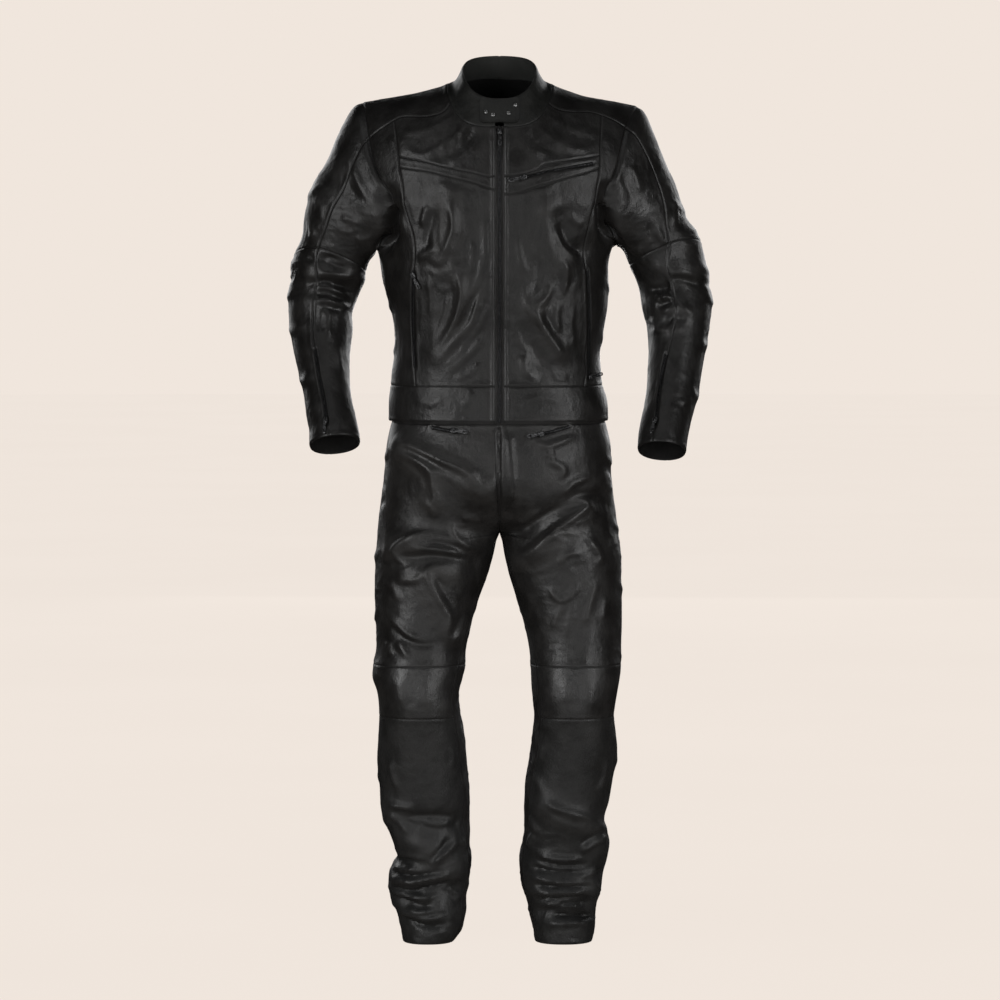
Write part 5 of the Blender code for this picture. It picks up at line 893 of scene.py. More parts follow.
def neck_line(turn):
    """The neck seam as (x, q).  turn is 0 at the centre front, pi behind, positive on the left."""
    turn = np.asarray(turn, float)
    behind = np.cos(turn) < 0
    power = np.where(behind, NECK_BACK_POWER, NECK_FRONT_POWER)
    depth = np.where(behind, NECK_BACK_DEPTH, NECK_FRONT_DEPTH)
    x = NECK_HALF_WIDTH * signed_power(np.sin(turn), power)
    y = NECK_CENTRE_Y - depth * signed_power(np.cos(turn), power)
    behind = y > SHOULDER_LINE_Y
    flat = torso(torso_girth(x, np.full(x.shape, CHEST_HEIGHT), behind), CHEST_HEIGHT)
    share = np.clip((y - SHOULDER_LINE_Y) / (flat[..., 1] - SHOULDER_LINE_Y), 0.0, 1.0)
    q = 1 - np.arccos(share ** (1 / DOME_POWER)) * 2 / math.pi
    return pairs(x, np.where(behind, q, -q))


def neck_turn(x):
    """How far round the neck seam a given x lies, on the front."""
    return math.copysign(math.asin((abs(x) / NECK_HALF_WIDTH) ** (1 / NECK_FRONT_POWER)), x)


def collar(turn, h):
    """The standing collar: h is 0 on the neck seam and 1 on the upper edge."""
    turn, h = np.broadcast_arrays(np.asarray(turn, float), np.asarray(h, float))
    foot = shoulder(*np.moveaxis(neck_line(turn), -1, 0))
    power = np.where(np.cos(turn) < 0, COLLAR_BACK_POWER, COLLAR_FRONT_POWER)
    top = np.stack([
        COLLAR_HALF_WIDTH * signed_power(np.sin(turn), power),
        COLLAR_CENTRE_Y - COLLAR_HALF_DEPTH * signed_power(np.cos(turn), power),
        COLLAR_TOP - COLLAR_SLOPE * np.cos(turn) + COLLAR_SIDE_RISE * np.sin(turn) ** 2,
    ], axis=-1)
    body = foot + (top - foot) * h[..., None]
    body[..., 2] -= COLLAR_SAG * np.sin(h * math.pi) * np.sin(turn) ** 2
    return body


# ---------------------------------------------------------------- sleeves and legs

def armhole(side, turn):
    """The armhole seam: turn is 0 at the shoulder tip, 0.5 at the armpit, in front between."""
    turn = np.mod(np.asarray(turn, float) + 0.5, 1.0) - 0.5
    points = np.zeros(turn.shape + (3,))
    for part, start, end, surface in ARMHOLE[side]:
        inside = (turn >= start - TINY) & (turn <= end + TINY)
        share = np.clip((turn - start) / (end - start), 0.0, 1.0)
        where = between(share, np.linspace(0.0, 1.0, len(part)), part)
        points[inside] = surface(where[..., 0], where[..., 1])[inside]
    return points


def sleeve(side):
    """One sleeve's surface: turn goes round it and row runs down it."""
    rails = SLEEVE[side]
    rows = np.arange(len(rails["out_x"]), dtype=float)

    def ring(turn, row):
        out_x, out_z, in_x, in_z = (spline(row, rows, rail) for rail in rails.values())
        y, half, tip = read(SLEEVE_DEPTH, row, "y", "half", "tip")
        across = signed_power(np.cos(turn * 2 * math.pi), SLEEVE_POWER)
        along = signed_power(np.sin(turn * 2 * math.pi), SLEEVE_POWER)
        x = side * ((out_x + in_x) / 2 + (out_x - in_x) / 2 * across)
        z = (out_z + in_z) / 2 + (out_z - in_z) / 2 * across + tip * half * along
        return np.stack([x, y - half * along, z], axis=-1)

    def surface(turn, row):
        turn, row = np.broadcast_arrays(np.asarray(turn, float), np.asarray(row, float))
        rest = armhole(side, turn) - ring(turn, np.zeros(turn.shape))
        share = np.clip(1 - row / SLEEVE_BLEND, 0.0, 1.0) ** 2
        return ring(turn, row) + rest * share[..., None]

    return surface


def leg(side):
    """One trouser leg's surface, with its half of the hips."""

    def surface(turn, height):
        """turn is 0 on the inner leg or the centre front, 0.25 in front, 0.5 outside, 1 behind."""
        turn, height = np.broadcast_arrays(np.asarray(turn, float), np.asarray(height, float))
        out, inner = read(LEG[side], height, "out", "in")
        inner = np.maximum(inner, 0.0)
        front, back = read(LEG_DEPTH, height, "front", "back")
        angle = turn * 2 * math.pi
        leg_x = (out + inner) / 2 - (out - inner) / 2 * signed_power(np.cos(angle), LEG_POWER)
        leg_y = (front + back) / 2 - (back - front) / 2 * signed_power(np.sin(angle), LEG_POWER)
        hip_front, hip_back = read(HIP_DEPTH, height, "front", "back")
        along = signed_power(np.cos(angle / 2), TORSO_POWER)
        hip_x = out * signed_power(np.sin(angle / 2), TORSO_POWER)
        hip_y = along * np.where(along >= 0, hip_front, -hip_back)
        rise = np.clip((height - CROTCH_HEIGHT) / RISE_BEND, 0.0, 1.0)
        share = np.sqrt(1 - (1 - rise) ** 2)
        x = leg_x + (hip_x - leg_x) * share
        y = leg_y + (hip_y - leg_y) * share
        return np.stack([side * x, y, height], axis=-1)

    return surface


# ---------------------------------------------------------------- panels

PANELS = []
LATTICE = np.random.RandomState(11).uniform(-1.0, 1.0, (32, 32, 32))

# what each panel's bottom, top, left and right border is: s a seam with its topstitching, p a plain
# seam, a the armhole, z the front opening's edge, h a turned hem
BORDERS = {
    "upper_front": "sszs", "chest_band": "sszs", "lower_front": "sszs", "side_front": "ssss",
    "hem_band": "hszp", "yoke": "ssps", "back": "ssss", "collar": "shhp", "front_zip": "pppp",
    "upper_sleeve_outer": "asss", "upper_sleeve_inner": "asss", "forearm_outer": "shss",
    "forearm_inner": "shss", "thigh_front": "spps", "thigh_back": "spps", "kneecap": "ssss",
    "lower_leg_front": "hsss", "lower_leg_back": "hsss", "waistband": "phhh",
}

# the relief beside each kind of border: place from the border, width and height of each rise
BORDER_RELIEF = {
    "s": ((0.0, 0.0013, -0.0008), (0.0040, 0.0026, 0.0002)),
    "p": ((0.0, 0.0017, -0.0014), (0.0042, 0.0028, 0.0003)),
    "a": ((0.0, 0.0038, -0.0044), (0.0110, 0.0048, 0.0008)),
    "z": ((0.0, 0.0016, -0.0006), (0.0040, 0.0030, 0.0010), (0.0092, 0.0014, -0.0005)),
    "h": ((0.0, 0.0018, -0.0009), (0.0045, 0.0030, 0.0002), (0.0100, 0.0014, -0.0003)),
}
STITCH_PLACE = {"s": 0.0050, "z": 0.0085, "h": 0.0090}
# how much of that relief is left where the legs turn to the side, pressed flat there
SIDE_RELIEF = 0.3
# the armhole's groove is deep at the armpit and runs out, over this height, towards the shoulder
ARMHOLE_RUNOUT = (1.335, 1.425)
ARMHOLE_LEFT = 0.22

# the crumpling: wandering ridges in octaves of size and share, on softer waves, unevenly deep; the
# depth in front turns into the depth behind while the leather faces within BACK_FROM of sideways
CRUMPLE_DEPTH = 0.75
BACK_FROM = 0.6
WANDER = 0.016
WANDER_GRAIN = (0.075, 3.7)
CRUMPLE_OCTAVES = ((1.0, 1.0), (0.52, 0.55), (0.27, 0.25))
OCTAVE_SHIFT = 7.3
RIDGE_WIDTH = 0.24
RIDGE_MEAN = 0.45
SOFT_GRAIN = (0.11, 1.9)
SOFT_SHARE = 0.9
UNEVEN = (0.75, 0.6)
UNEVEN_GRAIN = (0.09, 5.1)
# how deeply the leather crumples, part by part: height, depth in front and behind
CRUMPLE = {
    "legs": table("at front back", (
        (0.00, 0.0016, 0.0020), (0.12, 0.0018, 0.0022), (0.20, 0.0010, 0.0016),
        (0.28, 0.0004, 0.0012), (0.38, 0.0004, 0.0020), (0.44, 0.0005, 0.0030),
        (0.50, 0.0011, 0.0030), (0.60, 0.0013, 0.0018), (0.75, 0.0012, 0.0014),
        (0.86, 0.0008, 0.0010), (0.895, 0.0001, 0.0001), (0.95, 0.0, 0.0),
    )),
    "torso": table("at front back", (
        (0.90, 0.0003, 0.0003), (0.95, 0.0006, 0.0006), (1.02, 0.0010, 0.0018),
        (1.15, 0.0011, 0.0016), (1.30, 0.0008, 0.0010), (1.45, 0.0008, 0.0008),
        (1.56, 0.0004, 0.0004),
    )),
    "sleeves": table("at front back", (
        (0.86, 0.0008, 0.0006), (1.00, 0.0009, 0.0008), (1.10, 0.0010, 0.0010),
        (1.18, 0.0012, 0.0012), (1.26, 0.0011, 0.0010), (1.35, 0.0009, 0.0009),
        (1.50, 0.0003, 0.0003),
    )),
    "collar": table("at front back", ((1.3, 0.0008, 0.0005), (1.6, 0.0006, 0.0004))),
}
# the crumples' grain: wide across the limb, narrow along it
CRUMPLE_SIZE = {
    "legs": (0.052, 0.052, 0.027), "torso": (0.036, 0.036, 0.060),
    "sleeves": (0.042, 0.042, 0.027), "collar": (0.026, 0.026, 0.026),
}


def coons(bottom, top, left, right, rounds):
    """A grid of places between four seams, evened out in rounds where a seam curves inwards."""
    s = np.linspace(0, 1, len(bottom))[None, :, None]
    t = np.linspace(0, 1, len(left))[:, None, None]
    ruled = (1 - t) * bottom[None] + t * top[None] + (1 - s) * left[:, None] + s * right[:, None]
    corners = ((1 - s) * (1 - t) * bottom[0] + s * (1 - t) * bottom[-1]
               + (1 - s) * t * top[0] + s * t * top[-1])
    grid = ruled - corners
    for _ in range(rounds):
        grid[1:-1, 1:-1] = (grid[:-2, 1:-1] + grid[2:, 1:-1] + grid[1:-1, :-2] + grid[1:-1, 2:]) / 4
    return grid


def outward(surface, places, side, du, dv):
    """The surface's outward normals, from small steps both ways."""
    a, b = places[..., 0], places[..., 1]
    across = surface(a + du, b) - surface(a - du, b)
    along = surface(a, b + dv) - surface(a, b - dv)
    return unit(np.cross(across, along) * side)


def closer_near_borders(grid):
    """The same grid with extra lines beside its four borders, where the sewing shapes it."""
    for axis in (0, 1):
        count = grid.shape[axis] - 1
        if count < 2 * EXTRA_LINES[-1] + 2:
            continue
        extra = np.array(EXTRA_LINES)
        places = np.unique(np.concatenate([np.arange(count + 1), extra, count - extra]))
        low = np.minimum(places.astype(int), count - 1)
        t = (places - low).reshape((-1, 1, 1) if axis == 0 else (1, -1, 1))
        grid = np.take(grid, low, axis) * (1 - t) + np.take(grid, low + 1, axis) * t
    return grid


def eased(values, points=None):
    """The same values with the bend at the crotch's height drawn out, but not at the crotch."""
    places = values if points is None else points
    soft = values.copy()
    for _ in range(CROTCH_ROUNDS):
        soft[1:-1] = (soft[:-2] + 2 * soft[1:-1] + soft[2:]) / 4
    share = np.exp(-(((places[..., 2] - CROTCH_HEIGHT) / CROTCH_EASE) ** 2))
    share = share * smooth_step((np.abs(places[..., 0]) - CROTCH_CLEAR) / CROTCH_FADE)
    return values + (soft - values) * share[..., None]


def panel(name, part, surface, side, edges, slot="leather", lift=(0.0,), wall=WALL, rounds=0):
    """One cut piece: its bottom, top, left and right seams are given as places on its surface."""
    grid = closer_near_borders(coons(*edges, rounds))
    points = surface(grid[..., 0], grid[..., 1])
    row_step = SLEEVE_ROW_STEP if part == "sleeves" else PLACE_STEP
    normals = outward(surface, grid, side, PLACE_STEP, row_step)
    if name.startswith("thigh"):
        points, normals = eased(points), eased(normals, points)
    cut = name.replace("_left", "").replace("_right", "")
    across = np.linspace(0, 1, grid.shape[1])
    PANELS.append({
        "name": name, "part": part, "points": points, "normals": normals, "wall": wall,
        "slot": slot, "material": FINISHES.get(cut, slot), "borders": BORDERS[cut],
        "slack": SLACK.get(cut, 1.0),
        "lift": np.interp(across, np.linspace(0, 1, len(lift)), lift),
    })


def fold_relief(part, points, normals):
    """How far the folds push each point out or in."""
    push = np.zeros(points.shape[:-1])
    flat = points[..., (0, 2)].reshape(-1, 2)
    for fold_part, face, width, depth, line in FOLDS:
        if fold_part == part:
            gap = nearest_on(flat, line)[0].reshape(push.shape)
            facing = smooth_step((normals[..., 1] * face - FOLD_FACING) / FOLD_FADE)
            push += depth * np.exp(-((gap / width) ** 2)) * facing
    return push


def noise(points, size, shift=0.0):
    """Smooth noise from -1 to 1 with the given grain, the same every time."""
    spots = np.asarray(points, float) / np.asarray(size, float) + shift
    cell = np.floor(spots).astype(int)
    t = spots - cell
    t = t * t * (3 - 2 * t)
    total = np.zeros(spots.shape[:-1])
    for corner in np.ndindex(2, 2, 2):
        a, b, c = (np.mod(cell[..., k] + corner[k], len(LATTICE)) for k in range(3))
        weight = np.prod(np.where(corner, t, 1 - t), axis=-1)
        total += weight * LATTICE[a, b, c]
    return total


def smooth_step(value):
    """Nothing below 0, 1 above 1, and a smooth rise between."""
    value = np.clip(value, 0.0, 1.0)
    return value * value * (3 - 2 * value)


def raised(border, gap, profile, share=1.0):
    """A border's relief with further rises on it, each by its place, width and height."""
    for place, width, height in profile:
        border = border + share * height * np.exp(-(((gap - place) / width) ** 2))
    return border


def nearest_on(flat, line):
    """How far each place is from a line, how far along it that is, and on which hand."""
    best = np.full(len(flat), np.inf)
    along, hand = np.zeros(len(flat)), np.ones(len(flat))
    for k in range(len(line) - 1):
        run = line[k + 1] - line[k]
        rel = flat - line[k]
        share = np.clip(rel @ run / (run @ run), 0.0, 1.0)
        gap = np.linalg.norm(rel - share[:, None] * run, axis=1)
        closer = gap < best
        best = np.where(closer, gap, best)
        along = np.where(closer, (k + share) / (len(line) - 1), along)
        hand = np.where(closer, np.sign(run[0] * rel[:, 1] - run[1] * rel[:, 0]), hand)
    return best, along, hand


def crease_relief(part, points, normals):
    """The listed creases: ridges where the depth is above nothing, troughs below."""
    push = np.zeros(points.shape[:-1])
    for crease_part, face, width, depth, lean, line in CREASES:
        if crease_part != part:
            continue
        if abs(face) == 1:
            flat, facing = points[..., (0, 2)], normals[..., 1] * face
        else:
            side = np.sign(face)
            flat = points[..., (1, 2)]
            facing = np.where(points[..., 0] * side > SIDE_CREASE_X, normals[..., 0] * side, -1.0)
        knots = np.arange(len(line), dtype=float)
        line = spline(np.linspace(0.0, knots[-1], CREASE_POINTS * len(line)), knots, line)
        reach = CREASE_REACH * width
        near = (flat > line.min(axis=0) - reach) & (flat < line.max(axis=0) + reach)
        near = near.all(axis=-1) & (facing > FOLD_FACING)
        if not near.any():
            continue
        gap, along, hand = nearest_on(flat[near], line)
        ends = smooth_step(np.minimum(along, 1 - along) / CREASE_ENDS + CREASE_START)
        shape = np.exp(-((gap / (width * (1 + lean * hand))) ** 2))
        push[near] += depth * shape * ends * smooth_step((facing[near] - FOLD_FACING) / FOLD_FADE)
    return push


def crumple_relief(part, points, normals):
    """Fine creasing that the listed creases run through."""
    depths = CRUMPLE[part]
    front = np.interp(points[..., 2], depths["at"], depths["front"])
    back = np.interp(points[..., 2], depths["at"], depths["back"])
    depth = front + (back - front) * smooth_step((normals[..., 1] + BACK_FROM) / (2 * BACK_FROM))
    warped = points.copy()
    warped[..., 2] += WANDER * noise(points, *WANDER_GRAIN)
    size = np.array(CRUMPLE_SIZE[part])
    ridged = np.zeros(points.shape[:-1])
    for octave, share in CRUMPLE_OCTAVES:
        line = noise(warped, size * octave, OCTAVE_SHIFT * octave)
        ridged += share * (np.exp(-((line / RIDGE_WIDTH) ** 2)) - RIDGE_MEAN)
    soft = noise(points, *SOFT_GRAIN)
    uneven = UNEVEN[0] + UNEVEN[1] * noise(points, *UNEVEN_GRAIN)
    return CRUMPLE_DEPTH * depth * (ridged * uneven + SOFT_SHARE * soft)


def border_gaps(points, border):
    """How far each point of a panel is from one of its borders, taken at every second place."""
    line = np.vstack([border[::2], border[-1:]])
    flat = points.reshape(-1, 3)
    best = np.full(len(flat), np.inf)
    for a, b in zip(line[:-1], line[1:]):
        run = b - a
        rel = flat - a
        share = np.clip(rel @ run / max(run @ run, SMALLEST), 0.0, 1.0)
        rel -= share[:, None] * run
        best = np.minimum(best, np.einsum("ij,ij->i", rel, rel))
    return np.sqrt(best).reshape(points.shape[:2])


def relief(piece):
    """How far each point of a panel stands out.  Notes that, and the gap from its nearest seam."""
    points, normals, part = piece["points"], piece["normals"], piece["part"]
    push = fold_relief(part, points, normals)
    free, sewn, border = np.ones(push.shape), np.ones(push.shape), np.zeros(push.shape)
    low, high = ARMHOLE_RUNOUT
    runout = 1 - (1 - ARMHOLE_LEFT) * smooth_step((points[..., 2] - low) / (high - low))
    edges = points[0], points[-1], points[:, 0], points[:, -1]
    for kind, edge in zip(piece["borders"], edges):
        gap = border_gaps(points, edge)
        border = raised(border, gap, BORDER_RELIEF[kind], runout if kind == "a" else 1.0)
        sewn = np.minimum(sewn, gap)
        free = np.minimum(free, smooth_step(gap / SEAM_HOLD + SEAM_SLACK))
    if part == "legs":
        border *= SIDE_RELIEF + (1 - SIDE_RELIEF) * np.abs(normals[..., 1])
    flat = points[..., (0, 2)]
    for zip_line in ZIPS.values():
        near = (np.abs(flat - np.mean(zip_line, axis=0)) < WELT_REACH).all(axis=-1)
        near &= normals[..., 1] < -FOLD_FACING
        if near.any():
            gap = nearest_on(flat[near], np.array(zip_line))[0]
            border[near] = raised(border[near], gap, WELT_RELIEF)
            free[near] = np.minimum(free[near], smooth_step(gap / SEAM_HOLD + SEAM_SLACK))
    if piece["name"] in FLAT_PANELS:
        border *= 0.0
    else:
        loose = crease_relief(part, points, normals) + crumple_relief(part, points, normals)
        push += loose * free * piece["slack"]
    piece["sewn"] = sewn
    piece["crest"] = push + border
    return piece["crest"]


def weld():
    """Seams share their points: each shared point gets one place and one mitred direction, as
    long as it takes for the walls of all the pieces that meet there to keep their thickness."""
    spots, owners = [], []
    for number, piece in enumerate(PANELS):
        piece["moved"] = piece["points"] + piece["normals"] * relief(piece)[..., None]
        piece["mitre"] = piece["normals"].copy()
        rows, columns = piece["points"].shape[:2]
        for j, i in np.ndindex(rows, columns):
            if j in (0, rows - 1) or i in (0, columns - 1):
                spots.append(piece["points"][j, i])
                owners.append((number, j, i))
    tree = KDTree(len(spots))
    for k, spot in enumerate(spots):
        tree.insert(Vector(spot), k)
    tree.balance()
    for k, spot in enumerate(spots):
        group = sorted(hit[1] for hit in tree.find_range(Vector(spot), WELD_REACH))
        if group[0] != k:
            continue
        sharing = [owners[g] for g in group]
        moved = np.mean([PANELS[n]["moved"][j, i] for n, j, i in sharing], axis=0)
        facing = np.array([PANELS[n]["normals"][j, i] for n, j, i in sharing])
        mitre = np.linalg.lstsq(facing, np.ones(len(group)), rcond=NEARLY_FLAT)[0]
        mitre *= min(LONGEST_MITRE / np.linalg.norm(mitre), 1.0)
        for n, j, i in sharing:
            PANELS[n]["moved"][j, i] = moved
            PANELS[n]["mitre"][j, i] = mitre


def border_loop(rows, columns):
    """The grid's rim, once round."""
    loop = [(0, i) for i in range(columns - 1)]
    loop += [(j, columns - 1) for j in range(rows - 1)]
    loop += [(rows - 1, i) for i in range(columns - 1, 0, -1)]
    loop += [(j, 0) for j in range(rows - 1, 0, -1)]
    return loop


def cells(rows, columns, flip):
    """The quads of a grid."""
    j, i = np.meshgrid(np.arange(rows - 1), np.arange(columns - 1), indexing="ij")
    a = (j * columns + i).ravel()
    faces = np.stack([a, a + 1, a + columns + 1, a + columns], axis=1)
    return faces[:, ::-1] if flip else faces


def shell_object(name, outer, inner, materials, marks=None, step=1, middle=None):
    """A closed wall between two grids; the inner one keeps every step-th line of the outer. The
    second material lines it, and a third one covers the middle columns."""
    rows, columns = outer.shape[:2]
    kept = [list(range(0, count - 1, step)) + [count - 1] for count in (rows, columns)]
    j, i = (rows - 1) // 2, (columns - 1) // 2
    across = np.cross(outer[j, i + 1] - outer[j, i], outer[j + 1, i] - outer[j, i])
    flip = across @ (outer[j, i] - inner[j, i]) < 0
    count = rows * columns
    small = (len(kept[0]), len(kept[1]))
    rim = []
    loop = border_loop(*small)
    for a, b in zip(loop, loop[1:] + loop[:1]):
        (ja, ia), (jb, ib) = ((kept[0][j], kept[1][i]) for j, i in (a, b))
        length = max(abs(jb - ja), abs(ib - ia))
        path = [(ja + (jb - ja) * k // length) * columns + ia + (ib - ia) * k // length
                for k in range(length + 1)]
        face = [path[0], count + a[0] * small[1] + a[1], count + b[0] * small[1] + b[1]]
        face += path[:0:-1]
        rim.append(face[::-1] if flip else face)
    top = cells(rows, columns, flip)
    under = cells(*small, not flip) + count
    thinned = np.ix_(*kept)
    thing = add_object(name, np.concatenate([outer.reshape(-1, 3), inner[thinned].reshape(-1, 3)]),
                       top.tolist() + rim + under.tolist(), materials)
    if len(materials) > 1:
        lined = np.zeros(len(top) + len(rim) + len(under), dtype=np.int32)
        lined[len(top) + len(rim):] = 1
        if middle:
            column = np.arange(len(top)) % (columns - 1)
            lined[:len(top)][(column >= middle[0]) & (column < middle[1])] = 2
        thing.data.polygons.foreach_set("material_index", lined)
    for mark, values in (marks or {}).items():
        layer = thing.data.attributes.new(mark, "FLOAT", "POINT")
        both = np.concatenate([values.ravel(), values[thinned].ravel()])
        layer.data.foreach_set("value", both.astype(np.float32))
    return thing


def add_object(name, vertices, faces, materials):
    """A smooth mesh of the suit, taken from heights above the hem into the part's frame."""
    mesh = bpy.data.meshes.new(name)
    mesh.from_pydata((np.array(vertices) - (0.0, 0.0, SHOULDER_HEIGHT)).tolist(), [], faces)
    mesh.shade_smooth()
    mesh.set_sharp_from_angle(angle=SHARP_EDGE)
    for material in materials:
        mesh.materials.append(SHADERS[material])
    thing = bpy.data.objects.new(name, mesh)
    SUIT.objects.link(thing)
    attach(thing, "root")
    return thing


def lowest_near(values, reach):
    """The least value within reach of each grid point; the borders keep their own."""
    padded = np.pad(values, reach, mode="edge")
    least = values.copy()
    for j in range(2 * reach + 1):
        for i in range(2 * reach + 1):
            least = np.minimum(least, padded[j:j + values.shape[0], i:i + values.shape[1]])
    for border in (np.s_[0], np.s_[-1], np.s_[:, 0], np.s_[:, -1]):
        least[border] = values[border]
    return least


def girth_and_length(points):
    """The flat size of a cut piece: the mean length of its seams both ways."""
    def lengths(lines):
        return np.linalg.norm(np.diff(lines, axis=1), axis=2).sum(axis=1).mean()

    return round(float(lengths(points)), 3), round(float(lengths(points.swapaxes(0, 1))), 3)


def sew():
    """Turns every panel into its wall and returns the outer faces for laying trim on."""
    weld()
    vertices, faces = [], []
    for piece in PANELS:
        direction, crest = piece["mitre"], piece["crest"]
        outer = piece["outer"] = piece["moved"] + direction * piece["lift"][None, :, None]
        # the sewn gap also sets where the leather's material paints shade beside each seam
        marks = {"sewn": piece["sewn"] * MARK_SCALE, "crest": crest * MARK_SCALE}
        drop = (lowest_near(crest, INNER_STEP) - crest)[..., None]
        inner = outer + piece["normals"] * drop - direction * piece["wall"]
        materials = (piece["material"], LININGS.get(piece["part"], "lining"), "zip_tape")
        middle = None
        if piece["name"] in FLAT_PANELS:
            middle = tuple(int(outer.shape[1] * share) for share in ZIP_GAP)
        cloth = shell_object(piece["name"] + "_cloth", outer, inner, materials, marks,
                             INNER_STEP, middle)
        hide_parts(piece["name"])
        piece["cloth"], piece["flat"] = cloth, girth_and_length(piece["points"])
        faces += (cells(*outer.shape[:2], False) + len(vertices)).tolist()
        vertices += piece["moved"].reshape(-1, 3).tolist()
    return BVHTree.FromPolygons(vertices, faces)


# ---------------------------------------------------------------- sewing

def lay_stitches(name, lines):
    """Sunken stitches along lines of places and outward directions."""
    vertices, faces = [], []
    for spots, normals in lines:
        run = distances(spots)
        count = int(run[-1] / STITCH_PITCH)
        if count < 2:
            continue
        starts = (np.arange(count) + 0.5) * run[-1] / count
        before, middle, ahead = (between(starts + shift, run, spots)
                                 for shift in (-STITCH_HALF, 0.0, STITCH_HALF))
        facing = unit(between(starts, run, normals))
        across = unit(np.cross(facing, ahead - before)) * STITCH_WIDTH
        sink, rise = facing * STITCH_SINK, facing * STITCH_RISE
        corners = np.stack([before - sink, middle + across, ahead - sink, middle - across,
                            middle + rise, middle - rise], axis=1)
        firsts = len(vertices) + 6 * np.arange(count)[:, None, None]
        faces += (LOZENGE + firsts).reshape(-1, 3).tolist()
        vertices += corners.reshape(-1, 3).tolist()
    thread = add_object(name, vertices, faces, ("thread",))


def seam_lines(piece):
    """The topstitching beside each of a panel's sewn borders."""
    grids = [(grid, grid[::-1], grid.swapaxes(0, 1), grid.swapaxes(0, 1)[::-1])
             for grid in (piece["outer"], piece["mitre"])]
    lines = []
    for kind, grid, facing in zip(piece["borders"], *grids):
        if kind not in STITCH_PLACE:
            continue
        place, spots, normals = STITCH_PLACE[kind], [], []
        for i in range(grid.shape[1]):
            run = distances(grid[:STITCH_ROWS, i])
            if place <= run[-1]:
                spots.append(between(place, run, grid[:STITCH_ROWS, i]))
                normals.append(between(place, run, facing[:STITCH_ROWS, i]))
        if len(spots) > 3:
            lines.append((np.array(spots[1:-1]), np.array(normals[1:-1])))
    return lines


# ---------------------------------------------------------------- what is laid on the leather

def on_leather(x, height):
    """The leather behind a place seen from the front, and its outward direction."""
    spot, facing, _, _ = LEATHER.ray_cast(Vector((x, -1.0, height)), Vector((0.0, 1.0, 0.0)))
    return np.array(spot), np.array(facing) * (-1.0 if facing[1] > 0 else 1.0)


def soft_rows(values, reach):
    """Each row averaged with its neighbours."""
    padded = np.pad(values, ((reach, reach),) + ((0, 0),) * (values.ndim - 1), mode="edge")
    return sum(padded[k:k + len(values)] for k in range(2 * reach + 1)) / (2 * reach + 1)


def strip_grid(line, half, columns):
    """A grid of places and directions on the leather along a line seen from the front."""
    knots = np.arange(len(line), dtype=float)
    controls = np.column_stack([line, np.broadcast_to(np.asarray(half, float), len(line))])

    def place(t):
        return spline(t, knots, controls)[:, :2]

    length = distances(place(np.linspace(0.0, knots[-1], STRIP_SAMPLES)))[-1]
    stops = even(place, 0.0, knots[-1], max(int(math.ceil(length / TRIM_SPACING)), 3))
    middle, half = place(stops), spline(stops, knots, controls)[:, 2]
    run = unit(np.gradient(middle, axis=0))
    across = np.linspace(-1.0, 1.0, columns)
    spots = np.zeros((len(stops), columns, 3))
    normals = np.zeros_like(spots)
    for j in range(len(stops)):
        for i, share in enumerate(across):
            x, height = middle[j] + np.array((-run[j, 1], run[j, 0])) * half[j] * share
            spots[j, i], normals[j, i] = on_leather(x, height)
    mean = unit(soft_rows(normals, SOFT_FACING).mean(axis=1, keepdims=True))
    return soft_rows(spots, SOFT_SPOTS), np.broadcast_to(mean, normals.shape), across


def teeth(name, spots, normals, half_width):
    """Two rows of zip teeth along a line, each tooth reaching past the middle."""
    run = distances(spots)
    count = int(run[-1] / TOOTH_PITCH)
    places = np.linspace(0.0, run[-1], count)
    middle = between(places, run, spots)
    facing = unit(between(places, run, normals))
    along = unit(np.gradient(middle, axis=0))
    side = np.where(np.arange(count) % 2, 1.0, -1.0)[:, None] * np.cross(facing, along)
    vertices = np.stack([middle + side * (half_width * reach) * short
                         + along * way * deep * TOOTH_PITCH * narrow
                         + facing * (TOOTH_HEIGHT * high)
                         for high, narrow, short in TOOTH_LEVELS
                         for reach, deep in TOOTH_ENDS for way in (-1.0, 1.0)], axis=1)
    ring = ((0, 1), (1, 3), (3, 2), (2, 0))
    block = [(a + 4 * k, b + 4 * k, b + 4 * k + 4, a + 4 * k + 4) for k in (0, 1) for a, b in ring]
    block += [(8, 9, 11, 10), (1, 0, 2, 3)]
    faces = [tuple(12 * k + corner for corner in face[::-1 if k % 2 else 1])
             for k in range(count) for face in block]
    row = add_object(name, vertices.reshape(-1, 3), faces, ("zip_metal",))


def laid_zip(name, line):
    """A pocket's or cuff's zip laid on the leather: its tape, crowned in the middle, and teeth."""
    spots, normals, across = strip_grid(line, TAPE_HALF, TAPE_COLUMNS)
    inner = spots + normals * TRIM_LIFT * TRIM_SINK
    body = 1 - smooth_step((np.abs(across) - TAPE_CROWN[0]) / TAPE_CROWN[1])
    outer = inner + normals * (TAPE_THICKNESS + TAPE_RISE * body)[None, :, None]
    tape = shell_object(name + "_tape", outer, inner, ("zip_tape",))
    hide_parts(name)
    middle = TAPE_COLUMNS // 2
    teeth(name + "_teeth", outer[:, middle], normals[:, middle], TOOTH_WIDTH)


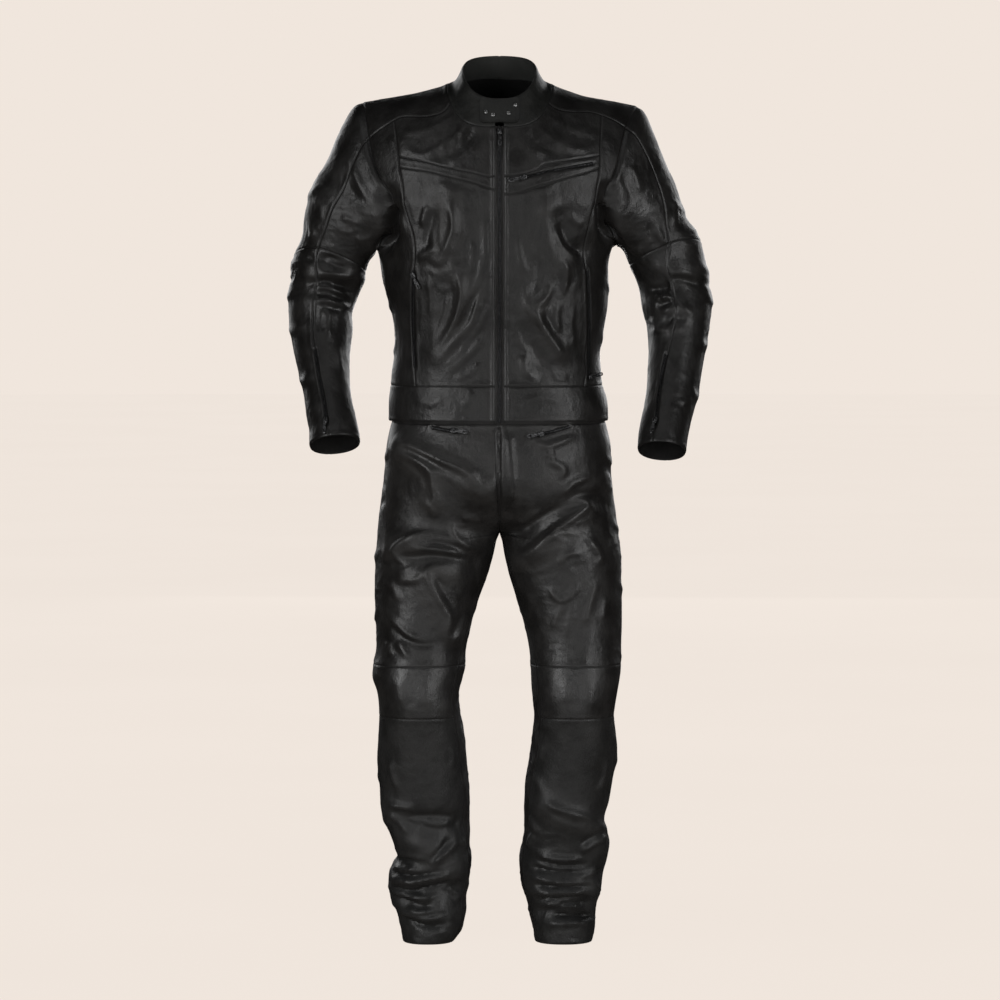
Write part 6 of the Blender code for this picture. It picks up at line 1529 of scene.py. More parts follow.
def frame_at(x, height, heading, rise):
    """Where a slider stands: its place and its three directions."""
    nearby = [on_leather(x + dx, height + dz) for dx in (-SLIDER_REACH[0], 0.0, SLIDER_REACH[0])
              for dz in (-SLIDER_REACH[1], 0.0, SLIDER_REACH[1])]
    normal = unit(np.mean([facing for _, facing in nearby], axis=0))
    spot = nearby[len(nearby) // 2][0]
    angle = math.radians(heading)
    along = np.array((math.cos(angle), 0.0, math.sin(angle)))
    along = unit(along - normal * (along @ normal))
    highest = max((place - spot) @ normal for place, _ in nearby)
    base = spot + normal * (rise + highest + CLEARANCE)
    return base, along, np.cross(normal, along), normal


def around(count):
    """Angles once round."""
    return np.arange(count) * 2 * math.pi / count


def rounded(half_long, half_wide, count, power):
    """A rounded outline about the origin, once round."""
    turn = around(count)
    return np.stack([half_long * signed_power(np.cos(turn), power),
                     half_wide * signed_power(np.sin(turn), power)], axis=1)


def stack_rings(rings):
    """Faces that join rings of points one after another; each ring has the same count."""
    count = len(rings[0])
    faces = []
    for k in range(len(rings) - 1):
        for i in range(count):
            a, b = k * count + i, k * count + (i + 1) % count
            faces.append((a, b, b + count, a + count))
    return faces


def slider(name, x, height, heading, rise):
    """A zip slider: its rounded body, the bridge over it, and the pull with its eyelet."""
    base, along, across, normal = frame_at(x, height, heading, rise)
    vertices, faces = [], []

    def add(rings, caps):
        start, count = len(vertices), len(rings[0])
        last = start + (len(rings) - 1) * count
        vertices.extend(base + along * u + across * v + normal * n
                        for ring in rings for u, v, n in ring)
        faces.extend(tuple(start + k for k in face) for face in stack_rings(rings))
        if caps:
            faces.append(tuple(start + k for k in range(count))[::-1])
            faces.append(tuple(last + k for k in range(count)))
        else:
            faces.extend((last + i, last + (i + 1) % count, start + (i + 1) % count, start + i)
                         for i in range(count))

    body = rounded(*SLIDER_BODY)
    add([[(u * grow, v * grow, n) for u, v in body] for grow, n in BODY_LEVELS], True)
    bridge = []
    for turn in np.linspace(0.0, math.pi, BRIDGE_RINGS):
        u, n = (BRIDGE_MIDDLE[0] - BRIDGE_REACH[0] * math.cos(turn),
                BRIDGE_MIDDLE[1] + BRIDGE_REACH[1] * math.sin(turn))
        bridge.append([(u - math.cos(turn) * BRIDGE_HALF[0] * math.cos(spin),
                        BRIDGE_HALF[1] * math.sin(spin),
                        n + math.sin(turn) * BRIDGE_HALF[0] * math.cos(spin))
                       for spin in around(BRIDGE_SIDES)])
    add(bridge, True)
    outline = rounded(*PULL) + (PULL_AHEAD, 0.0)
    outline[:, 1] *= PULL_NECK + (1 - PULL_NECK) * smooth_step(
        (outline[:, 0] - PULL_SWELL[0]) / PULL_SWELL[1])
    eyelet = rounded(*EYELET) + (EYELET_AHEAD, 0.0)
    levels = [(outline * grow + (shift, 0.0), n) for grow, shift, n in PULL_LEVELS]
    levels += [(eyelet, PULL_LEVELS[-1][2]), (eyelet, 0.0)]
    add([[(u, v, PULL_LIFT + n) for u, v in points] for points, n in levels], False)
    piece = add_object(name + "_form", vertices, faces, ("metal",))
    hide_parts(name)
    face_outwards(piece)


def face_outwards(piece):
    """Turns every closed part of a piece the right way out."""
    form = bmesh.new()
    form.from_mesh(piece.data)
    bmesh.ops.recalc_face_normals(form, faces=form.faces)
    form.to_mesh(piece.data)
    form.free()


def stud(name, spot, facing):
    """A press stud: a domed cap with a rolled rim and a shallow ring."""
    side = unit(np.cross(facing, (0.0, 0.0, 1.0)))
    up = np.cross(side, facing)
    rings = [[spot + facing * (CLEARANCE + n)
              + (side * math.cos(turn) + up * math.sin(turn)) * radius
              for turn in around(STUD_SIDES)] for radius, n in STUD_PROFILE]
    faces = stack_rings(rings)
    faces.append(tuple(range(STUD_SIDES))[::-1])
    faces.append(tuple((len(rings) - 1) * STUD_SIDES + k for k in range(STUD_SIDES)))
    piece = add_object(name + "_cap", np.array(rings).reshape(-1, 3), faces, ("bright_metal",))
    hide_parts(name)
    face_outwards(piece)


def collar_tab():
    """The tab buttoned across the collar's front opening, with its press studs."""
    rows, columns = TAB_GRID
    fine = np.linspace(-TAB_TURN, TAB_TURN, TAB_SAMPLES)
    levels = np.linspace(TAB_LOW, TAB_HIGH, rows)
    share = np.linspace(-1.0, 1.0, rows)
    corner = 1 - np.sqrt(np.clip(1 - np.abs(share) ** TAB_CORNER_POWER, 0, 1))
    half = TAB_HALF_WIDTH * (1 - TAB_ROUND * corner)
    turn = np.array([np.interp(np.linspace(-w, w, columns), collar(fine, h)[:, 0], fine)
                     for h, w in zip(levels, half)])
    level = np.repeat(levels[:, None], columns, axis=1)
    spots = collar(turn, level)
    normals = unit(np.cross(collar(turn + TAB_STEP, level) - spots,
                            collar(turn, level + TAB_STEP) - spots))
    normals *= np.sign(-normals[..., 1:2])
    inner = spots + normals * TRIM_LIFT
    beside = [np.minimum(np.linspace(0, 1, count), np.linspace(1, 0, count)) * size
              for count, size in zip(TAB_GRID, TAB_SIZE)]
    edge = np.minimum(beside[1][None], beside[0][:, None])
    puff = raised(0.0, edge, TAB_RELIEF)
    wave = TAB_WAVE * noise(spots, *TAB_GRAIN)
    outer = inner + normals * (TAB_THICKNESS + puff + wave)[..., None]
    # the sewn gap paints shade along the tab's edge in its material
    marks = {"sewn": edge * MARK_SCALE, "crest": (puff + wave) * MARK_SCALE}
    tab = shell_object("collar_tab_cloth", outer, inner, ("collar_leather",) * 2, marks)
    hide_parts("collar_tab")
    girth_and_length(spots)
    ring = border_loop(rows - 2 * TAB_INSET, columns - 2 * TAB_INSET)
    path = tuple(np.array(ring + ring[:1]).T + TAB_INSET)
    lay_stitches("collar_tab_stitching", [(outer[path], normals[path])])
    tree = BVHTree.FromPolygons(outer.reshape(-1, 3).tolist(), cells(rows, columns, False).tolist())
    for number, (x, height) in enumerate(STUDS):
        spot, facing, _, _ = tree.ray_cast(Vector((x, -1.0, height)), Vector((0.0, 1.0, 0.0)))
        facing = np.array(facing if facing[1] < 0 else -facing)
        stud(f"collar_stud_{number + 1}", np.array(spot), facing)


def fly():
    """The fly's covering strip; returns the lines of its two rows of stitches."""
    line = np.column_stack([FLY["x"], FLY["height"]])
    spots, normals, across = strip_grid(line, FLY["half"], FLY_COLUMNS)
    inner = spots + normals * TRIM_LIFT * TRIM_SINK
    thinner = smooth_step((np.abs(across) - FLY_EDGE) / (1 - FLY_EDGE))
    rise = FLY_THICKNESS * (1 - FLY_THINNING * thinner)
    outer = inner + normals * rise[None, :, None]
    # the sewn gap paints shade along the fly's two edges in its material
    marks = {"sewn": np.broadcast_to((1 - np.abs(across)) * FLY_HALF_MARK, spots.shape[:2]),
             "crest": np.zeros(spots.shape[:2])}
    strip = shell_object("fly_cloth", outer, inner, ("leather", "leather"), marks)
    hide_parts("fly")
    girth_and_length(spots)
    return [(outer[:, k], normals[:, k]) for k in FLY_STITCHED]


def line_on_leather(points):
    """Places and directions on the leather along a line seen from the front."""
    spots, normals, _ = strip_grid(np.array(points), STRIP_HALF, 3)
    return spots[:, 1], normals[:, 1]


def front_zip_teeth():
    """The front zip's larger teeth, down the middle of its panel."""
    piece = next(piece for piece in PANELS if piece["name"] == "front_zip")
    middle = piece["outer"].shape[1] // 2
    teeth("front_zip_teeth", piece["outer"][:, middle], piece["mitre"][:, middle],
          TOOTH_WIDTH * FRONT_TOOTH_GROWTH)


# ---------------------------------------------------------------- seams of the jacket

def torso_route(points, steps):
    """A seam of the jacket's front through places given as x and height."""
    return route(torso, torso_at(*np.array(points).T), steps)


ARMHOLE = {}
ARMPIT = {side: (side * 1.0, ARMPIT_HEIGHT[side]) for side in (1, -1)}


def armhole_parts(side, fine):
    """The armhole's three stretches: front, top and back, as evenly spaced places."""
    front, back = (np.vstack([torso_at(*np.array(line).T, behind), [ARMPIT[side]]])
                   for line, behind in ((ARMHOLE_FRONT[side], False),
                                        (np.array(ARMHOLE_BACK) * (side, 1), True)))
    front, back = (route(torso, line, fine, ARMHOLE_BEND) for line in (front, back))
    start, end = to_shoulder(back[:1])[0], to_shoulder(front[:1])[0]
    tip = (side * SLEEVE[side]["out_x"][0], 0.0)
    near_back, near_front = ((side * SHOULDER_TIP_X, place[1] * 0.5) for place in (start, end))
    return front, route(shoulder, (start, near_back, tip, near_front, end), fine), back


def jacket_side(side):
    """The cut pieces of one half of the jacket, from the centre front to the centre back."""
    half = "left" if side > 0 else "right"
    n = STEPS
    columns = n["yoke"] + n["neck_front"]
    front_edge = side * ZIP_HALF_WIDTH
    neck_corner = neck_turn(side * NECK_CORNER_X)

    def cut(name, *edges, surface=torso):
        panel(f"{name}_{half}", "torso", surface, 1, edges)

    def neck(start, end, steps):
        return even(lambda turn: shoulder(*neck_line(turn).T), start, end, steps)

    def centre(low, high, steps):
        return torso_route([(front_edge, z) for z in np.linspace(low, high, 4)], steps)

    def hem(start, end, steps):
        return even(lambda w: torso(w, HEM_SEAM), start, end, steps)

    neck_front = neck(neck_turn(front_edge), neck_corner, n["neck_front"])
    neck_side = neck(neck_corner, side * math.pi, n["neck_side"])
    neck_top = to_torso(neck_line(neck_front))

    band_low, band_high = BAND_BOTTOM[side][0][1], BAND_TOP[side][0][1]
    centre_hem = centre(HEM_HEIGHT, HEM_SEAM, n["hem"])
    centre_lower = centre(HEM_SEAM, band_low, n["lower"])
    centre_band = centre(band_low, band_high, n["band"])
    centre_upper = centre(band_high, torso(*neck_top[0])[2], n["upper"])
    centre_upper[-1] = neck_top[0]

    seam = np.array(PRINCESS_SEAM[side])
    low_end, high_end = np.array(BAND_BOTTOM[side][-1]), np.array(BAND_TOP[side][-1])
    below = seam[seam[:, 1] < low_end[1] - PRINCESS_CLEAR]
    princess_lower = torso_route(np.vstack([below[::-1], low_end]), n["lower"])
    princess_band = torso_route([low_end, high_end], n["band"])
    princess_upper = torso_route([high_end, seam[0]], n["upper"])
    princess = chain(princess_lower, princess_band, princess_upper)

    yoke = np.array(YOKE_SEAM[side])
    split = int(np.argmin(np.abs(yoke[:, 0] - seam[0, 0])))
    neck_end = torso(*neck_top[-1])[[0, 2]]
    yoke_outer = torso_route(yoke[:split + 1], n["side_front"])
    yoke_inner = torso_route(np.vstack([yoke[split:], neck_end]), n["yoke"])
    yoke_inner[-1] = neck_top[-1]

    hem_front = hem(centre_lower[0, 0], princess[0, 0], columns)
    hem_side = hem(princess[0, 0], side * SIDE_SEAM, n["side_front"])
    hem_back = hem(side * SIDE_SEAM, side * 2.0, n["half_back"])
    side_low = route(torso, [(side * girth, height) for girth, height in SIDE_SEAM_LINE]
                     + [ARMPIT[side]], n["side"])
    front_hole, _, back_hole = (part[::-1] for part in armhole_parts(side, n["armhole"]))
    top_hole = armhole_parts(side, n["neck_side"] + n["yoke_back"])[1]

    band_top, band_bottom = (torso_route(line[side], columns) for line in (BAND_TOP, BAND_BOTTOM))
    cut("upper_front", band_top, chain(neck_top, yoke_inner[::-1]), centre_upper, princess_upper)
    cut("chest_band", band_bottom, band_top, centre_band, princess_band)
    cut("lower_front", pairs(hem_front, HEM_SEAM), band_bottom, centre_lower, princess_lower)
    cut("side_front", pairs(hem_side, HEM_SEAM), yoke_outer[::-1], princess,
        chain(side_low, front_hole))
    girths = np.concatenate([hem_front, hem_side[1:], hem_back[1:]])
    hem_low, hem_top = pairs(girths, HEM_HEIGHT), pairs(girths, HEM_SEAM)
    hem_low[0], hem_top[0] = centre_hem[0], centre_hem[-1]
    back_column = pairs(side * 2.0, np.linspace(HEM_HEIGHT, HEM_SEAM, n["hem"] + 1))
    cut("hem_band", hem_low, hem_top, centre_hem, back_column)

    start = to_shoulder(back_hole[-1:])[0]
    yoke_low = route(shoulder, (start, (side * YOKE_BEND_X, YOKE_BACK), (0.0, YOKE_BACK)),
                     n["yoke"] + n["side_front"])
    centre_back = route(shoulder, ((0.0, YOKE_BACK), neck_line(side * math.pi)), n["yoke_back"])
    yoke_front = to_shoulder(chain(yoke_outer, yoke_inner))
    cut("yoke", yoke_low[::-1], yoke_front[::-1], chain(centre_back, neck_line(neck_side)[::-1]),
        top_hole, surface=shoulder)
    return {"neck": np.concatenate([neck_front, neck_side[1:]]), "side": side_low,
            "hole": back_hole, "top": to_torso(yoke_low), "hem": pairs(hem_back, HEM_SEAM),
            "centre": chain(centre_hem, centre_lower, centre_band, centre_upper)}


def jacket():
    """Every cut piece of the jacket's body, its collar and its front zip."""
    for side in (1, -1):
        front, top, back = armhole_parts(side, ARMHOLE_STEPS)
        ARMHOLE[side] = (
            (front, FRONT_SEAM_TURN, 0.5, torso),
            (top, BACK_SEAM_TURN - 1, FRONT_SEAM_TURN, shoulder),
            (back[::-1], -0.5, BACK_SEAM_TURN - 1, torso),
        )
    left, right = jacket_side(1), jacket_side(-1)

    def unroll(places):
        """Places on the right half, carried on past the centre back."""
        return pairs(np.where(places[:, 0] < 0, places[:, 0] + 4.0, places[:, 0]), places[:, 1])

    def behind(places):
        """Places on the left half with the centre back at exactly 2."""
        return pairs(np.where(np.abs(places[:, 0]) < TINY, 2.0, places[:, 0]), places[:, 1])

    bottom = chain(left["hem"], unroll(right["hem"][::-1]))
    top = chain(behind(left["top"]), unroll(behind(right["top"])[::-1]))
    left_edge = chain(left["side"], left["hole"])
    right_edge = unroll(chain(right["side"], right["hole"]))
    panel("back", "torso", torso, 1, (bottom, top, left_edge, right_edge), rounds=ARMHOLE_ROUNDS)

    levels = np.linspace(0, 1, STEPS["collar"] + 1)
    for name, turns in (("collar_left", left["neck"]), ("collar_right", right["neck"])):
        panel(name, "collar", collar, 1,
              (pairs(turns, 0.0), pairs(turns, 1.0), pairs(turns[0], levels),
               pairs(turns[-1], levels)), "collar_leather")

    sides = right["centre"], left["centre"]
    ends = [np.linspace(sides[0][k], sides[1][k], STEPS["front_zip"] + 1) for k in (0, -1)]
    panel("front_zip", "torso", torso, 1, (*ends, *sides), "zip_tape", ZIP_LIFT, ZIP_WALL)


# ---------------------------------------------------------------- sleeves and trousers

def sleeve_panels(side):
    """One sleeve's four cut pieces."""
    half = "left" if side > 0 else "right"
    surface = sleeve(side)
    n = STEPS
    outer_columns = n["neck_side"] + n["yoke_back"]
    inner_columns = 2 * n["armhole"]
    wrap = np.array([1.0, 0.0])

    def cut(name, *edges):
        panel(f"{name}_{half}", "sleeves", surface, side, edges)

    def elbow(turn):
        return read(ELBOW_SEAM[side], turn, "row")[0]

    def front_turn(row):
        return read(SLEEVE_FRONT_SEAM[side], row, "turn")[0]

    def back_turn(row):
        return BACK_SEAM_TURN - BACK_SEAM_DRIFT * np.clip(row / BACK_SEAM_ROWS, 0.0, 1.0)

    def crossing(turn_of):
        """The row and turn where a lengthwise seam meets the elbow's."""
        row = ELBOW_GUESS
        for _ in range(ELBOW_ROUNDS):
            row = float(elbow(turn_of(row)))
        return row, float(turn_of(row))

    def lengthwise(turn_of, cross):
        """A seam from the armhole to the elbow, and on to the cuff."""
        for start, end, steps in ((0.0, cross, n["upper_arm"]), (cross, SLEEVE_ROWS, n["forearm"])):
            stops = even(lambda row: surface(turn_of(row), row), start, end, steps)
            yield pairs(turn_of(stops), stops)

    def ring(start, end, row_of, steps):
        stops = even(lambda turn: surface(turn, row_of(turn)), start, end, steps)
        return pairs(stops, row_of(stops))

    def last(turn):
        return np.full(np.shape(turn), SLEEVE_ROWS)

    front_cross, front_elbow = crossing(front_turn)
    back_cross, back_elbow = crossing(back_turn)
    front_cuff, back_cuff = float(front_turn(SLEEVE_ROWS)), float(back_turn(SLEEVE_ROWS))
    top = pairs(np.linspace(BACK_SEAM_TURN - 1, FRONT_SEAM_TURN, outer_columns + 1), 0.0)
    under = pairs(np.concatenate([np.linspace(FRONT_SEAM_TURN, 0.5, n["armhole"] + 1),
                                  np.linspace(0.5, BACK_SEAM_TURN, n["armhole"] + 1)[1:]]), 0.0)
    elbow_top = ring(back_elbow - 1, front_elbow, elbow, outer_columns)
    elbow_under = ring(front_elbow, back_elbow, elbow, inner_columns)
    cuff_top = ring(back_cuff - 1, front_cuff, last, outer_columns)
    cuff_under = ring(front_cuff, back_cuff, last, inner_columns)
    front_upper, front_lower = lengthwise(front_turn, front_cross)
    back_upper, back_lower = lengthwise(back_turn, back_cross)
    cut("upper_sleeve_outer", top, elbow_top, back_upper - wrap, front_upper)
    cut("upper_sleeve_inner", under, elbow_under, front_upper, back_upper)
    cut("forearm_outer", elbow_top, cuff_top, back_lower - wrap, front_lower)
    cut("forearm_inner", elbow_under, cuff_under, front_lower, back_lower)


def leg_panels(side):
    """One trouser leg's cut pieces, with its half of the waistband."""
    half = "left" if side > 0 else "right"
    surface = leg(side)
    n = STEPS
    wrap = np.array([1.0, 0.0])

    def cut(name, *edges):
        panel(f"{name}_{half}", "legs", surface, side, edges)

    def inner_turn(height):
        return read(INNER_LEG_SEAM, height, "turn")[0]

    def inner(start, end, steps):
        stops = even(lambda z: surface(inner_turn(z), z), start, end, steps)
        return pairs(inner_turn(stops), stops)

    def outer(start, end, steps):
        return pairs(OUTER_LEG_SEAM, np.linspace(start, end, steps + 1))

    def rise(turn, start, end, steps):
        return pairs(turn, even(lambda z: surface(turn, z), start, end, steps))

    def ring(start, end, height):
        return pairs(even(lambda t: surface(t, height), start, end, n["leg"]), height)

    def level_rings(height):
        """The front and back halves of a level seam."""
        start = float(inner_turn(height)) if height < CROTCH_HEIGHT else 0.0
        return ring(start, OUTER_LEG_SEAM, height), ring(OUTER_LEG_SEAM, 1.0 + start, height)

    waist, top, knee, shin, hem = (level_rings(height) for height in
                                   (WAIST_HEIGHT, WAIST_SEAM, KNEE_SEAM, KNEE_END, 0.0))
    inseam = inner(KNEE_SEAM, CROTCH_HEIGHT, n["inseam"])
    front_rise, back_rise = (rise(turn, CROTCH_HEIGHT, WAIST_SEAM, n["rise"])
                             for turn in (0.0, 1.0))
    side_seam = outer(KNEE_SEAM, WAIST_SEAM, n["inseam"] + n["rise"])
    cut("thigh_front", knee[0], top[0], chain(inseam, front_rise), side_seam)
    cut("thigh_back", knee[1], top[1], side_seam, chain(inseam + wrap, back_rise))
    knee_inner, knee_outer = (seam(KNEE_END, KNEE_SEAM, n["kneecap"]) for seam in (inner, outer))
    cut("kneecap", shin[0], knee[0], knee_inner, knee_outer)
    shin_inner, shin_outer = (seam(0.0, KNEE_END, n["shin"]) for seam in (inner, outer))
    cut("lower_leg_front", hem[0], shin[0], shin_inner, shin_outer)
    cut("lower_leg_back", hem[1], knee[1], chain(shin_outer, knee_outer),
        chain(shin_inner, knee_inner) + wrap)
    cut("waistband", chain(*top), chain(*waist),
        *(rise(turn, WAIST_SEAM, WAIST_HEIGHT, n["waist"]) for turn in (0.0, 1.0)))


# ---------------------------------------------------------------- materials

# the leather's noises as scale and detail, the last two with roughness and stretch as well, and the
# bumps as strength and distance
PEBBLE_SCALE = 900.0
FIBRE, PORES, HIDE, PATCHES = (420.0, 4.0), (130.0, 5.0), (26.0, 4.0), (7.0, 3.0)
RIPPLE = (95.0, 4.0, 0.55, (1.0, 1.0, 0.8))
WAVE = (42.0, 4.0, 0.60, (1.0, 1.0, 0.7))
PEBBLE_SHARE, FIBRE_SHARE = 0.32, 0.30
GRAIN_BUMP, RIPPLE_BUMP, WAVE_BUMP = (0.45, 0.0006), (0.40, 0.0010), (0.42, 0.0036)
# how far the crests stand out that are rubbed pale and how near the seams painted shade darkens
# them, both in millimetres, and how much they and the hide's own patches change its tone and
# roughness
RUBBED, SEAM_SHADE_REACH = (0.8, 4.0), 1.4
HIDE_TONE, RUBBED_TONE, SEAM_SHADE_TONE = 0.6, 0.4, 0.9
UNEVEN_ROUGH, PATCHY_ROUGH, SEWN_ROUGH = (-0.05, 0.06), (-0.05, 0.05), 0.15
COAT_ROUGH = 0.28


class Nodes:
    """A material's node tree, built a node at a time; its noises lie in the part's own places."""

    def __init__(self, name):
        self.material = bpy.data.materials.new(name)
        self.material.use_nodes = True
        self.tree = self.material.node_tree
        self.shader = self.tree.nodes["Principled BSDF"]
        self.place = self.add("TexCoord").outputs["Object"]

    def add(self, kind, links=(), values=(), **settings):
        node = self.tree.nodes.new("ShaderNode" + kind)
        for key, value in settings.items():
            setattr(node, key, value)
        for key, value in dict(values).items():
            node.inputs[key].default_value = value
        for key, socket in dict(links).items():
            self.tree.links.new(socket, node.inputs[key])
        return node

    def noise(self, scale, detail=3.0, rough=0.55, stretch=None):
        place = self.place
        if stretch:
            place = self.add("Mapping", {"Vector": place}, {"Scale": stretch}).outputs[0]
        return self.add("TexNoise", {"Vector": place},
                        {"Scale": scale, "Detail": detail, "Roughness": rough}).outputs[0]

    def spread(self, socket, low, high, out_low, out_high):
        return self.add("MapRange", {"Value": socket},
                        {"From Min": low, "From Max": high, "To Min": out_low, "To Max": out_high},
                        interpolation_type="SMOOTHSTEP").outputs[0]

    def maths(self, kind, first, second):
        links, values = {}, {}
        for number, item in enumerate((first, second)):
            if isinstance(item, (int, float)):
                values[number] = item
            else:
                links[number] = item
        return self.add("Math", links, values, operation=kind).outputs[0]

    def blend(self, factor, low, high):
        return self.add("Mix", {0: factor}, {6: low + (1.0,), 7: high + (1.0,)},
                        data_type="RGBA").outputs[2]

    def mark(self, name):
        return self.add("Attribute", attribute_name=name).outputs["Fac"]

    def bump(self, height, strength, distance):
        return self.add("Bump", {"Height": height}, {"Strength": strength, "Distance": distance})

    def finish(self, colour, rough, normal, **values):
        for socket, source in (("Base Color", colour), ("Roughness", rough), ("Normal", normal)):
            if source is not None:
                self.tree.links.new(source, self.shader.inputs[socket])
        for key, value in values.items():
            self.shader.inputs[key.replace("_", " ")].default_value = value
        return self.material


def leather(name, dark, light, rough, shine, coat):
    """Dyed cowhide: pebbled grain, creased and uneven finish, paler crests, painted shade beside the
    seams.
    """
    n = Nodes(name)
    pebble = n.add("TexVoronoi", {"Vector": n.place}, {"Scale": PEBBLE_SCALE, "Randomness": 1.0},
                   feature="SMOOTH_F1").outputs[0]
    fibre = n.noise(*FIBRE)
    hide = n.noise(*HIDE)
    patches = n.noise(*PATCHES)
    crest, sewn = n.mark("crest"), n.mark("sewn")
    rubbed = n.spread(crest, *RUBBED, 0.0, 1.0)
    # painted shade: the base colour darkens within reach of each seam, standing for the shade in its
    # groove; the same mask also roughens it there
    seam_shade_mask = n.spread(sewn, 0.0, SEAM_SHADE_REACH, 1.0, 0.0)
    tone = n.maths("ADD", n.spread(hide, 0.35, 0.70, 0.0, HIDE_TONE),
                   n.maths("MULTIPLY", rubbed, RUBBED_TONE))
    tone = n.maths("SUBTRACT", tone, n.maths("MULTIPLY", seam_shade_mask, SEAM_SHADE_TONE))
    tone = n.add("Clamp", {"Value": tone}).outputs[0]
    colour = n.blend(tone, dark, light)
    low, high = UNEVEN_ROUGH
    rough_map = n.maths("ADD", n.spread(hide, 0.3, 0.7, rough + low, rough + high),
                        n.spread(patches, 0.3, 0.7, *PATCHY_ROUGH))
    rough_map = n.maths("ADD", rough_map, n.maths("MULTIPLY", seam_shade_mask, SEWN_ROUGH))
    height = n.maths("ADD", n.maths("MULTIPLY", pebble, PEBBLE_SHARE),
                     n.maths("MULTIPLY", fibre, FIBRE_SHARE))
    height = n.maths("ADD", height, n.maths("MULTIPLY", n.noise(*PORES), 1.0))
    normal = n.bump(height, *GRAIN_BUMP).outputs[0]
    ripple = n.bump(n.noise(*RIPPLE), *RIPPLE_BUMP)
    n.tree.links.new(normal, ripple.inputs["Normal"])
    wave = n.bump(n.noise(*WAVE), *WAVE_BUMP)
    n.tree.links.new(ripple.outputs[0], wave.inputs["Normal"])
    return n.finish(colour, rough_map, wave.outputs[0], Specular_IOR_Level=shine,
                    Coat_Weight=coat, Coat_Roughness=COAT_ROUGH)


def cloth_weave(name, dark, light, scale, rough):
    """Woven or knitted cloth: two crossing ribs with uneven thread."""
    n = Nodes(name)
    ribs = []
    for direction in ("X", "Z"):
        ribs.append(n.add("TexWave", {"Vector": n.place}, {"Scale": scale, "Distortion": 1.2},
                          bands_direction=direction).outputs[1])
    height = n.maths("MULTIPLY", ribs[0], ribs[1])
    tone = n.maths("ADD", n.maths("MULTIPLY", height, 0.6), n.maths("MULTIPLY", n.noise(60.0), 0.4))
    colour = n.blend(tone, dark, light)
    normal = n.bump(height, 0.5, 0.0004).outputs[0]
    return n.finish(colour, n.spread(tone, 0.0, 1.0, rough + 0.06, rough - 0.06), normal,
                    Specular_IOR_Level=0.25)


def metal(name, dark, light, rough):
    """Dark plated metal, worn a little brighter and rougher in patches."""
    n = Nodes(name)
    wear = n.noise(300.0, 5.0)
    colour = n.blend(n.spread(wear, 0.4, 0.65, 0.0, 1.0), dark, light)
    normal = n.bump(n.noise(900.0, 3.0), 0.15, 0.0002).outputs[0]
    rough_map = n.spread(wear, 0.3, 0.7, rough - 0.07, rough + 0.1)
    return n.finish(colour, rough_map, normal, Metallic=1.0)


def floor_paint():
    """The studio floor: it glows in the backdrop's colour and takes hardly any light."""
    n = Nodes("studio_floor")
    tone = n.spread(n.noise(0.8, 3.0), 0.3, 0.7, 0.0, 1.0)
    colour = n.blend(tone, FLOOR_DARK, FLOOR_PALE)
    n.tree.links.new(colour, n.shader.inputs["Emission Color"])
    base = tuple(FLOOR_DIFFUSE * part for part in FLOOR_BASE)
    n.shader.inputs["Base Color"].default_value = base + (1.0,)
    n.shader.inputs["Emission Strength"].default_value = FLOOR_GLOW
    n.shader.inputs["Specular IOR Level"].default_value = 0.0
    n.shader.inputs["Roughness"].default_value = 1.0
    return n.material


def make_shaders():
    """Every material of the suit by its name."""
    return {
        # painted shade: the jacket's leather is a darker copy of the trousers' leather, so that the
        # upper body, which the lights reach more, looks no brighter than the legs
        "leather": leather("jacket_leather_painted_shade", (0.0070, 0.0068, 0.0066), (0.0160, 0.0156, 0.0152),
                           0.385, 0.38, 0.0),
        "trouser_leather": leather("trouser_leather", (0.0085, 0.0082, 0.0080),
                                   (0.0190, 0.0185, 0.0180), 0.41, 0.46, 0.0),
        "matte_leather": leather("shin_leather", (0.0112, 0.0114, 0.0114), (0.0190, 0.0192, 0.0192),
                                 0.46, 0.38, 0.0),
        "knee_leather": leather("knee_leather", (0.0100, 0.0098, 0.0097), (0.0210, 0.0206, 0.0202),
                                0.38, 0.55, 0.05),
        "collar_leather": leather("collar_leather", (0.0075, 0.0078, 0.0072),
                                  (0.0160, 0.0166, 0.0154), 0.46, 0.34, 0.0),
        "lining": cloth_weave("lining_cloth", (0.0060, 0.0060, 0.0060), (0.0180, 0.0182, 0.0180),
                              900.0, 0.72),
        # painted light: the collar's lining is a paler copy of the lining, standing for the light
        # that falls inside the collar
        "collar_lining_painted_light": cloth_weave("collar_lining_painted_light", (0.0260, 0.0272, 0.0255),
                                     (0.0440, 0.0456, 0.0430), 1000.0, 0.68),
        "zip_tape": cloth_weave("zip_tape", (0.0035, 0.0035, 0.0036), (0.0110, 0.0110, 0.0112),
                                1100.0, 0.70),
        "thread": cloth_weave("thread", (0.0060, 0.0060, 0.0060), (0.0200, 0.0200, 0.0200),
                              2200.0, 0.50),
        "metal": metal("dark_nickel", (0.040, 0.040, 0.041), (0.13, 0.13, 0.132), 0.40),
        "bright_metal": metal("bright_nickel", (0.12, 0.12, 0.12), (0.34, 0.34, 0.335), 0.30),
        "zip_metal": metal("zip_metal", (0.020, 0.020, 0.021), (0.07, 0.07, 0.072), 0.38),
    }


# ---------------------------------------------------------------- studio

def area_light(name, place, size, power):
    """A soft rectangular light, turned towards the suit."""
    lamp = bpy.data.lights.new(name, "AREA")
    lamp.shape = "RECTANGLE"
    lamp.size, lamp.size_y = size
    lamp.energy = power
    thing = bpy.data.objects.new(name, lamp)
    thing.location = place
    aim = Vector(LOOK_AT) - Vector(place)
    thing.rotation_euler = aim.to_track_quat("-Z", "Y").to_euler()
    bpy.context.scene.collection.objects.link(thing)


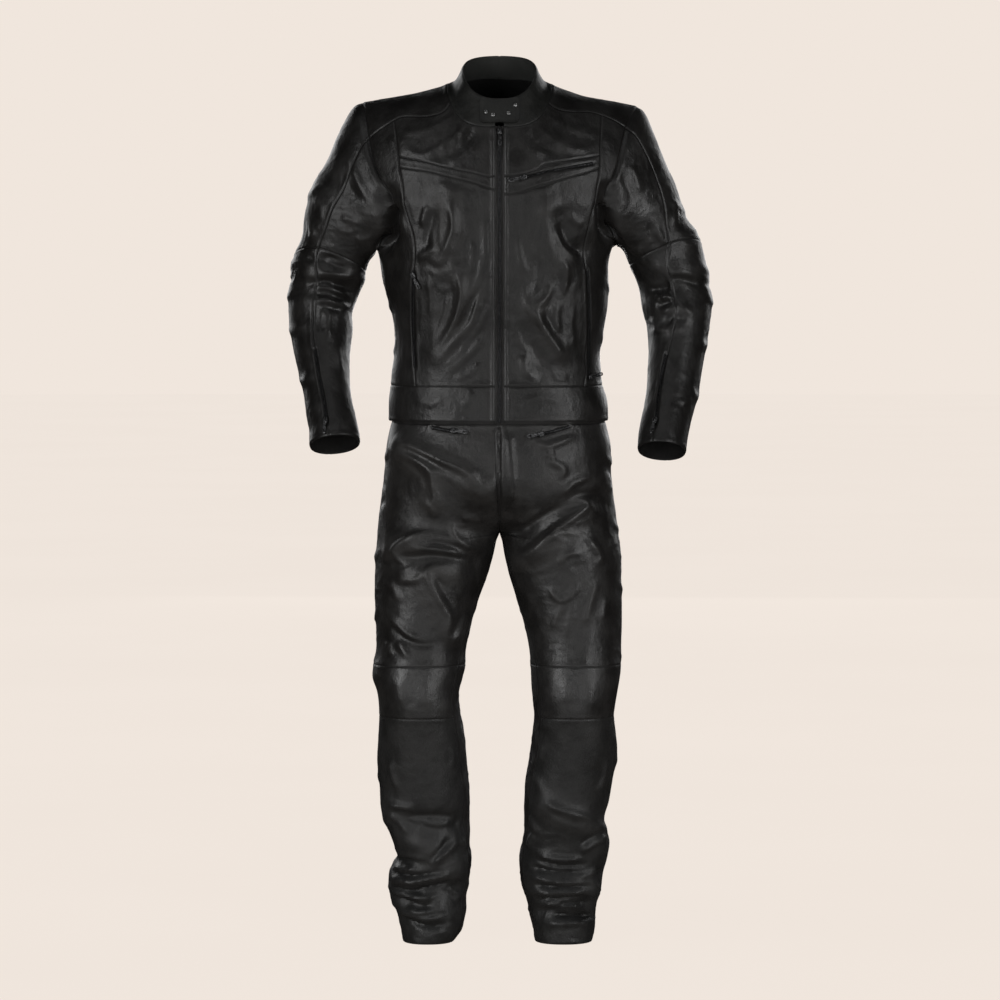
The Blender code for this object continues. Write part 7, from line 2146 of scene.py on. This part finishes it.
def studio():
    """The backdrop, the floor, the lights and the photo's camera."""
    scene = bpy.context.scene
    world = bpy.data.worlds.new("studio")
    world.use_nodes = True
    ground = world.node_tree.nodes["Background"]
    ground.inputs[0].default_value = BACKDROP + (1.0,)
    ground.inputs[1].default_value = 1.0
    world.cycles_visibility.glossy = False
    world.cycles_visibility.diffuse = False
    scene.world = world
    scene.view_settings.view_transform = "Standard"
    bpy.ops.mesh.primitive_circle_add(vertices=96, radius=FLOOR_RADIUS, fill_type="NGON",
                                      location=(0.0, 0.0, -SHOULDER_HEIGHT - FLOOR_DROP))
    floor = bpy.context.object
    floor.name = "studio_floor"
    floor.data.materials.append(floor_paint())
    floor.visible_glossy = False
    for name, place, size, power in LIGHTS:
        area_light(name, place, size, power)
    lens = bpy.data.cameras.new("photo_camera")
    lens.sensor_fit = "HORIZONTAL"
    lens.sensor_width = SENSOR_WIDTH
    reach = Vector((0.0, -CAMERA_DISTANCE, CAMERA_HEIGHT - SHOULDER_HEIGHT)) - Vector(LOOK_AT)
    lens.lens = lens.sensor_width * reach.length / FRAME_HEIGHT
    camera = bpy.data.objects.new("photo_camera", lens)
    camera.location = (0.0, -CAMERA_DISTANCE, CAMERA_HEIGHT - SHOULDER_HEIGHT)
    camera.rotation_euler = (-reach).to_track_quat("-Z", "Y").to_euler()
    scene.collection.objects.link(camera)
    scene.camera = camera


# ---------------------------------------------------------------- the whole suit

SUIT = bpy.data.collections.new("dressed_suit")
bpy.context.scene.collection.children.link(SUIT)
SHADERS = make_shaders()

jacket()
for each_side in (1, -1):
    sleeve_panels(each_side)
    leg_panels(each_side)
LEATHER = sew()
SEAMS = {"jacket": ("torso", "collar"), "sleeve": ("sleeves",), "trouser": ("legs",)}
for garment, parts in SEAMS.items():
    lay_stitches(garment + "_stitching",
                 [line for piece in PANELS if piece["part"] in parts for line in seam_lines(piece)])
for zip_name, zip_line in ZIPS.items():
    laid_zip(zip_name, zip_line)
front_zip_teeth()
lay_stitches("fly_stitching", fly() + [line_on_leather(FLY_STITCH)])
for slider_name, *stand in SLIDERS:
    slider(slider_name, *stand)
collar_tab()
studio()
